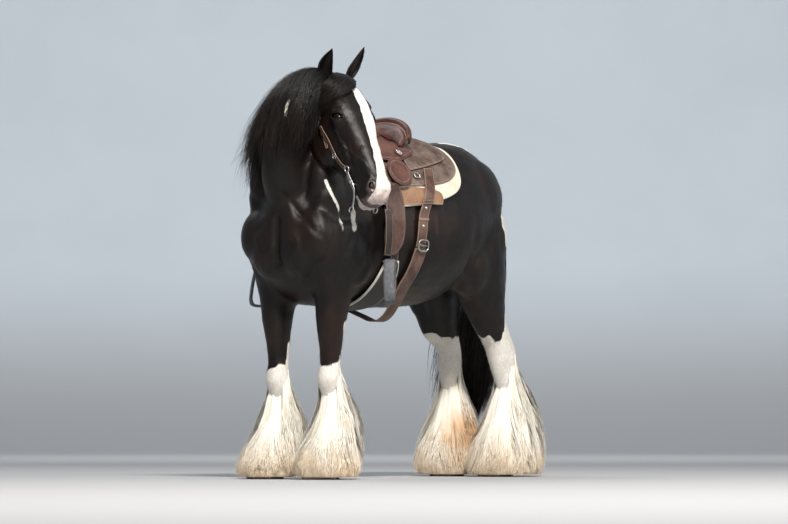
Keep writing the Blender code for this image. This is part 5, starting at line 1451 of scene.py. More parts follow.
def seat_place(u, v):
    degrees = (2 * u - 1) * SEAT_ANGLE
    depth = SEAT_LENGTH - (CANTLE_BOW + 0.012) * np.abs(degrees / CANTLE_ANGLE) ** 2.2
    return SEAT_FRONT + depth * v, degrees


def seat_top(u, v):
    middle = column(SEAT_LINE, SEAT_FRONT + SEAT_LENGTH * v, 1)
    return SEAT_RIM + (middle - SEAT_ROUND) * np.maximum(np.cos((2 * u - 1) * math.pi / 2), 0) ** 0.7


seat = inflated(sheet("seat", seat_place, SEAT_LOW, seat_top, 30, 30, round_off=0.008), 0.004, 0.006)

# %% [markdown]
# ## The saddle pad
#
# Under the saddle lies a thick pad of cream felt and fleece. It is laid over the back like the leathers,
# only thicker, and then puffed by the same simulation, so that it swells past the skirt's edge. Patches
# of tan leather are sewn on where the straps rub.

# %% Pad and its wear leathers
soft_edge = {"round_off": 0.006, "rims": (0.008, 0.012)}
pad = over_back("pad", PAD, 0.0110, 0.0196, 90, 66, bunch=1.4, settle=0.0030, **soft_edge)
pad = inflated(pad, 0.0030, frames=12)
WEAR = ((54, -0.270, 0.050), (57, -0.225, 0.140), (62, -0.215, 0.155), (67.4, -0.225, 0.150))
WEAR_LOW, WEAR_HIGH = ((54, 0.0222),), ((54, 0.0238),)
wear = {word: band(f"wear_{word}", side, WEAR, WEAR_LOW, WEAR_HIGH, 30, 16) for side, word in SIDES}

# %% [markdown]
# ## Fenders, billets and cinches
#
# From each side of the tree hang the fender with its stirrup leather, the latigo that ties the front
# cinch, and the billet that buckles the rear one. The rear cinch hangs slack under the belly.

# %% Straps of the saddle
# Straps go by the angle down the side: angle, y and half width, and angle and height of the underside
FENDER = (
    (52, -0.385, 0.040), (60, -0.387, 0.050), (70, -0.392, 0.054), (80, -0.399, 0.057),
    (90, -0.404, 0.058), (98, -0.408, 0.052), (104, -0.412, 0.038), (108, -0.415, 0.020),
)
FENDER_HEIGHT = ((52, 0.0395), (64, 0.0390), (107.5, 0.0345))
STIRRUP_LEATHER = ((72, -0.442, 0.022), (90, -0.443, 0.022), (108.6, -0.444, 0.022))
STIRRUP_LEATHER_HEIGHT = ((72, 0.0438), (108.6, 0.0412))
LATIGO = ((57, -0.405, 0.022), (88, -0.390, 0.022), (119, -0.374, 0.022))
LATIGO_HEIGHT = ((57, 0.0325), (66, 0.0320), (90, 0.0215), (119, 0.0195))
BILLET = ((42, -0.106, 0.032), (60, -0.152, 0.031), (75, -0.200, 0.029), (100.5, -0.221, 0.028))
BILLET_HEIGHT = ((42, 0.0430), (50, 0.0330), (58, 0.0320), (67, 0.0230), (77, 0.0120), (100.5, 0.0080))
REAR_CINCH = (  # angle, y and height under the belly, all round from left to right
    (99, -0.2210, 0.014), (110, -0.2320, 0.012), (122, -0.2430, 0.012), (134, -0.2500, 0.014),
    (148, -0.2400, 0.032), (158, -0.2300, 0.056), (165, -0.2250, 0.066), (172, -0.2220, 0.058),
    (180, -0.2200, 0.036), (190, -0.2200, 0.018), (202, -0.2260, 0.012), (226, -0.2500, 0.011),
    (250, -0.2320, 0.011), (261, -0.2210, 0.014),
)
STRAPS = (  # name, stations, heights, thickness, points across and along, shares taken by the rims
    ("fender", FENDER, FENDER_HEIGHT, 0.0044, 24, 60, (0.03, 0.012)),
    ("stirrup_leather", STIRRUP_LEATHER, STIRRUP_LEATHER_HEIGHT, 0.0042, 8, 40, (0.08, 0.01)),
    ("latigo", LATIGO, LATIGO_HEIGHT, 0.0042, 8, 40, (0.08, 0.01)),
    ("rear_billet", BILLET, BILLET_HEIGHT, 0.0040, 10, 60, (0.06, 0.008)),
)
LOOPS = (("billet_keeper", 78.5, 0.0075, 0.031), ("billet_fold", 66.0, 0.0120, 0.0335))
TRUNK_RADIUS = 0.40  # about the trunk's radius at the straps, which turns a width into an angle


def on_billet(degrees, over):
    """y on the billet at an angle, and a height just over its leather."""
    return float(column(BILLET, degrees, 1)), float(np.interp(degrees, *zip(*BILLET_HEIGHT))) + over


def strap(name, side, word, stations, heights, thick, across, along, rims):
    """A strap of an even thickness over its heights."""
    name, upper = f"{name}_{word}", [(angle, height + thick) for angle, height in heights]
    straps[name] = band(name, side, stations, heights, upper, across, along, rims=rims)


straps = {}
for side, word in SIDES:
    for name, *make in STRAPS:
        strap(name, side, word, *make)
    for name, centre, width, half in LOOPS:
        y, low = on_billet(centre, 0.0043)
        spread = math.degrees(width / TRUNK_RADIUS)
        stations = [(centre + share * spread, y, half) for share in (-1, 0, 1)]
        heights = [(centre + share * spread, low) for share in (-1, 1)]
        strap(name, side, word, stations, heights, 0.0030, 16, 8, (0.03, 0.012))


def rear_cinch_turn(v):
    return 101 + 158 * v


def rear_cinch_place(u, v):
    degrees = rear_cinch_turn(v)
    return column(REAR_CINCH, degrees, 1) + (2 * u - 1) * 0.036, degrees


def rear_cinch_low(u, v):
    return column(REAR_CINCH, rear_cinch_turn(v), 2)


def front_cinch_place(u, v):
    return -0.372 + (2 * u - 1) * (0.072 - 0.036 * np.abs(2 * v - 1) ** 3), 113 + 134 * v


def rear_cinch_high(u, v):
    return rear_cinch_low(u, v) + 0.006


rear_cinch = sheet(
    "rear_cinch", rear_cinch_place, rear_cinch_low, rear_cinch_high, 12, 120, rims=(0.06, 0.005)
)
front_cinch = sheet(
    "front_cinch", front_cinch_place, 0.0040, 0.0152, 24, 90, round_off=0.006, rims=(0.04, 0.006)
)
print("straps:", ", ".join(sorted(straps)))

# %% [markdown]
# ## Seat jockeys, rosettes and silver
#
# The round leathers over the fender's top are the seat jockeys. Each has a leather rosette with a domed
# silver concho on it. Dees and buckles are bent from bar.

# %% Round leathers and silver
rounds, silver = {}, {}
# Profiles of a dome and of a flat leaf: share of the radius, and height
DOME = (
    (0.98, 0.0), (1.0, 0.0006), (0.97, 0.0013), (0.90, 0.0014), (0.86, 0.0010), (0.80, 0.0016),
    (0.60, 0.0034), (0.35, 0.0046), (0.22, 0.0049), (0.19, 0.0058), (0.10, 0.0064),
)
LEAF = ((0.98, 0.0), (1.0, 0.0012), (0.97, 0.0026), (0.90, 0.0032), (0.60, 0.0036), (0.20, 0.0038))


def domed(name, spot, out, radius, rise, count, scallops=0, ripple=0.0):
    """A domed piece of silver, its edge in scallops if asked."""
    profile = [(radius * share, rise * height) for share, height in DOME]
    return turned_piece(name, spot, out, profile, count, scallops, ripple)


def skin_out(y, degrees, height):
    """A point over the trunk and the way straight out of the skin there."""
    middle = Vector(on_trunk(y, degrees, height))
    ahead = Vector(on_trunk(y + 0.01, degrees, height)) - Vector(on_trunk(y - 0.01, degrees, height))
    down = Vector(on_trunk(y, degrees + 1.5, height)) - Vector(on_trunk(y, degrees - 1.5, height))
    out = ahead.cross(down).normalized()
    return middle, out if out.dot(middle - Vector((0, y, AXIS_HEIGHT))) > 0 else -out


LOBE_RADIUS, LOBE_Y, LOBE_ANGLE, LOBE_HEIGHT = 0.069, -0.315, 45.3, 0.0508


def seat_jockey(side, word):
    """A lobe of leather that lies over the trunk, cut round."""
    turn, share = np.linspace(0, math.tau, 64, endpoint=False), np.linspace(1, 0.03, 22)
    radius = LOBE_RADIUS * share[:, None] + 0 * turn[None]
    y = LOBE_Y + radius * np.cos(turn)
    degrees = side * LOBE_ANGLE + np.degrees(radius / TRUNK_RADIUS) * np.sin(turn)
    full = np.sqrt(1 - (1 - np.clip((LOBE_RADIUS - radius) / 0.0035, 0.03, 1)) ** 2)
    top = on_trunk(y, degrees, LOBE_HEIGHT + 0.0026 * full)
    bottom = on_trunk(y, degrees, LOBE_HEIGHT - 0.0024 * full)
    wrapped = np.concatenate([top, bottom[::-1]])
    obj = loft(f"seat_jockey_{word}", wrapped)
    edge = np.concatenate([LOBE_RADIUS - radius, (LOBE_RADIUS - radius)[::-1]])
    run = np.tile(turn * 0.060, (len(wrapped), 1))
    across, along = wrapped[..., 1], wrapped[..., 2]
    for key, values in (("edge", edge), ("run", run), ("across", across), ("along", along)):
        keep(obj, key, values.ravel())
    obj.data.shade_smooth()
    return obj


def rear_buckle(name, spot, out):
    """A square frame with a tongue that lies across it."""
    tongue = [spot + Vector((0, 0.024 * t, -0.002 * t)) + out * 0.003 for t in (1, 0.5, 0, -0.5, -1, -1.2)]
    frame_piece = metal_ring("frame", spot, out, 0.030, 0.0032, 0.8, corner=0.6)
    return joined(name, [frame_piece, swept("tongue", tongue, round_bar(0.0022), [out] * 6)])


for side, word in SIDES:
    rounds[f"seat_jockey_{word}"] = seat_jockey(side, word)
    spot, out = skin_out(-0.250, side * 31.0, 0.0500)
    leaf = [(0.0225 * share, height) for share, height in LEAF]
    name = f"rosette_{word}"
    rounds[name] = turned_piece(name, spot, out, leaf, 96, scallops=12, ripple=0.05)
    silver[f"concho_{word}"] = domed(f"concho_{word}", spot + out * 0.0042, out, 0.0160, 1.1, 96, 24, 0.02)
    name = f"rear_buckle_{word}"
    silver[name] = rear_buckle(name, *skin_out(-0.222, side * 98.6, 0.0275))
    spot, out = skin_out(-0.198, side * 47.5, 0.0375)
    name = f"rear_dee_{word}"
    silver[name] = metal_ring(name, spot, out, 0.016, 0.0028, 1.1, corner=0.8, dee=True)
    for number, degrees in enumerate((70.0, 83.5)):
        name = f"billet_stud_{word}_{number}"
        y, low = on_billet(degrees, 0.0040)
        silver[name] = domed(name, *skin_out(y, side * degrees, low), 0.0062, 0.8, 32)
print("silver:", len(silver), "pieces")

# %% [markdown]
# ## Stirrups
#
# Wooden stirrups covered in grey rawhide: a hoop that widens down to a broad flat tread, with a roller
# bolt at the top for the leather. The side seen edge-on in the picture bows out and in again.

# %% Stirrups
STIRRUP_TOP, STIRRUP_TURN = Vector((0.338, -0.478, 0.932)), math.radians(37)
STIRRUP = (  # half width and depth below the top
    (0.000, 0.000), (0.030, 0.002), (0.046, 0.030), (0.056, 0.075),
    (0.064, 0.125), (0.066, 0.155), (0.054, 0.176), (0.000, 0.181),
)


def stirrup(side, word):
    """A hoop and its bolt, turned toward the front."""
    across = Vector((side * math.sin(STIRRUP_TURN), -math.cos(STIRRUP_TURN), 0))
    half = passed_through(STIRRUP, 30)
    outline = [(a, d) for a, d in half] + [(-a, d) for a, d in half[-2:0:-1]]
    centre = mirrored(STIRRUP_TOP, side) - Vector((0, 0, 0.006))
    middle = centre - Vector((0, 0, 0.10))
    facing = across.cross(Vector((0, 0, 1)))
    path = []
    for a, d in outline:
        sway = 0.0045 * math.sin(math.pi * min(d / 0.16, 1)) * math.copysign(1, a)
        path.append(centre + across * a - Vector((0, 0, d)) + facing * sway)
    shape = [(0.0235 * edged(c, 0.45), 0.0058 * edged(s, 0.8)) for c, s in circle(20)]
    hoop = swept(f"stirrup_{word}", path, shape, [point - middle for point in path], closed=True)
    ends = [centre + facing * way * 0.030 - Vector((0, 0, 0.004)) for way in (-1, 1)]
    bolt = swept("bolt", ends, round_bar(0.004), [across] * 2)
    return joined(f"stirrup_{word}", [hoop, bolt])


stirrups = {word: stirrup(side, word) for side, word in SIDES}
for piece in stirrups.values():
    shaded(piece, 55)

# %% [markdown]
# ## Bridle and bit
#
# A plain headstall: a crown over the poll behind the ears, a cheek strap on each side and a curb bit with
# curved shanks. The straps are laid over the head's skin, and a curb strap runs under the chin.

# %% Headstall
# Points of the left half of each strap, in the head's own frame
CROWN = (
    (0.094, -0.064, -0.164),
    (0.094, -0.056, -0.120),
    (0.082, -0.046, -0.055),
    (0.054, -0.040, -0.004),
    (0.000, -0.042, 0.020),
)
CHEEK = (
    (0.094, -0.066, -0.203),
    (0.085, -0.063, -0.264),
    (0.068, -0.068, -0.345),
    (0.058, -0.058, -0.395),
    (0.057, -0.046, -0.413),
)
STRAP_END = ((0.088, -0.074, -0.222), (0.083, -0.084, -0.262), (0.080, -0.090, -0.296))
BROW_CONCHO = (0.094, -0.066, -0.184)
CURB = ((0.061, -0.052, -0.446), (0.054, -0.082, -0.462), (0.034, -0.104, -0.474), (0.0, -0.112, -0.478))


def over_head(half):
    """The points of one half and then their mirror images, from side to side."""
    return [head_point(*point) for point in half] + [head_point(-x, y, z) for x, y, z in half[-2::-1]]


def one_side(points, side):
    """The points in place on one side of the head."""
    return [head_point(*mirrored(point, side)) for point in points]


bridle = {}
bridle["headstall_crown"] = laid("headstall_crown", over_head(CROWN), 0.010, 0.0065, 0.0102, 70)
bridle["curb_strap"] = laid("curb_strap", over_head(CURB), 0.0065, 0.0020, 0.0050, 50)
for side, word in SIDES:
    path = one_side(CHEEK, side)
    bridle[f"cheek_strap_{word}"] = laid(f"cheek_strap_{word}", path, 0.0085, 0.0030, 0.0066, 40)
    path = one_side(STRAP_END, side)
    bridle[f"strap_end_{word}"] = laid(f"strap_end_{word}", path, 0.0065, 0.0030, 0.0055, 16)
    concho_spot, buckle_spot = one_side((BROW_CONCHO, CHEEK[2]), side)
    spot, out, _, _ = skin_tree.find_nearest(concho_spot)
    name = f"headstall_concho_{word}"
    silver[name] = domed(name, spot + out * 0.0098, out, 0.0128, 0.7, 72, 18, 0.03)
    spot, out, _, _ = skin_tree.find_nearest(buckle_spot)
    name = f"cheek_buckle_{word}"
    buckle = metal_ring("frame", spot + out * 0.0108, out, 0.0102, 0.0018, corner=0.55)
    silver[name] = joined(name, [buckle, domed("boss", spot + out * 0.0098, out, 0.0045, 0.5, 24)])

# %% Curb bit
BIT_HALF, BAR_RADIUS = 0.0665, 0.0055
SHANK = (  # y, height and half width, in the head's own frame
    (-0.044, -0.438, 0.006),
    (-0.046, -0.470, 0.010),
    (-0.043, -0.500, 0.009),
    (-0.046, -0.530, 0.006),
    (-0.062, -0.560, 0.005),
    (-0.084, -0.584, 0.005),
)
# y, height, radius, thickness and stretch
SHANK_RINGS = ((-0.040, -0.428, 0.012, 0.0030, 1.15), (-0.097, -0.590, 0.014, 0.0028, 0.75))


def bit():
    """Two curved shanks with their rings and bosses, and the bar between them."""
    pieces = []
    for side in (1, -1):
        x = side * BIT_HALF
        rows, rings = passed_through(SHANK, 30), []
        for i, (y, z, half) in enumerate(rows):
            ahead = rows[min(i + 1, len(rows) - 1)] - rows[max(i - 1, 0)]
            across = Vector((0, ahead[0], ahead[1])).cross((1, 0, 0)).normalized()
            rings.append(section((x, y, z), across, (1, 0, 0), half, 0.003, 0.003, count=12))
        pieces.append(loft("shank", rings))
        for y, z, *sizes in SHANK_RINGS:
            pieces.append(metal_ring("ring", (x, y, z), (1, 0, 0), *sizes, count=28, sides=10))
        pieces.append(domed("boss", (x + side * 0.002, -0.045, -0.486), (side, 0, 0), 0.009, 0.8, 28))
    bar = []
    for x in np.linspace(-BIT_HALF, BIT_HALF, 17):
        rise = 0.010 * max(0, 1 - abs(x) / 0.030)
        centre = (x, -0.040, -0.503 + rise)
        bar.append(section(centre, (0, 1, 0), (0, 0, 1), BAR_RADIUS, BAR_RADIUS, BAR_RADIUS, count=12))
    return placed(joined("bit", [*pieces, loft("bar", bar)]))


silver["bit"] = bit()
for piece in silver.values():
    piece.data.shade_smooth()
print("bridle:", ", ".join(bridle))

# %% [markdown]
# ## Leather, silver, felt and rawhide
#
# All leather starts from the same mix: a mottled brown with fine grain, darker where sweat and oil have
# gone in and paler where it is rubbed. Grooves and stitches follow the kept distance from the edge, and
# the basket stamp is a weave of short ridges over the kept lengths. Dust lies on the broad sheets.


# %% Leather
STAMP_SIZE, STITCH_LENGTH = 0.0075, 0.0055
DUST, THREAD = (0.235, 0.190, 0.155), (0.52, 0.42, 0.31)


def leather(name, dark, light, worn, stitch=0.0, grooves=(), basket=0.0, flowers=0.0, dust=0.0, rough=0.48):
    """Tooled leather. stitch and grooves lie that far from the edge, basket and flowers are depths."""
    paint = Paint(name, IOR=1.5)
    across, along, edge, run = (paint.kept(key) for key in ("across", "along", "edge", "run"))
    broad, fine, grain = paint.noise(11, 5.0), paint.noise(120, 4.0), paint.noise(520, 3.0)
    base = paint.ramp(broad * 0.65 + fine * 0.35, (0.36, dark), (0.62, light))
    height = grain * 0.25 + fine * 0.25
    if basket:
        a, b = across / STAMP_SIZE, along / STAMP_SIZE
        odd = paint.math("MODULO", paint.math("FLOOR", a) + paint.math("FLOOR", b) + 400, 2)
        ridge_a = paint.math("SINE", a * (3 * math.tau)) * 0.5 + 0.5
        ridge_b = paint.math("SINE", b * (3 * math.tau)) * 0.5 + 0.5
        stamped = paint.between(edge, 0.022, 0.024)
        woven = (ridge_a + (ridge_b - ridge_a) * odd) * stamped
        height = height + woven * basket
        base = paint.mix(base, dark, (1 - woven) * stamped * 0.45)
    if flowers:
        petals = paint.cells(70)
        swirl = paint.noise(46, 2.0, 0.5, twist=2.2)
        cut = paint.away(swirl - 0.5, 0.004, 0.030)
        height = height + cut * flowers + petals * flowers * 0.3
        base = paint.mix(base, dark, (1 - cut) * 0.6)
    if grooves:
        lines = [1 - paint.away(edge - line, 0.0004, 0.0014) for line in grooves]
        groove = sum(lines[1:], lines[0])
        height = height - groove * 0.7
        base = paint.mix(base, dark, groove * 0.75)
    rubbed = 1 - paint.between(edge + (fine - 0.5) * 0.006, 0.0008, 0.0050)
    base = paint.mix(base, worn, rubbed * 0.55)
    if dust:
        lying = paint.between(broad * 0.5 + paint.noise(38, 5.0) * 0.5, 0.38, 0.62) * dust
        base = paint.mix(base, DUST, lying)
    if stitch:
        on_line = 1 - paint.away(edge - stitch, 0.0006, 0.0012)
        dash = paint.between(paint.math("SINE", run * (math.tau / STITCH_LENGTH)), -0.35, 0.15)
        thread = on_line * dash
        height = height + thread * 0.8 - on_line * 0.3
        base = paint.mix(base, THREAD, thread * 0.85)
    roughness = rough + 0.16 * fine - 0.10 * rubbed + 0.12 * dust
    paint.set(Base_Color=base, Roughness=roughness, Coat_Weight=0.06)
    paint.bump(height, 0.0016, 0.9)
    return paint


# %% Leathers of the saddle and bridle
jockey_leather = leather(
    "dusty_stamped_leather", (0.060, 0.030, 0.021), (0.145, 0.078, 0.055), (0.24, 0.155, 0.115),
    stitch=0.007, grooves=(0.011, 0.019), basket=0.7, dust=0.55,
)
jockey_leather.on(skirt, *jockeys.values())
cantle_leather = leather(
    "red_brown_carved_leather", (0.034, 0.0095, 0.0068), (0.105, 0.030, 0.021), (0.175, 0.068, 0.048),
    stitch=0.0001, grooves=(0.0045, 0.012), flowers=0.7, dust=0.10, rough=0.40,
)
cantle_leather.on(back_rest)
seat_jockey_leather = leather(
    "red_brown_round_leather", (0.044, 0.0150, 0.0108), (0.135, 0.048, 0.034), (0.190, 0.088, 0.062),
    stitch=0.014, grooves=(0.005, 0.010, 0.030), dust=0.10, rough=0.42,
)
seat_jockey_leather.on(rounds["seat_jockey_left"], rounds["seat_jockey_right"], ground_seat, swells)
fender_leather = leather(
    "dark_carved_leather", (0.022, 0.0085, 0.0062), (0.105, 0.038, 0.027), (0.18, 0.085, 0.060),
    grooves=(0.006, 0.010, 0.022), flowers=0.6, stitch=0.008, dust=0.12, rough=0.42,
)
fender_leather.on(straps["fender_left"], straps["fender_right"])
dark_leather = leather(
    "oiled_dark_leather", (0.010, 0.0062, 0.0052), (0.036, 0.018, 0.013), (0.070, 0.042, 0.032),
    stitch=0.0045, rough=0.40,
)
dark_leather.on(*(piece for name, piece in straps.items() if "stirrup" in name or "latigo" in name))
billet_leather = leather(
    "worn_strap_leather", (0.040, 0.017, 0.012), (0.148, 0.070, 0.048), (0.26, 0.165, 0.120),
    stitch=0.005, grooves=(0.009,), dust=0.18, rough=0.44,
)
billet_leather.on(*(piece for name, piece in straps.items() if "billet" in name), rear_cinch)
bridle_leather = leather(
    "bridle_leather", (0.028, 0.0125, 0.0090), (0.095, 0.042, 0.028), (0.17, 0.10, 0.07),
    stitch=0.0022, rough=0.38,
)
bridle_leather.on(*bridle.values())
rosette_leather = leather(
    "rosette_leather", (0.060, 0.024, 0.016), (0.150, 0.070, 0.048), (0.20, 0.11, 0.08), rough=0.5
)
for rosette in (rounds["rosette_left"], rounds["rosette_right"]):
    for key in ("across", "along", "edge", "run"):
        keep(rosette, key, np.full(len(rosette.data.vertices), 0.02))
    rosette_leather.on(rosette)
wear_leather = leather(
    "tan_wear_leather", (0.150, 0.070, 0.036), (0.330, 0.175, 0.095), (0.42, 0.26, 0.16),
    stitch=0.005, dust=0.15, rough=0.5,
)
wear_leather.on(*wear.values())

# %% Suede, felt, girth, silver, iron and rawhide
suede = Paint("oxblood_suede", Roughness=0.85, Specular_IOR_Level=0.18)
nap, rub = suede.noise(340, 4.0), suede.between(suede.noise(13, 5.0), 0.42, 0.66)
oxblood = suede.mix((0.030, 0.0055, 0.0055), (0.066, 0.013, 0.012), nap)
oxblood = suede.mix(oxblood, (0.080, 0.026, 0.022), rub * 0.5)
seat_height = suede.height()
carved = suede.away(suede.noise(46, 2.0, 0.5, twist=2.2) - 0.5, 0.004, 0.030)
facing = suede.mix((0.030, 0.011, 0.008), (0.090, 0.036, 0.025), carved * 0.7 + nap * 0.3)
suede.set(Base_Color=suede.mix(oxblood, facing, suede.between(seat_height + nap * 0.004, 1.492, 1.500)))
seam = 1 - suede.away(suede.kept("edge") - 0.010, 0.0008, 0.0026)
quilt = suede.math("ABSOLUTE", suede.math("SINE", suede.kept("along") * (math.pi / 0.045)))
suede.bump(nap * 0.3 - seam * 0.9 + suede.between(quilt, 0.0, 0.25) * 0.4, 0.0014, 0.8)
suede.on(seat)

felt = Paint("cream_felt_and_fleece", Roughness=0.95, Sheen_Weight=0.4, Sheen_Roughness=0.6)
curls, fuzz, soil = felt.cells(210), felt.noise(420, 4.0), felt.noise(15, 5.0)
wool = felt.mix((0.62, 0.54, 0.40), (0.80, 0.74, 0.60), fuzz)
felt.set(Base_Color=felt.mix(wool, (0.36, 0.27, 0.17), felt.between(soil, 0.48, 0.72) * 0.6))
ply = felt.math("ABSOLUTE", felt.math("SINE", felt.kept("edge") * (math.pi / 0.006)))
felt.bump(curls * 0.8 + fuzz * 0.5 + soil * 0.4 + ply * 0.10, 0.0035, 0.9)
felt.on(pad)

girth = Paint("roper_girth", Roughness=0.9, Sheen_Weight=0.15)
cords = girth.math("ABSOLUTE", girth.math("SINE", girth.kept("across") * (math.pi / 0.0085)))
twist = girth.math("SINE", girth.kept("along") * (math.tau / 0.006) + cords * 2.0)
woolly = 1 - girth.between(girth.kept("edge") + (girth.noise(90, 3.0) - 0.5) * 0.004, 0.0075, 0.0095)
dark_cord = girth.mix((0.006, 0.0055, 0.005), (0.030, 0.026, 0.023), cords)
girth.set(Base_Color=girth.mix(dark_cord, (0.72, 0.68, 0.60), woolly))
girth.bump(cords * 0.8 + twist * 0.25 + girth.noise(500, 3.0) * 0.3, 0.0022, 0.9)
girth.on(front_cinch)


def metal(name, bright, dim, rough, scratch, engraved=0.0):
    """Metal with fine scratches, dirt in the hollows and, if engraved, cut scrolls."""
    paint = Paint(name, Metallic=1.0)
    fine, dirt = paint.noise(240, 5.0, stretch=(1, 1, 3)), paint.between(paint.noise(60, 5.0), 0.50, 0.70)
    height = fine * scratch
    base = paint.mix(bright, dim, dirt * 0.7)
    if engraved:
        swirl = paint.noise(210, 1.5, 0.5, twist=2.5)
        scroll = paint.away(swirl - 0.5, 0.005, 0.030)
        height = height + scroll * engraved
        base = paint.mix(dim, base, 0.35 + 0.65 * scroll)
    paint.set(Base_Color=base, Roughness=rough + fine * 0.15 + dirt * 0.12)
    paint.bump(height, 0.0008, 0.8)
    return paint


bright_silver = metal("engraved_silver", (0.80, 0.79, 0.76), (0.22, 0.20, 0.18), 0.20, 0.2, 0.8)
dull_steel = metal("dull_steel", (0.52, 0.51, 0.50), (0.16, 0.14, 0.13), 0.30, 0.4)
for name, piece in silver.items():
    (bright_silver if "concho" in name or "stud" in name else dull_steel).on(piece)

rawhide = Paint("grey_rawhide", IOR=1.45)
scuff, weave = rawhide.noise(70, 6.0, 0.65), rawhide.noise(380, 4.0)
grey = rawhide.ramp(scuff * 0.6 + weave * 0.4, (0.34, (0.040, 0.042, 0.048)), (0.60, (0.115, 0.118, 0.130)))
rawhide.set(Base_Color=rawhide.mix(grey, (0.24, 0.235, 0.23), rawhide.between(scuff, 0.56, 0.72) * 0.6))
rawhide.set(Roughness=0.45 + 0.25 * scuff)
rawhide.bump(weave * 0.6 + scuff * 0.7, 0.0014, 0.8)
rawhide.on(*stirrups.values())

finished(skirt, "skirt", "tooled_leather", "saddle_skirt")
finished(ground_seat, "ground_seat", "tooled_leather", "seat_base")
finished(back_rest, "cantle_board", "tooled_leather", "cantle")
finished(swells, "fork_and_horn", "tooled_leather", "saddle_fork")
finished(seat, "padded_seat", "seat_leather", "seat")
finished(pad, "felt_pad", "fleece", "saddle_pad")
finished(rear_cinch, "rear_cinch_strap", "tooled_leather", "rear_cinch")
finished(front_cinch, "front_girth", "fleece", "front_cinch")
for word in ("left", "right"):
    finished(jockeys[word], f"jockey_{word}", "tooled_leather", f"rear_jockey_{word}")
    finished(wear[word], f"pad_wear_leather_{word}", "tooled_leather")
    finished(stirrups[word], f"wooden_stirrup_{word}", "stirrup", f"stirrup_{word}")
GROUPS = (
    (straps, "dark_leather"),
    (rounds, "tooled_leather"),
    (bridle, "tooled_leather"),
    (silver, "silver_metal"),
)
for group, slot in GROUPS:
    for name, piece in group.items():
        solid = [name] if name in frame["nodes"] else []
        finished(piece, f"fine_{name}", slot, *solid)

# %% [markdown]
# ## Eyes and hooves
#
# A horse's eye is dark brown, with a long level pupil and a wet bulge over the iris. A hoof is a tube of
# horn that widens down to its sole. It grows in faint rings, and the heel has a cleft at the back.


# %% Eyes
def eyeball(side, word):
    """A ball with the clear bulge in front, that keeps each point's place over the iris."""
    along, across, look = slit_frame(side)
    piece = ball(f"eyeball_{word}", (0, 0, 0), 1.0, look, 72)
    points = coordinates(piece.data)
    points /= np.linalg.norm(points, axis=1, keepdims=True)
    ahead = points @ np.array(look)
    for key, axis in (("iris_along", along), ("iris_across", across)):
        keep(piece, key, points @ np.array(axis))
    bulge = 1 + 0.035 * fade(ahead, 0.72, 0.95)
    moved(piece, points * (EYE_RADIUS - 0.0006) * bulge[:, None] + np.array(mirrored(EYE, side)))
    piece.data.shade_smooth()
    return placed(piece)


eye_paint = Paint("horse_eye", IOR=1.4, Specular_IOR_Level=0.3, Coat_Weight=0.22, Coat_Roughness=0.08)
level, upright = eye_paint.kept("iris_along"), eye_paint.kept("iris_across")
from_middle = eye_paint.math("SQRT", level * level + upright * upright)
from_pupil = eye_paint.math("SQRT", level * level * 0.35 + upright * upright * 2.0)
pupil = 1 - eye_paint.between(from_pupil, 0.30, 0.36)
spokes = eye_paint.noise(30, 3.0, at=eye_paint.vector("NORMALIZE", eye_paint.place()), stretch=(8, 8, 8))
iris = eye_paint.mix((0.020, 0.0095, 0.0050), (0.0065, 0.0032, 0.0022), spokes)
rim = eye_paint.between(from_middle, 0.62, 0.74)
seen = eye_paint.mix(iris, (0.0015, 0.0015, 0.003), pupil)
eye_paint.set(Base_Color=eye_paint.mix(seen, (0.012, 0.008, 0.007), rim))
eye_paint.set(Roughness=0.22 + 0.15 * rim)
for side, word in SIDES:
    piece = eyeball(side, word)
    eye_paint.on(piece)
    finished(piece, f"eyeball_{word}", "eye", f"eye_{word}")


# %% Hooves
HOOF = (  # height, forward shift, half width, reach to the toe, reach to the heel
    (0.000, 0.078, 0.0765, 0.0855, 0.0695),
    (0.004, 0.078, 0.0785, 0.0875, 0.0715),
    (0.010, 0.0777, 0.0785, 0.0875, 0.0715),
    (0.040, 0.0730, 0.0715, 0.0775, 0.0665),
    (0.075, 0.0668, 0.0625, 0.0655, 0.0600),
    (0.0905, 0.0642, 0.0585, 0.0595, 0.0570),
)
HOOF_COLUMNS = 72


def hoof(swing, name):
    """A hoof with growth rings and a cleft heel, over a slightly hollow sole."""
    rings = []
    for height, forward, width, front, back in passed_through(HOOF, 44):
        height = max(height, 0.0)
        ring = []
        for c, s in circle(HOOF_COLUMNS):
            ripple_out = 1 + 0.006 * math.sin(height * 700 + 0.6 * c) * min(1, height / 0.01)
            heel = 1 - 0.16 * math.exp(-((c / 0.16) ** 2)) * (s < 0)
            reach = front if s > 0 else back * heel
            ring.append(swing @ Vector((width * c * ripple_out, -forward - reach * s * ripple_out, height)))
        rings.append(ring)
    sole = [rings[0]]
    middle = sum(rings[0], Vector()) / HOOF_COLUMNS
    for share, rise in ((0.86, 0.0), (0.78, 0.004), (0.4, 0.007), (0.05, 0.008)):
        sole.append([middle.lerp(point, share) + Vector((0, 0, rise)) for point in rings[0]])
    piece = loft(name, sole[:0:-1] + rings)
    shaded(piece, 50)
    return piece


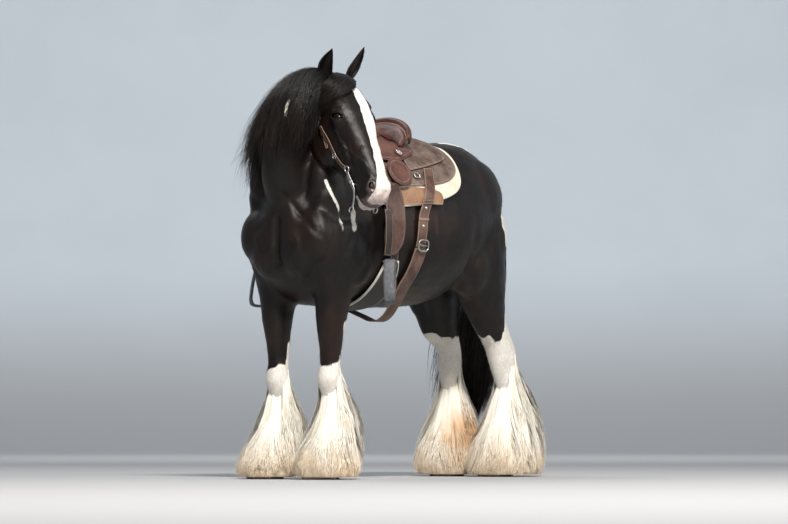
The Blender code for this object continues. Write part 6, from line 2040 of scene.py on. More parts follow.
horn = Paint("pale_horn", IOR=1.5)
streaks = horn.noise(190, 4.0, stretch=(1, 1, 0.08))
bands = horn.noise(60, 3.0, stretch=(0.1, 0.1, 2.0))
chalk = horn.mix((0.36, 0.27, 0.18), (0.19, 0.135, 0.090), streaks)
chalk = horn.mix(chalk, (0.50, 0.42, 0.32), bands * 0.5)
# The horn is darker over its lowest 3 cm, toward the floor.
near_floor = 1 - horn.between(horn.height() + streaks * 0.01, 0.006, 0.028)
horn.set(Base_Color=horn.mix(chalk, (0.12, 0.095, 0.072), near_floor * 0.7), Roughness=0.50 + 0.2 * streaks)
horn.bump(streaks * 0.5 + bands * 0.6, 0.0012, 0.8)
HIND_HOOF_Y = HINDLEG_Y + 0.012
for side, word in SIDES:
    for foot, *stand in (("fore", FORELEG_X, FORELEG_Y), ("hind", HINDLEG_X, HIND_HOOF_Y, TOE_OUT[side])):
        piece = hoof(leg_place(side, *stand), f"horn_{foot}_{word}")
        horn.on(piece)
        finished(piece, f"horn_{foot}_{word}", "hoof", f"hoof_{foot}_{word}")
print("eyes and hooves in place")

# %% [markdown]
# ## Long hair
#
# Hair grows in clumps: a few hundred shafts stick together, part, and meet again toward the tip. So each
# lock is first one guide line with a width and a depth, and its strands are laid round that line. A
# strand is a thin closed prism of three sides, and all the strands of a piece are built at once as
# arrays, because there are thousands.


# %% Strands
def bake_map(mesh, spots):
    """The map OFBake, from one spot for each vertex."""
    order = np.empty(len(mesh.loops), int)
    mesh.loops.foreach_get("vertex_index", order)
    layer = mesh.uv_layers.new(name="OFBake")
    layer.data.foreach_set("uv", np.clip(spots, 0.001, 0.999).reshape(-1, 2)[order].ravel())


def strands(name, paths, outs, widths, rise, roots, tone, white, soft=0.0):
    """One mesh of closed strands of three sides. paths and outs go by strand and station, as widths do."""
    count, stations = paths.shape[:2]
    along = np.gradient(paths, axis=1)
    side = np.cross(along, outs)
    side /= np.linalg.norm(side, axis=2, keepdims=True) + 1e-9
    over = np.cross(side, along)
    over /= np.linalg.norm(over, axis=2, keepdims=True) + 1e-9
    over *= np.sign((over * outs).sum(axis=2, keepdims=True) + 1e-9)
    wide = side * widths[..., None]
    rings = np.stack([paths - wide, paths + over * (widths * rise)[..., None], paths + wide], axis=2)
    ring = 3 * np.arange(count * stations).reshape(count, stations)
    near, far, faces = ring[:, :-1], ring[:, 1:], []
    for a, b in ((0, 1), (1, 2), (2, 0)):
        faces.append(np.stack([near + a, near + b, far + b, far + a], axis=-1).reshape(-1, 4))
    quads = np.concatenate(faces)
    caps = np.concatenate([ring[:, :1] + (0, 2, 1), ring[:, -1:] + (0, 1, 2)])
    corners = np.concatenate([quads.ravel(), caps.ravel()])
    sizes = np.concatenate([np.full(len(quads), 4), np.full(len(caps), 3)])
    mesh = bpy.data.meshes.new(name)
    mesh.vertices.add(rings.size // 3)
    mesh.vertices.foreach_set("co", rings.ravel())
    mesh.loops.add(len(corners))
    mesh.loops.foreach_set("vertex_index", corners)
    mesh.polygons.add(len(sizes))
    mesh.polygons.foreach_set("loop_start", np.concatenate([[0], np.cumsum(sizes)[:-1]]))
    mesh.update(calc_edges=True)
    mesh.validate()
    obj = bpy.data.objects.new(name, mesh)
    bpy.context.scene.collection.objects.link(obj)
    bm = bmesh.new()
    bm.from_mesh(mesh)
    if bm.calc_volume(signed=True) < 0:
        bmesh.ops.reverse_faces(bm, faces=bm.faces)
        bm.to_mesh(mesh)
    bm.free()
    share = np.broadcast_to(np.linspace(0, 1, stations)[None, :, None], (count, stations, 3))
    keep(obj, "share", share.ravel())
    keep(obj, "tone", np.repeat(tone, stations * 3))
    keep(obj, "white", np.repeat(white, stations * 3))
    patch = np.empty((count, stations, 3, 2))
    patch[..., 0] = roots[:, None, None, 0] + 0.0015 * np.array([-1, 0, 1])
    patch[..., 1] = roots[:, None, None, 1] + 0.003 * (share - 0.5)
    bake_map(mesh, patch)
    mesh.shade_smooth()
    if soft:
        ways = outs / (np.linalg.norm(outs, axis=2, keepdims=True) + 1e-9)
        own = np.stack([-side, over, side], axis=2) * (1 - soft) + ways[:, :, None] * soft
        own /= np.linalg.norm(own, axis=3, keepdims=True) + 1e-9
        mesh.normals_split_custom_set_from_vertices(own.reshape(-1, 3).tolist())
    print(name, count, "strands,", int((sizes - 2).sum()), "triangles")
    return obj


def resampled(lines, shares):
    """Points of each line at the shares of its length, lines and shares line by station."""
    stations = lines.shape[1]
    place = np.clip(shares, 0, 1) * (stations - 1)
    low = np.minimum(place.astype(int), stations - 2)
    part = (place - low)[..., None]
    rows = np.arange(len(lines))[:, None]
    return lines[rows, low] * (1 - part) + lines[rows, low + 1] * part


def clumped(guides, outs, wide, deep, count, stations, curl=0.004, shortest=0.72):
    """Strands round guide lines. All arrays are guide by station; count strands stand round each guide."""
    total = len(guides) * count
    which = np.repeat(np.arange(len(guides)), count)
    turn, reach = dice.uniform(0, math.tau, total), np.sqrt(dice.uniform(0, 1, total))
    a, b = reach * np.cos(turn), reach * np.sin(turn)
    length = 1 - (1 - shortest) * dice.uniform(0, 1, total) ** 1.5
    shares = np.linspace(0, 1, stations)[None, :] * length[:, None]
    line, out = resampled(guides[which], shares), resampled(outs[which], shares)
    along = np.gradient(line, axis=1)
    side = np.cross(along, out)
    side /= np.linalg.norm(side, axis=2, keepdims=True) + 1e-9
    breadth = resampled(wide[which][..., None], shares)[..., 0]
    depth = resampled(deep[which][..., None], shares)[..., 0]
    phase, speed = dice.uniform(0, math.tau, (total, 1)), dice.uniform(5, 11, (total, 1))
    sway = curl * shares * np.sin(speed * shares + phase)
    lift = curl * shares * np.cos(0.8 * speed * shares + 2 * phase)
    aside, up = a[:, None] * breadth + sway, b[:, None] * depth + lift
    return line + side * aside[..., None] + out * up[..., None], out, which


# %% Guides over the skin, along the crest, round the legs and down the tail
GUIDE_STATIONS = 24


def locks_of(rows):
    """Rows of path, ways out, half widths, depths and place of the root, turned into an array of each."""
    return [np.array(values, float) for values in zip(*rows)]


def along_lock(marks, values, stations=GUIDE_STATIONS):
    """A measure that changes along a lock, from its values at marks between 0 and 1."""
    return np.interp(np.linspace(0, 1, stations), marks, values)


def combed(start, pull, length, low, lift):
    """A guide that leaves start and follows the skin, drawn by a pull, rising from low to lift above it."""
    point, path, outs = Vector(start), [], []
    for t in np.linspace(0, 1, GUIDE_STATIONS).tolist():
        spot, out, _, _ = skin_tree.find_nearest(point)
        path.append(spot + out * (low + (lift - low) * t - 0.010 * max(0, 1 - 12 * t)))
        outs.append(out)
        way = Vector(pull(t))
        point = spot + (way - out * way.dot(out)).normalized() * length / (GUIDE_STATIONS - 1)
    return path, outs


def crest(t):
    """The point of the crest at t from 0, the poll, to 1, the withers."""
    tops = [Vector(centre) + Vector(up).normalized() * rise for centre, up, _, rise, _ in NECK[:1:-1]]
    rows = passed_through(tops, 61)
    steps = np.linalg.norm(np.diff(rows, axis=0), axis=1)
    along = np.concatenate(([0], np.cumsum(steps)))
    return Vector([float(np.interp(t * along[-1], along, rows[:, axis])) for axis in range(3)])


FORE_BELL = (  # height, half width, reach to the front, reach to the back, forward shift
    (0.500, 0.038, 0.030, 0.046, 0.000),
    (0.447, 0.042, 0.036, 0.090, 0.000),
    (0.400, 0.047, 0.042, 0.116, 0.000),
    (0.285, 0.072, 0.062, 0.150, 0.004),
    (0.200, 0.096, 0.088, 0.168, 0.018),
    (0.123, 0.120, 0.118, 0.176, 0.036),
    (0.060, 0.140, 0.136, 0.162, 0.050),
    (0.010, 0.144, 0.142, 0.152, 0.056),
)
HIND_BELL = (
    (0.570, 0.036, 0.034, 0.050, 0.000),
    (0.480, 0.043, 0.042, 0.092, 0.000),
    (0.410, 0.057, 0.054, 0.132, 0.000),
    (0.350, 0.074, 0.078, 0.154, 0.002),
    (0.236, 0.112, 0.116, 0.180, 0.012),
    (0.150, 0.138, 0.138, 0.192, 0.028),
    (0.063, 0.158, 0.150, 0.198, 0.045),
    (0.010, 0.160, 0.152, 0.192, 0.050),
)
TAIL = (  # centre, half width and half depth
    (0.000, 0.600, 1.300, 0.026, 0.026),
    (0.000, 0.665, 1.272, 0.044, 0.038),
    (-0.002, 0.716, 1.195, 0.058, 0.046),
    (-0.012, 0.742, 1.080, 0.068, 0.050),
    (-0.040, 0.760, 0.920, 0.082, 0.050),
    (-0.085, 0.778, 0.740, 0.100, 0.048),
    (-0.140, 0.794, 0.560, 0.126, 0.044),
    (-0.190, 0.803, 0.400, 0.148, 0.036),
    (-0.225, 0.806, 0.270, 0.142, 0.026),
    (-0.235, 0.806, 0.235, 0.110, 0.014),
)


def bell_at(bell, swing, height, turn):
    """A point of a feather's bell at that height, its axis there, and the way out of it."""
    heights, *columns = zip(*bell[::-1])
    width, front, back, forward = (np.interp(height, heights, values) for values in columns)
    c, s = math.cos(turn), math.sin(turn)
    along = front if s > 0 else back
    out = Vector((width * c, -along * s, 0))
    axis = Vector((0, -forward, height))
    return swing @ (axis + out), swing @ axis, (swing.to_3x3() @ out).normalized()


TAIL_STEPS = 79
TAIL_ROWS = passed_through(TAIL, TAIL_STEPS + 1)


def tail_at(t):
    """Centre, half width and half depth of the tail at t from 0, the dock, to 1, the tip."""
    row = TAIL_ROWS[round(TAIL_STEPS * min(max(t, 0), 1))]
    return Vector(row[:3]), row[3], row[4]


# %% [markdown]
# ## Mane and forelock
#
# The mane falls to the right side of the neck, and the wind takes its ends toward the front. Locks leave
# the crest one after the other in three layers, with thinner wisps over them. The forelock lies across
# the forehead to the right.

# %% Mane
THICKER = 1.0
HAIR_STATIONS = 8
LEEWARD = Vector((-0.799, -0.602, 0))
HAIR_PROFILE = np.interp(np.linspace(0, 1, HAIR_STATIONS), (0, 0.3, 0.8, 1), (0.8, 1, 0.8, 0.12))


def mane_guides(locks, layers, last, reach, blow):
    """Locks from the poll to last along the crest, in layers that lie higher and blow further."""
    rows = []
    for k in range(locks):
        place = min(max((k + chance.uniform(-0.3, 0.3)) / (locks - 1), 0), 1)
        t = last * place**1.35
        layer = layers[k % len(layers)]
        wind = 0.04 + 0.09 * layer + 0.08 * (1 - t) + chance.uniform(-0.07, 0.07)
        phase, wave = chance.uniform(0, math.tau), chance.uniform(0.10, 0.30)
        over = (crest(max(t - 0.03, 0)) - crest(min(t + 0.03, 1))).cross((0, 0, 1)).normalized()

        def pull(s):
            aside = LEEWARD * (wind * min(1, 0.3 + 2 * s) + wave * s * math.sin(6 * s + phase))
            return aside + over * (1.3 * max(0, 1 - 2.2 * s)) + Vector((0, 0, -1))

        length = reach * (1 - 0.10 * t) * chance.uniform(0.76, 1.08)
        low = 0.006 + 0.009 * layer
        path, out = combed(crest(t), pull, length, low, low + 0.016 + 0.010 * layer)
        away = (LEEWARD + Vector((0, 0, 0.25))) * (blow * (0.3 + layer) * chance.uniform(0.5, 1.3))
        share = np.linspace(0, 1, GUIDE_STATIONS)
        path = np.array(path) + np.array(away) * (np.maximum(0, share - 0.35) ** 1.6)[:, None]
        wide = along_lock((0, 0.2, 0.6, 0.9, 1), (0.007, 0.012, 0.016, 0.013, 0.008))
        rows.append((path, out, wide, along_lock((0, 0.2, 0.7, 1), (0.005, 0.009, 0.011, 0.010)), (t, 0.5)))
    return locks_of(rows)


STRAY = 0.04


def squeezed(past):
    """Values below zero, drawn in so that they never pass -STRAY."""
    return np.where(past < 0, STRAY * np.tanh(past / STRAY), past)


def hair_piece(name, locks, count, half_width, curl, shortest=0.72, pale=0.0, soft=0.0, scatter=0.012):
    """Locks filled with strands, as one piece that passes the solids' box by 3 cm at most."""
    *lines, spots = locks
    lines, ways, which = clumped(*lines, round(count * THICKER), HAIR_STATIONS, curl, shortest)
    for axis in (0, 1):
        low = CAD_BOX[0][axis] - SHIFT[axis] + 0.01
        lines[..., axis] = low + squeezed(lines[..., axis] - low)
    lines[..., 2] = np.maximum(lines[..., 2], 0.002)
    widths = half_width * dice.uniform(0.6, 1.3, (len(lines), 1)) * HAIR_PROFILE
    roots = spots[which] + dice.uniform(-scatter, scatter, (len(lines), 2))
    tone, white = dice.uniform(0, 1, len(lines)), np.full(len(lines), pale)
    return strands(name, lines, ways, widths, 0.8, roots, tone, white, soft)


mane = hair_piece("mane", mane_guides(88, (0, 1, 2), 0.97, 0.46, 0.008), 44, 0.0014, 0.009)
wisps = mane_guides(50, (1.2, 1.9, 2.6), 0.95, 0.48, 0.030)
wisps[2] = wisps[2] * 1.6
mane_wisps = hair_piece("mane_wisps", wisps, 30, 0.0008, 0.020, 0.50)

# One short white lock lies over the black ones
TUFT_ROOT = (0.140, -0.880, 1.585)
path, out = combed(TUFT_ROOT, lambda s: LEEWARD * 0.3 - Vector((0, 0, 1)), 0.085, 0.034, 0.046)
path = np.array(path) + 0.018 * np.array(out)
tuft = [(path, out, np.full(GUIDE_STATIONS, 0.005), np.full(GUIDE_STATIONS, 0.003), (0.2, 0.5))]
white_tuft = hair_piece("white_tuft", locks_of(tuft), 26, 0.0008, 0.006, 0.5, pale=1.0)


# %% Forelock
# Across the forehead: points of the lowest lock and of the highest, in the head's frame
LOW_LOCK = (
    (0.040, 0.030, -0.004),
    (0.034, 0.092, -0.072),
    (-0.040, 0.086, -0.128),
    (-0.098, 0.010, -0.160),
    (-0.100, -0.080, -0.165),
)
HIGH_LOCK = (
    (-0.034, 0.008, 0.004),
    (-0.058, 0.040, -0.030),
    (-0.078, 0.040, -0.062),
    (-0.094, -0.010, -0.090),
    (-0.104, -0.085, -0.110),
)


def evenly(points):
    """The points of a line, passed on at as many stations as a guide has."""
    return resampled(np.array(points)[None], np.linspace(0, 1, GUIDE_STATIONS)[None])[0]


def forelock_guides(locks):
    """Locks that start between the ears and cross the forehead, each a little shorter or longer."""
    rows = []
    for k in range(locks):
        spread = min(max((k + chance.uniform(-0.4, 0.4)) / (locks - 1), 0), 1)
        marks = [Vector(a).lerp(Vector(b), spread) for a, b in zip(LOW_LOCK, HIGH_LOCK)]
        reach = chance.uniform(0.80, 1.0)
        layer = k % 3
        path, out = [], []
        length = GUIDE_STATIONS * reach
        for i, point in enumerate(passed_through(marks, GUIDE_STATIONS)[: round(length)]):
            spot, way, _, _ = skin_tree.find_nearest(head_point(*point))
            share = i / length
            lift = 0.004 + 0.006 * layer + 0.014 * share - 0.010 * max(0, 1 - 12 * share)
            path.append(spot + way * lift)
            out.append(way)
        wide = along_lock((0, 0.3, 0.8, 1), (0.006, 0.010, 0.009, 0.006))
        deep = along_lock((0, 0.3, 1), (0.003, 0.007, 0.008))
        rows.append((evenly(path), evenly(out), wide, deep, (0.3 + 0.4 * spread, 0.5)))
    return locks_of(rows)


forelock = hair_piece("forelock", forelock_guides(38), 44, 0.0010, 0.008, 0.62)

# %% [markdown]
# ## Feathers
#
# The long hair below the knees and hocks starts as a narrow line down the back of the leg and opens into
# a bell that hides the hoof. Tiers of locks lie over one another like shingles.

# %% Feather of each foot
FEATHER_STATIONS = 18


def feather(bell, swing, tiers, full):
    """Guides of one foot. A tier is its locks, arc, the heights it runs between, and how high it lies."""
    rows = []
    for count, first, spread, start, end, over in tiers:
        for k in range(count):
            turn = first + spread * (k + 0.5 + chance.uniform(-0.3, 0.3)) / count
            lean, curve = chance.uniform(-14, 14), chance.uniform(-6, 6)
            begin = start + chance.uniform(-0.02, 0.02)
            finish = max(end + chance.uniform(0, 0.022), 0.004)
            path, out, breadth = [], [], []
            for i in range(FEATHER_STATIONS):
                s = i / (FEATHER_STATIONS - 1)
                angle = math.radians(turn + lean * s * s + curve * math.sin(5 * s))
                height = begin + (finish - begin) * s**0.85
                point, axis, way = bell_at(bell, swing, height, angle)
                radius = (point - axis).length * (full if math.sin(angle) < 0 else 1.0)
                if i == 0:
                    hit = skin_tree.ray_cast(axis + (point - axis).normalized() * 0.14, axis - point)[0]
                    root = (hit - axis).length - 0.002 if hit else 0.034
                grown = float(np.interp(s, (0, 0.35, 0.65, 1), (0, 0.62, 0.92, 1.0)))
                reach = max(root + (radius + over - root) * grown, min(root, radius + 0.02))
                path.append(axis + (point - axis).normalized() * reach)
                out.append(way + Vector((0, 0, 0.35)))
                breadth.append(reach * math.radians(spread / count) * 0.85)
            wide = breadth * along_lock((0, 0.4, 0.8, 1), (0.7, 1, 0.9, 0.60), FEATHER_STATIONS)
            deep = along_lock((0, 0.3, 0.8, 1), (0.002, 0.006, 0.009, 0.006), FEATHER_STATIONS)
            rows.append((path, out, wide, deep, ((turn % 360) / 360, min(begin / bell[0][0], 1))))
    return locks_of(rows)


def under_feather(name, bell, swing, full):
    """The soft mass of hair under the locks: a bell with a hollow for the hoof."""
    top, steps, sectors, walls = bell[0][0], 22, 56, []
    heights = np.linspace(top - 0.02, 0.010, steps)
    for shrink, run in ((0.0, heights), (0.024, heights[::-1])):
        for height in run:
            ring = []
            for k in range(sectors):
                turn = math.tau * k / sectors
                point, axis, _ = bell_at(bell, swing, height, turn)
                radius = (point - axis).length * (full if math.sin(turn) < 0 else 1.0)
                flute = 0.004 * math.sin(9 * turn + 6 * height) + 0.003 * math.sin(17 * turn - 9 * height)
                slim = float(np.interp(top - height, (0.02, 0.16), (0.62, 1.0)))
                reach = max(0.90 * slim * radius - 0.006 + flute * min(1, radius / 0.08) - shrink, 0.012)
                ring.append(axis + (point - axis).normalized() * reach)
            walls.append(ring)
    piece = loft(name, walls, closed=True)
    down = np.linspace(0, 1, steps)
    share = np.repeat(np.concatenate([down, down[::-1]]), sectors)
    keep(piece, "share", share)
    keep(piece, "tone", np.full(len(share), 0.55))
    keep(piece, "white", np.ones(len(share)))
    around = np.tile(np.linspace(0.002, 0.998, sectors), 2 * steps)
    bake_map(piece.data, np.column_stack([around, np.clip(share, 0.002, 0.998)]))
    piece.data.shade_smooth()
    return piece


FORE_TIERS = (
    (24, 90, 360, 0.19, 0.004, -0.010),
    (24, 90, 360, 0.27, 0.006, -0.002),
    (20, 90, 360, 0.34, 0.030, 0.003),
    (16, 160, 220, 0.43, 0.190, 0.001),
    (13, 150, 240, 0.42, 0.075, 0.006),
    (10, 175, 190, 0.48, 0.160, 0.004),
)
HIND_TIERS = (
    (24, 90, 360, 0.21, 0.004, -0.010),
    (24, 90, 360, 0.30, 0.006, -0.002),
    (20, 90, 360, 0.38, 0.030, 0.003),
    (16, 160, 220, 0.47, 0.220, 0.001),
    (13, 150, 240, 0.48, 0.080, 0.006),
    (10, 175, 190, 0.55, 0.180, 0.004),
)
feathers, under_feathers = {}, {}
for side, word in SIDES:
    for foot, x, y, turn, bell, tiers, full in (
        ("fore", FORELEG_X, FORELEG_Y, 0.0, FORE_BELL, FORE_TIERS, 1.0),
        ("hind", HINDLEG_X, HIND_HOOF_Y, TOE_OUT[side], HIND_BELL, HIND_TIERS, 1.12 if side > 0 else 1.0),
    ):
        swing, name = leg_place(side, x, y, turn), f"feather_{foot}_{word}"
        locks = feather(bell, swing, tiers, full)
        feathers[name] = hair_piece(name, locks, 36, 0.0013, 0.007, 0.84, pale=1.0, soft=0.50, scatter=0.02)
        under_feathers[name] = under_feather(f"under_{name}", bell, swing, full)


# %% Short hairs that stand off the skin
def short_hairs(count):
    """Single hairs over the skin, along the run of the coat, more of them where the form turns under."""
    faces = skin.data.polygons
    areas, centres, normals = np.empty(len(faces)), np.empty(3 * len(faces)), np.empty(3 * len(faces))
    faces.foreach_get("area", areas)
    faces.foreach_get("center", centres)
    faces.foreach_get("normal", normals)
    centres, normals = centres.reshape(-1, 3) - np.array(SHIFT), normals.reshape(-1, 3)
    weight = areas * (0.5 + np.clip(-normals[:, 2], 0, 1) + 0.8 * (centres[:, 2] < 0.62))
    picked = dice.choice(len(areas), count, p=weight / weight.sum())
    spots, outs = centres[picked], normals[picked]
    pale, _, on_face, on_leg = markings(spots)
    down_face = np.array(INTO_PLACE.to_3x3() @ Vector((0, 0, -1)))
    run = np.tile((0.0, 0.75, -0.65), (count, 1))
    run = run * (1 - on_leg[:, None]) + np.array((0, 0.1, -1.0)) * on_leg[:, None]
    run = run * (1 - on_face[:, None]) + down_face * on_face[:, None]
    run += dice.normal(0, 0.18, (count, 3))
    run -= outs * (run * outs).sum(axis=1, keepdims=True)
    run /= np.linalg.norm(run, axis=1, keepdims=True) + 1e-9
    length = (0.013 - 0.006 * on_face + 0.008 * on_leg) * dice.uniform(0.6, 1.3, count)
    share = np.array((0.0, 0.5, 1.0))[None, :, None]
    stand = dice.uniform(0.16, 0.42, (count, 1, 1))
    paths = spots[:, None] + run[:, None] * length[:, None, None] * share
    paths += outs[:, None] * (length[:, None, None] * stand * share**0.8 - 0.0012 * (share == 0))
    widths = np.tile(0.00055 * np.array((1.0, 0.8, 0.15)), (count, 1))
    around = np.arctan2(spots[:, 0], spots[:, 2] - AXIS_HEIGHT) / math.tau + 0.5
    roots = np.column_stack([(spots[:, 1] + 1.0) / 2.0, around])
    outs = np.repeat(outs[:, None], 3, axis=1)
    tone, white = dice.uniform(0, 1, count), (pale > 0.5) * 1.0
    return strands("short_hairs", paths, outs, widths, 0.8, roots, tone, white, 0.6)


SHORT_HAIRS = 10500
short = short_hairs(round(SHORT_HAIRS * THICKER))

# %% [markdown]
# ## Tail
#
# The dock carries the hair for its first third. From there it falls free, widens, and is swung toward the
# right leg.

# %% Tail
TAIL_LAYERS = ((16, 0.30, 1.00, 0.45), (18, 0.20, 1.00, 0.75), (14, 0.04, 0.90, 1.00))
rows = []
for count, start, end, reach_out in TAIL_LAYERS:
    for k in range(count):
        turn = math.tau * (k + 0.5 + chance.uniform(-0.3, 0.3)) / count
        begin, finish = start + chance.uniform(-0.04, 0.04), end - chance.uniform(0, 0.12)
        path, out, breadth = [], [], []
        for i in range(GUIDE_STATIONS):
            s = i / (GUIDE_STATIONS - 1)
            centre, half_wide, half_deep = tail_at(begin + (finish - begin) * s)
            reach = reach_out * float(np.interp(s, (0, 0.15, 0.5, 1), (0.55, 0.95, 1.0, 0.95)))
            angle = turn + 0.35 * math.sin(2.5 * s + k)
            c, s = math.cos(angle), math.sin(angle)
            path.append(centre + Vector((half_wide * reach * c, half_deep * reach * s, 0)))
            out.append(Vector((half_deep * c, half_wide * s, 0)).normalized())
            breadth.append(0.55 * math.hypot(half_wide, half_deep) * math.tau / count)
        wide = breadth * along_lock((0, 0.3, 0.8, 1), (0.5, 0.8, 0.7, 0.3))
        deep = along_lock((0, 0.3, 0.8, 1), (0.004, 0.010, 0.012, 0.006))
        rows.append((path, out, wide, deep, ((turn / math.tau) % 1, 0.1 + 0.8 * begin)))
tail = hair_piece("tail", locks_of(rows), 72, 0.0016, 0.012, 0.62)

LOOSE_LOCKS = 15
rows = []
for k in range(LOOSE_LOCKS):
    begin, lean = chance.uniform(0.30, 0.55), chance.uniform(0.1, 1.0)
    start = tail_at(begin)[0]
    y, z = 0.800 + chance.uniform(-0.02, 0.015), chance.uniform(0.27, 0.44)
    finish = Vector((-0.27 - 0.145 * lean, y, z))
    middle = start.lerp(finish, 0.5) + Vector((-0.05 - 0.04 * lean, 0, 0.02))
    path, out = passed_through([start, middle, finish], GUIDE_STATIONS), [(0, 1, 0)] * GUIDE_STATIONS
    wide, deep = along_lock((0, 0.5, 1), (0.004, 0.014, 0.020)), np.full(GUIDE_STATIONS, 0.008)
    rows.append((path, out, wide, deep, (0.1 + 0.8 * k / (LOOSE_LOCKS - 1), 0.5)))
tail_wisps = hair_piece("tail_wisps", locks_of(rows), 16, 0.0010, 0.012, 0.6)

# %% [markdown]
# ## Finish of the long hair
#
# Black hair has a cool shine and burns brown toward its tips. White feather is cream at the root, and mud
# and rust stain it tan where it drags.

# %% Hair finishes
black_hair = Paint("black_hair", Roughness=0.42, IOR=1.5, Specular_IOR_Level=0.36)
share, tone = black_hair.kept("share"), black_hair.kept("tone")
burnt = black_hair.between(share + tone * 0.7, 0.95, 1.7)
deep, cool, lit = (0.0026, 0.0023, 0.0024), (0.0080, 0.0066, 0.0062), (0.030, 0.023, 0.019)
jet = black_hair.ramp(tone, (0.0, deep), (0.75, cool), (1.0, lit))
brown = black_hair.mix(jet, (0.042, 0.026, 0.017), burnt * 0.7)
white_shaft = black_hair.between(black_hair.kept("white"), 0.4, 0.6)
black_hair.set(Base_Color=black_hair.mix(brown, (0.70, 0.66, 0.58), white_shaft))
black_hair.on(mane, mane_wisps, white_tuft, forelock, short, tail, tail_wisps)

white_hair = Paint("white_feather", Roughness=0.60, IOR=1.5, Specular_IOR_Level=0.4)
share, tone = white_hair.kept("share"), white_hair.kept("tone")
straw, ivory, chalky = (0.76, 0.66, 0.50), (0.90, 0.84, 0.71), (0.96, 0.93, 0.87)
cream = white_hair.ramp(tone, (0.0, straw), (0.35, ivory), (1.0, chalky))
blotch = white_hair.noise(11, 4.0)
muddy = 1 - white_hair.between(white_hair.height() + (blotch - 0.5) * 0.24, 0.0, 0.19)
tan = white_hair.mix(cream, (0.66, 0.45, 0.25), muddy * (0.42 + 0.40 * tone))
RUST_SPOT = SHIFT + Vector((-0.045, 0.620, 0.175))
from_spot = white_hair.vector("DISTANCE", white_hair.place(), RUST_SPOT, out=1)
rusty = 1 - white_hair.between(from_spot + (blotch - 0.5) * 0.16 + (tone - 0.5) * 0.06, 0.040, 0.210)
patches = white_hair.between(blotch, 0.58, 0.72) * 0.30
stained = white_hair.mix(tan, (0.74, 0.50, 0.27), patches)
white_hair.set(Base_Color=white_hair.mix(stained, (0.60, 0.32, 0.12), rusty * 0.80))
white_hair.on(*feathers.values(), *under_feathers.values())

finished(mane, "mane", "black_coat")
finished(mane_wisps, "mane_wisps", "black_coat")
finished(white_tuft, "white_tuft", "white_hair")
finished(short, "short_hairs", "black_coat")
finished(forelock, "forelock", "black_coat")
finished(tail, "tail_hair", "tail_hair", "tail")
finished(tail_wisps, "tail_wisps", "tail_hair")
for name, piece in feathers.items():
    finished(piece, name, "white_hair")
    finished(under_feathers[name], f"under_{name}", "white_hair")

# %% [markdown]
# ## Floor, light and camera
#
# A pale studio floor that curves up all round. A strong lamp stands for the sun, a weak one fills the
# hind quarters, one overhead is the sky, and one lights the backdrop. The camera stands low and far off,
# as in the picture.

# %% Stage
FLAT_REACH, CURVE, WALL_HEIGHT, FLOOR_SECTORS = 19, 6, 16, 96


def dish():
    """A floor that runs flat past the camera and curves up all round."""
    profile = [(0.5, 0.0), (8.0, 0.0), (FLAT_REACH, 0.0)]
    for turn in np.linspace(0.1, math.pi / 2, 16):
        profile.append((FLAT_REACH + CURVE * math.sin(turn), CURVE - CURVE * math.cos(turn)))
    profile.append((FLAT_REACH + CURVE, WALL_HEIGHT))
    bm = bmesh.new()
    rings = []
    for radius, height in profile:
        rings.append([bm.verts.new((radius * c, radius * s, height)) for c, s in circle(FLOOR_SECTORS)])
    bm.faces.new(rings[0])
    for first, second in zip(rings, rings[1:]):
        for k in range(FLOOR_SECTORS):
            after = (k + 1) % FLOOR_SECTORS
            bm.faces.new((first[k], second[k], second[after], first[after]))
    mesh = bpy.data.meshes.new("studio_floor")
    bm.to_mesh(mesh)
    bm.free()
    obj = bpy.data.objects.new("studio_floor", mesh)
    bpy.context.scene.collection.objects.link(obj)
    return obj


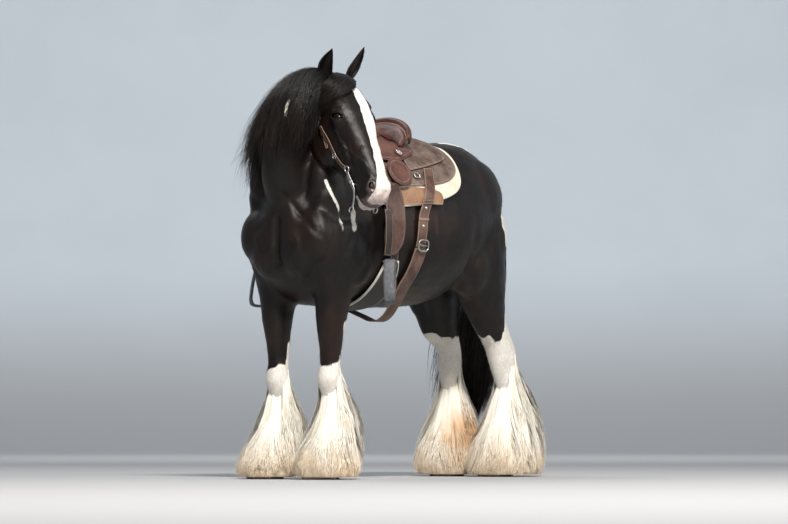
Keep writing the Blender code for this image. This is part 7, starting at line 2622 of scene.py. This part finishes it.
floor = dish()
floor_paint = Paint("pale_floor", Roughness=0.85)
tint = floor_paint.ramp(floor_paint.noise(0.6), (0.3, (0.68, 0.72, 0.76)), (0.7, (0.73, 0.77, 0.81)))
climb = floor_paint.height()
floor_paint.set(Base_Color=floor_paint.mix((0.40, 0.40, 0.405), tint, floor_paint.between(climb, 0.0, 2.2)))
floor_paint.on(floor)
floor.data.shade_smooth()


def lamp(name, place, target, size, power, colour):
    """A soft lamp that faces its target."""
    light = bpy.data.lights.new(name, "AREA")
    light.shape, light.size, light.size_y = "RECTANGLE", size, size * 0.7
    light.energy, light.color = power, colour
    obj = bpy.data.objects.new(name, light)
    obj.location = place
    obj.rotation_euler = (Vector(target) - Vector(place)).to_track_quat("-Z", "Y").to_euler()
    bpy.context.scene.collection.objects.link(obj)


lamp("sun_side", (5.4, -5.2, 7.4), (0, 0, 0.9), 1.8, 1380, (1.0, 0.965, 0.91))
lamp("right_fill", (7.5, 3.2, 4.0), (0, 0, 0.5), 4.0, 170, (1.0, 0.98, 0.95))
lamp("far_sky", (-4.5, 0.5, 8.0), (0, 0, 0.8), 4.0, 200, (0.92, 0.96, 1.0))
lamp("backdrop", (-5.5, 7.0, 9.0), (-15.0, 20.0, 4.0), 7.0, 1000, (0.95, 0.98, 1.0))
world = bpy.data.worlds.new("studio_air")
world.use_nodes = True
air = world.node_tree.nodes["Background"].inputs
air["Color"].default_value = (0.86, 0.91, 0.97, 1)
air["Strength"].default_value = 0.36
bpy.context.scene.world = world

# %% Camera
# Width, focal length and rise of the view are in pixels of the picture, the sensor is in millimetres
IMAGE_WIDTH, FOCAL, RISE, SENSOR = 788, 3640, 170, 36
AZIMUTH, DISTANCE, EYE_HEIGHT = math.radians(37), 16.0, 0.20
camera = bpy.data.cameras.new("camera")
camera.sensor_width = SENSOR
camera.lens = SENSOR * FOCAL / IMAGE_WIDTH
viewer = bpy.data.objects.new("camera", camera)
bpy.context.scene.collection.objects.link(viewer)
viewer.location = Vector((DISTANCE * math.sin(AZIMUTH), -DISTANCE * math.cos(AZIMUTH), EYE_HEIGHT)) + SHIFT
viewer.rotation_euler = (math.radians(90) + math.atan(RISE / FOCAL), 0, AZIMUTH)
camera.clip_end = 100
bpy.context.scene.camera = viewer
bpy.context.scene.view_settings.view_transform = "Standard"
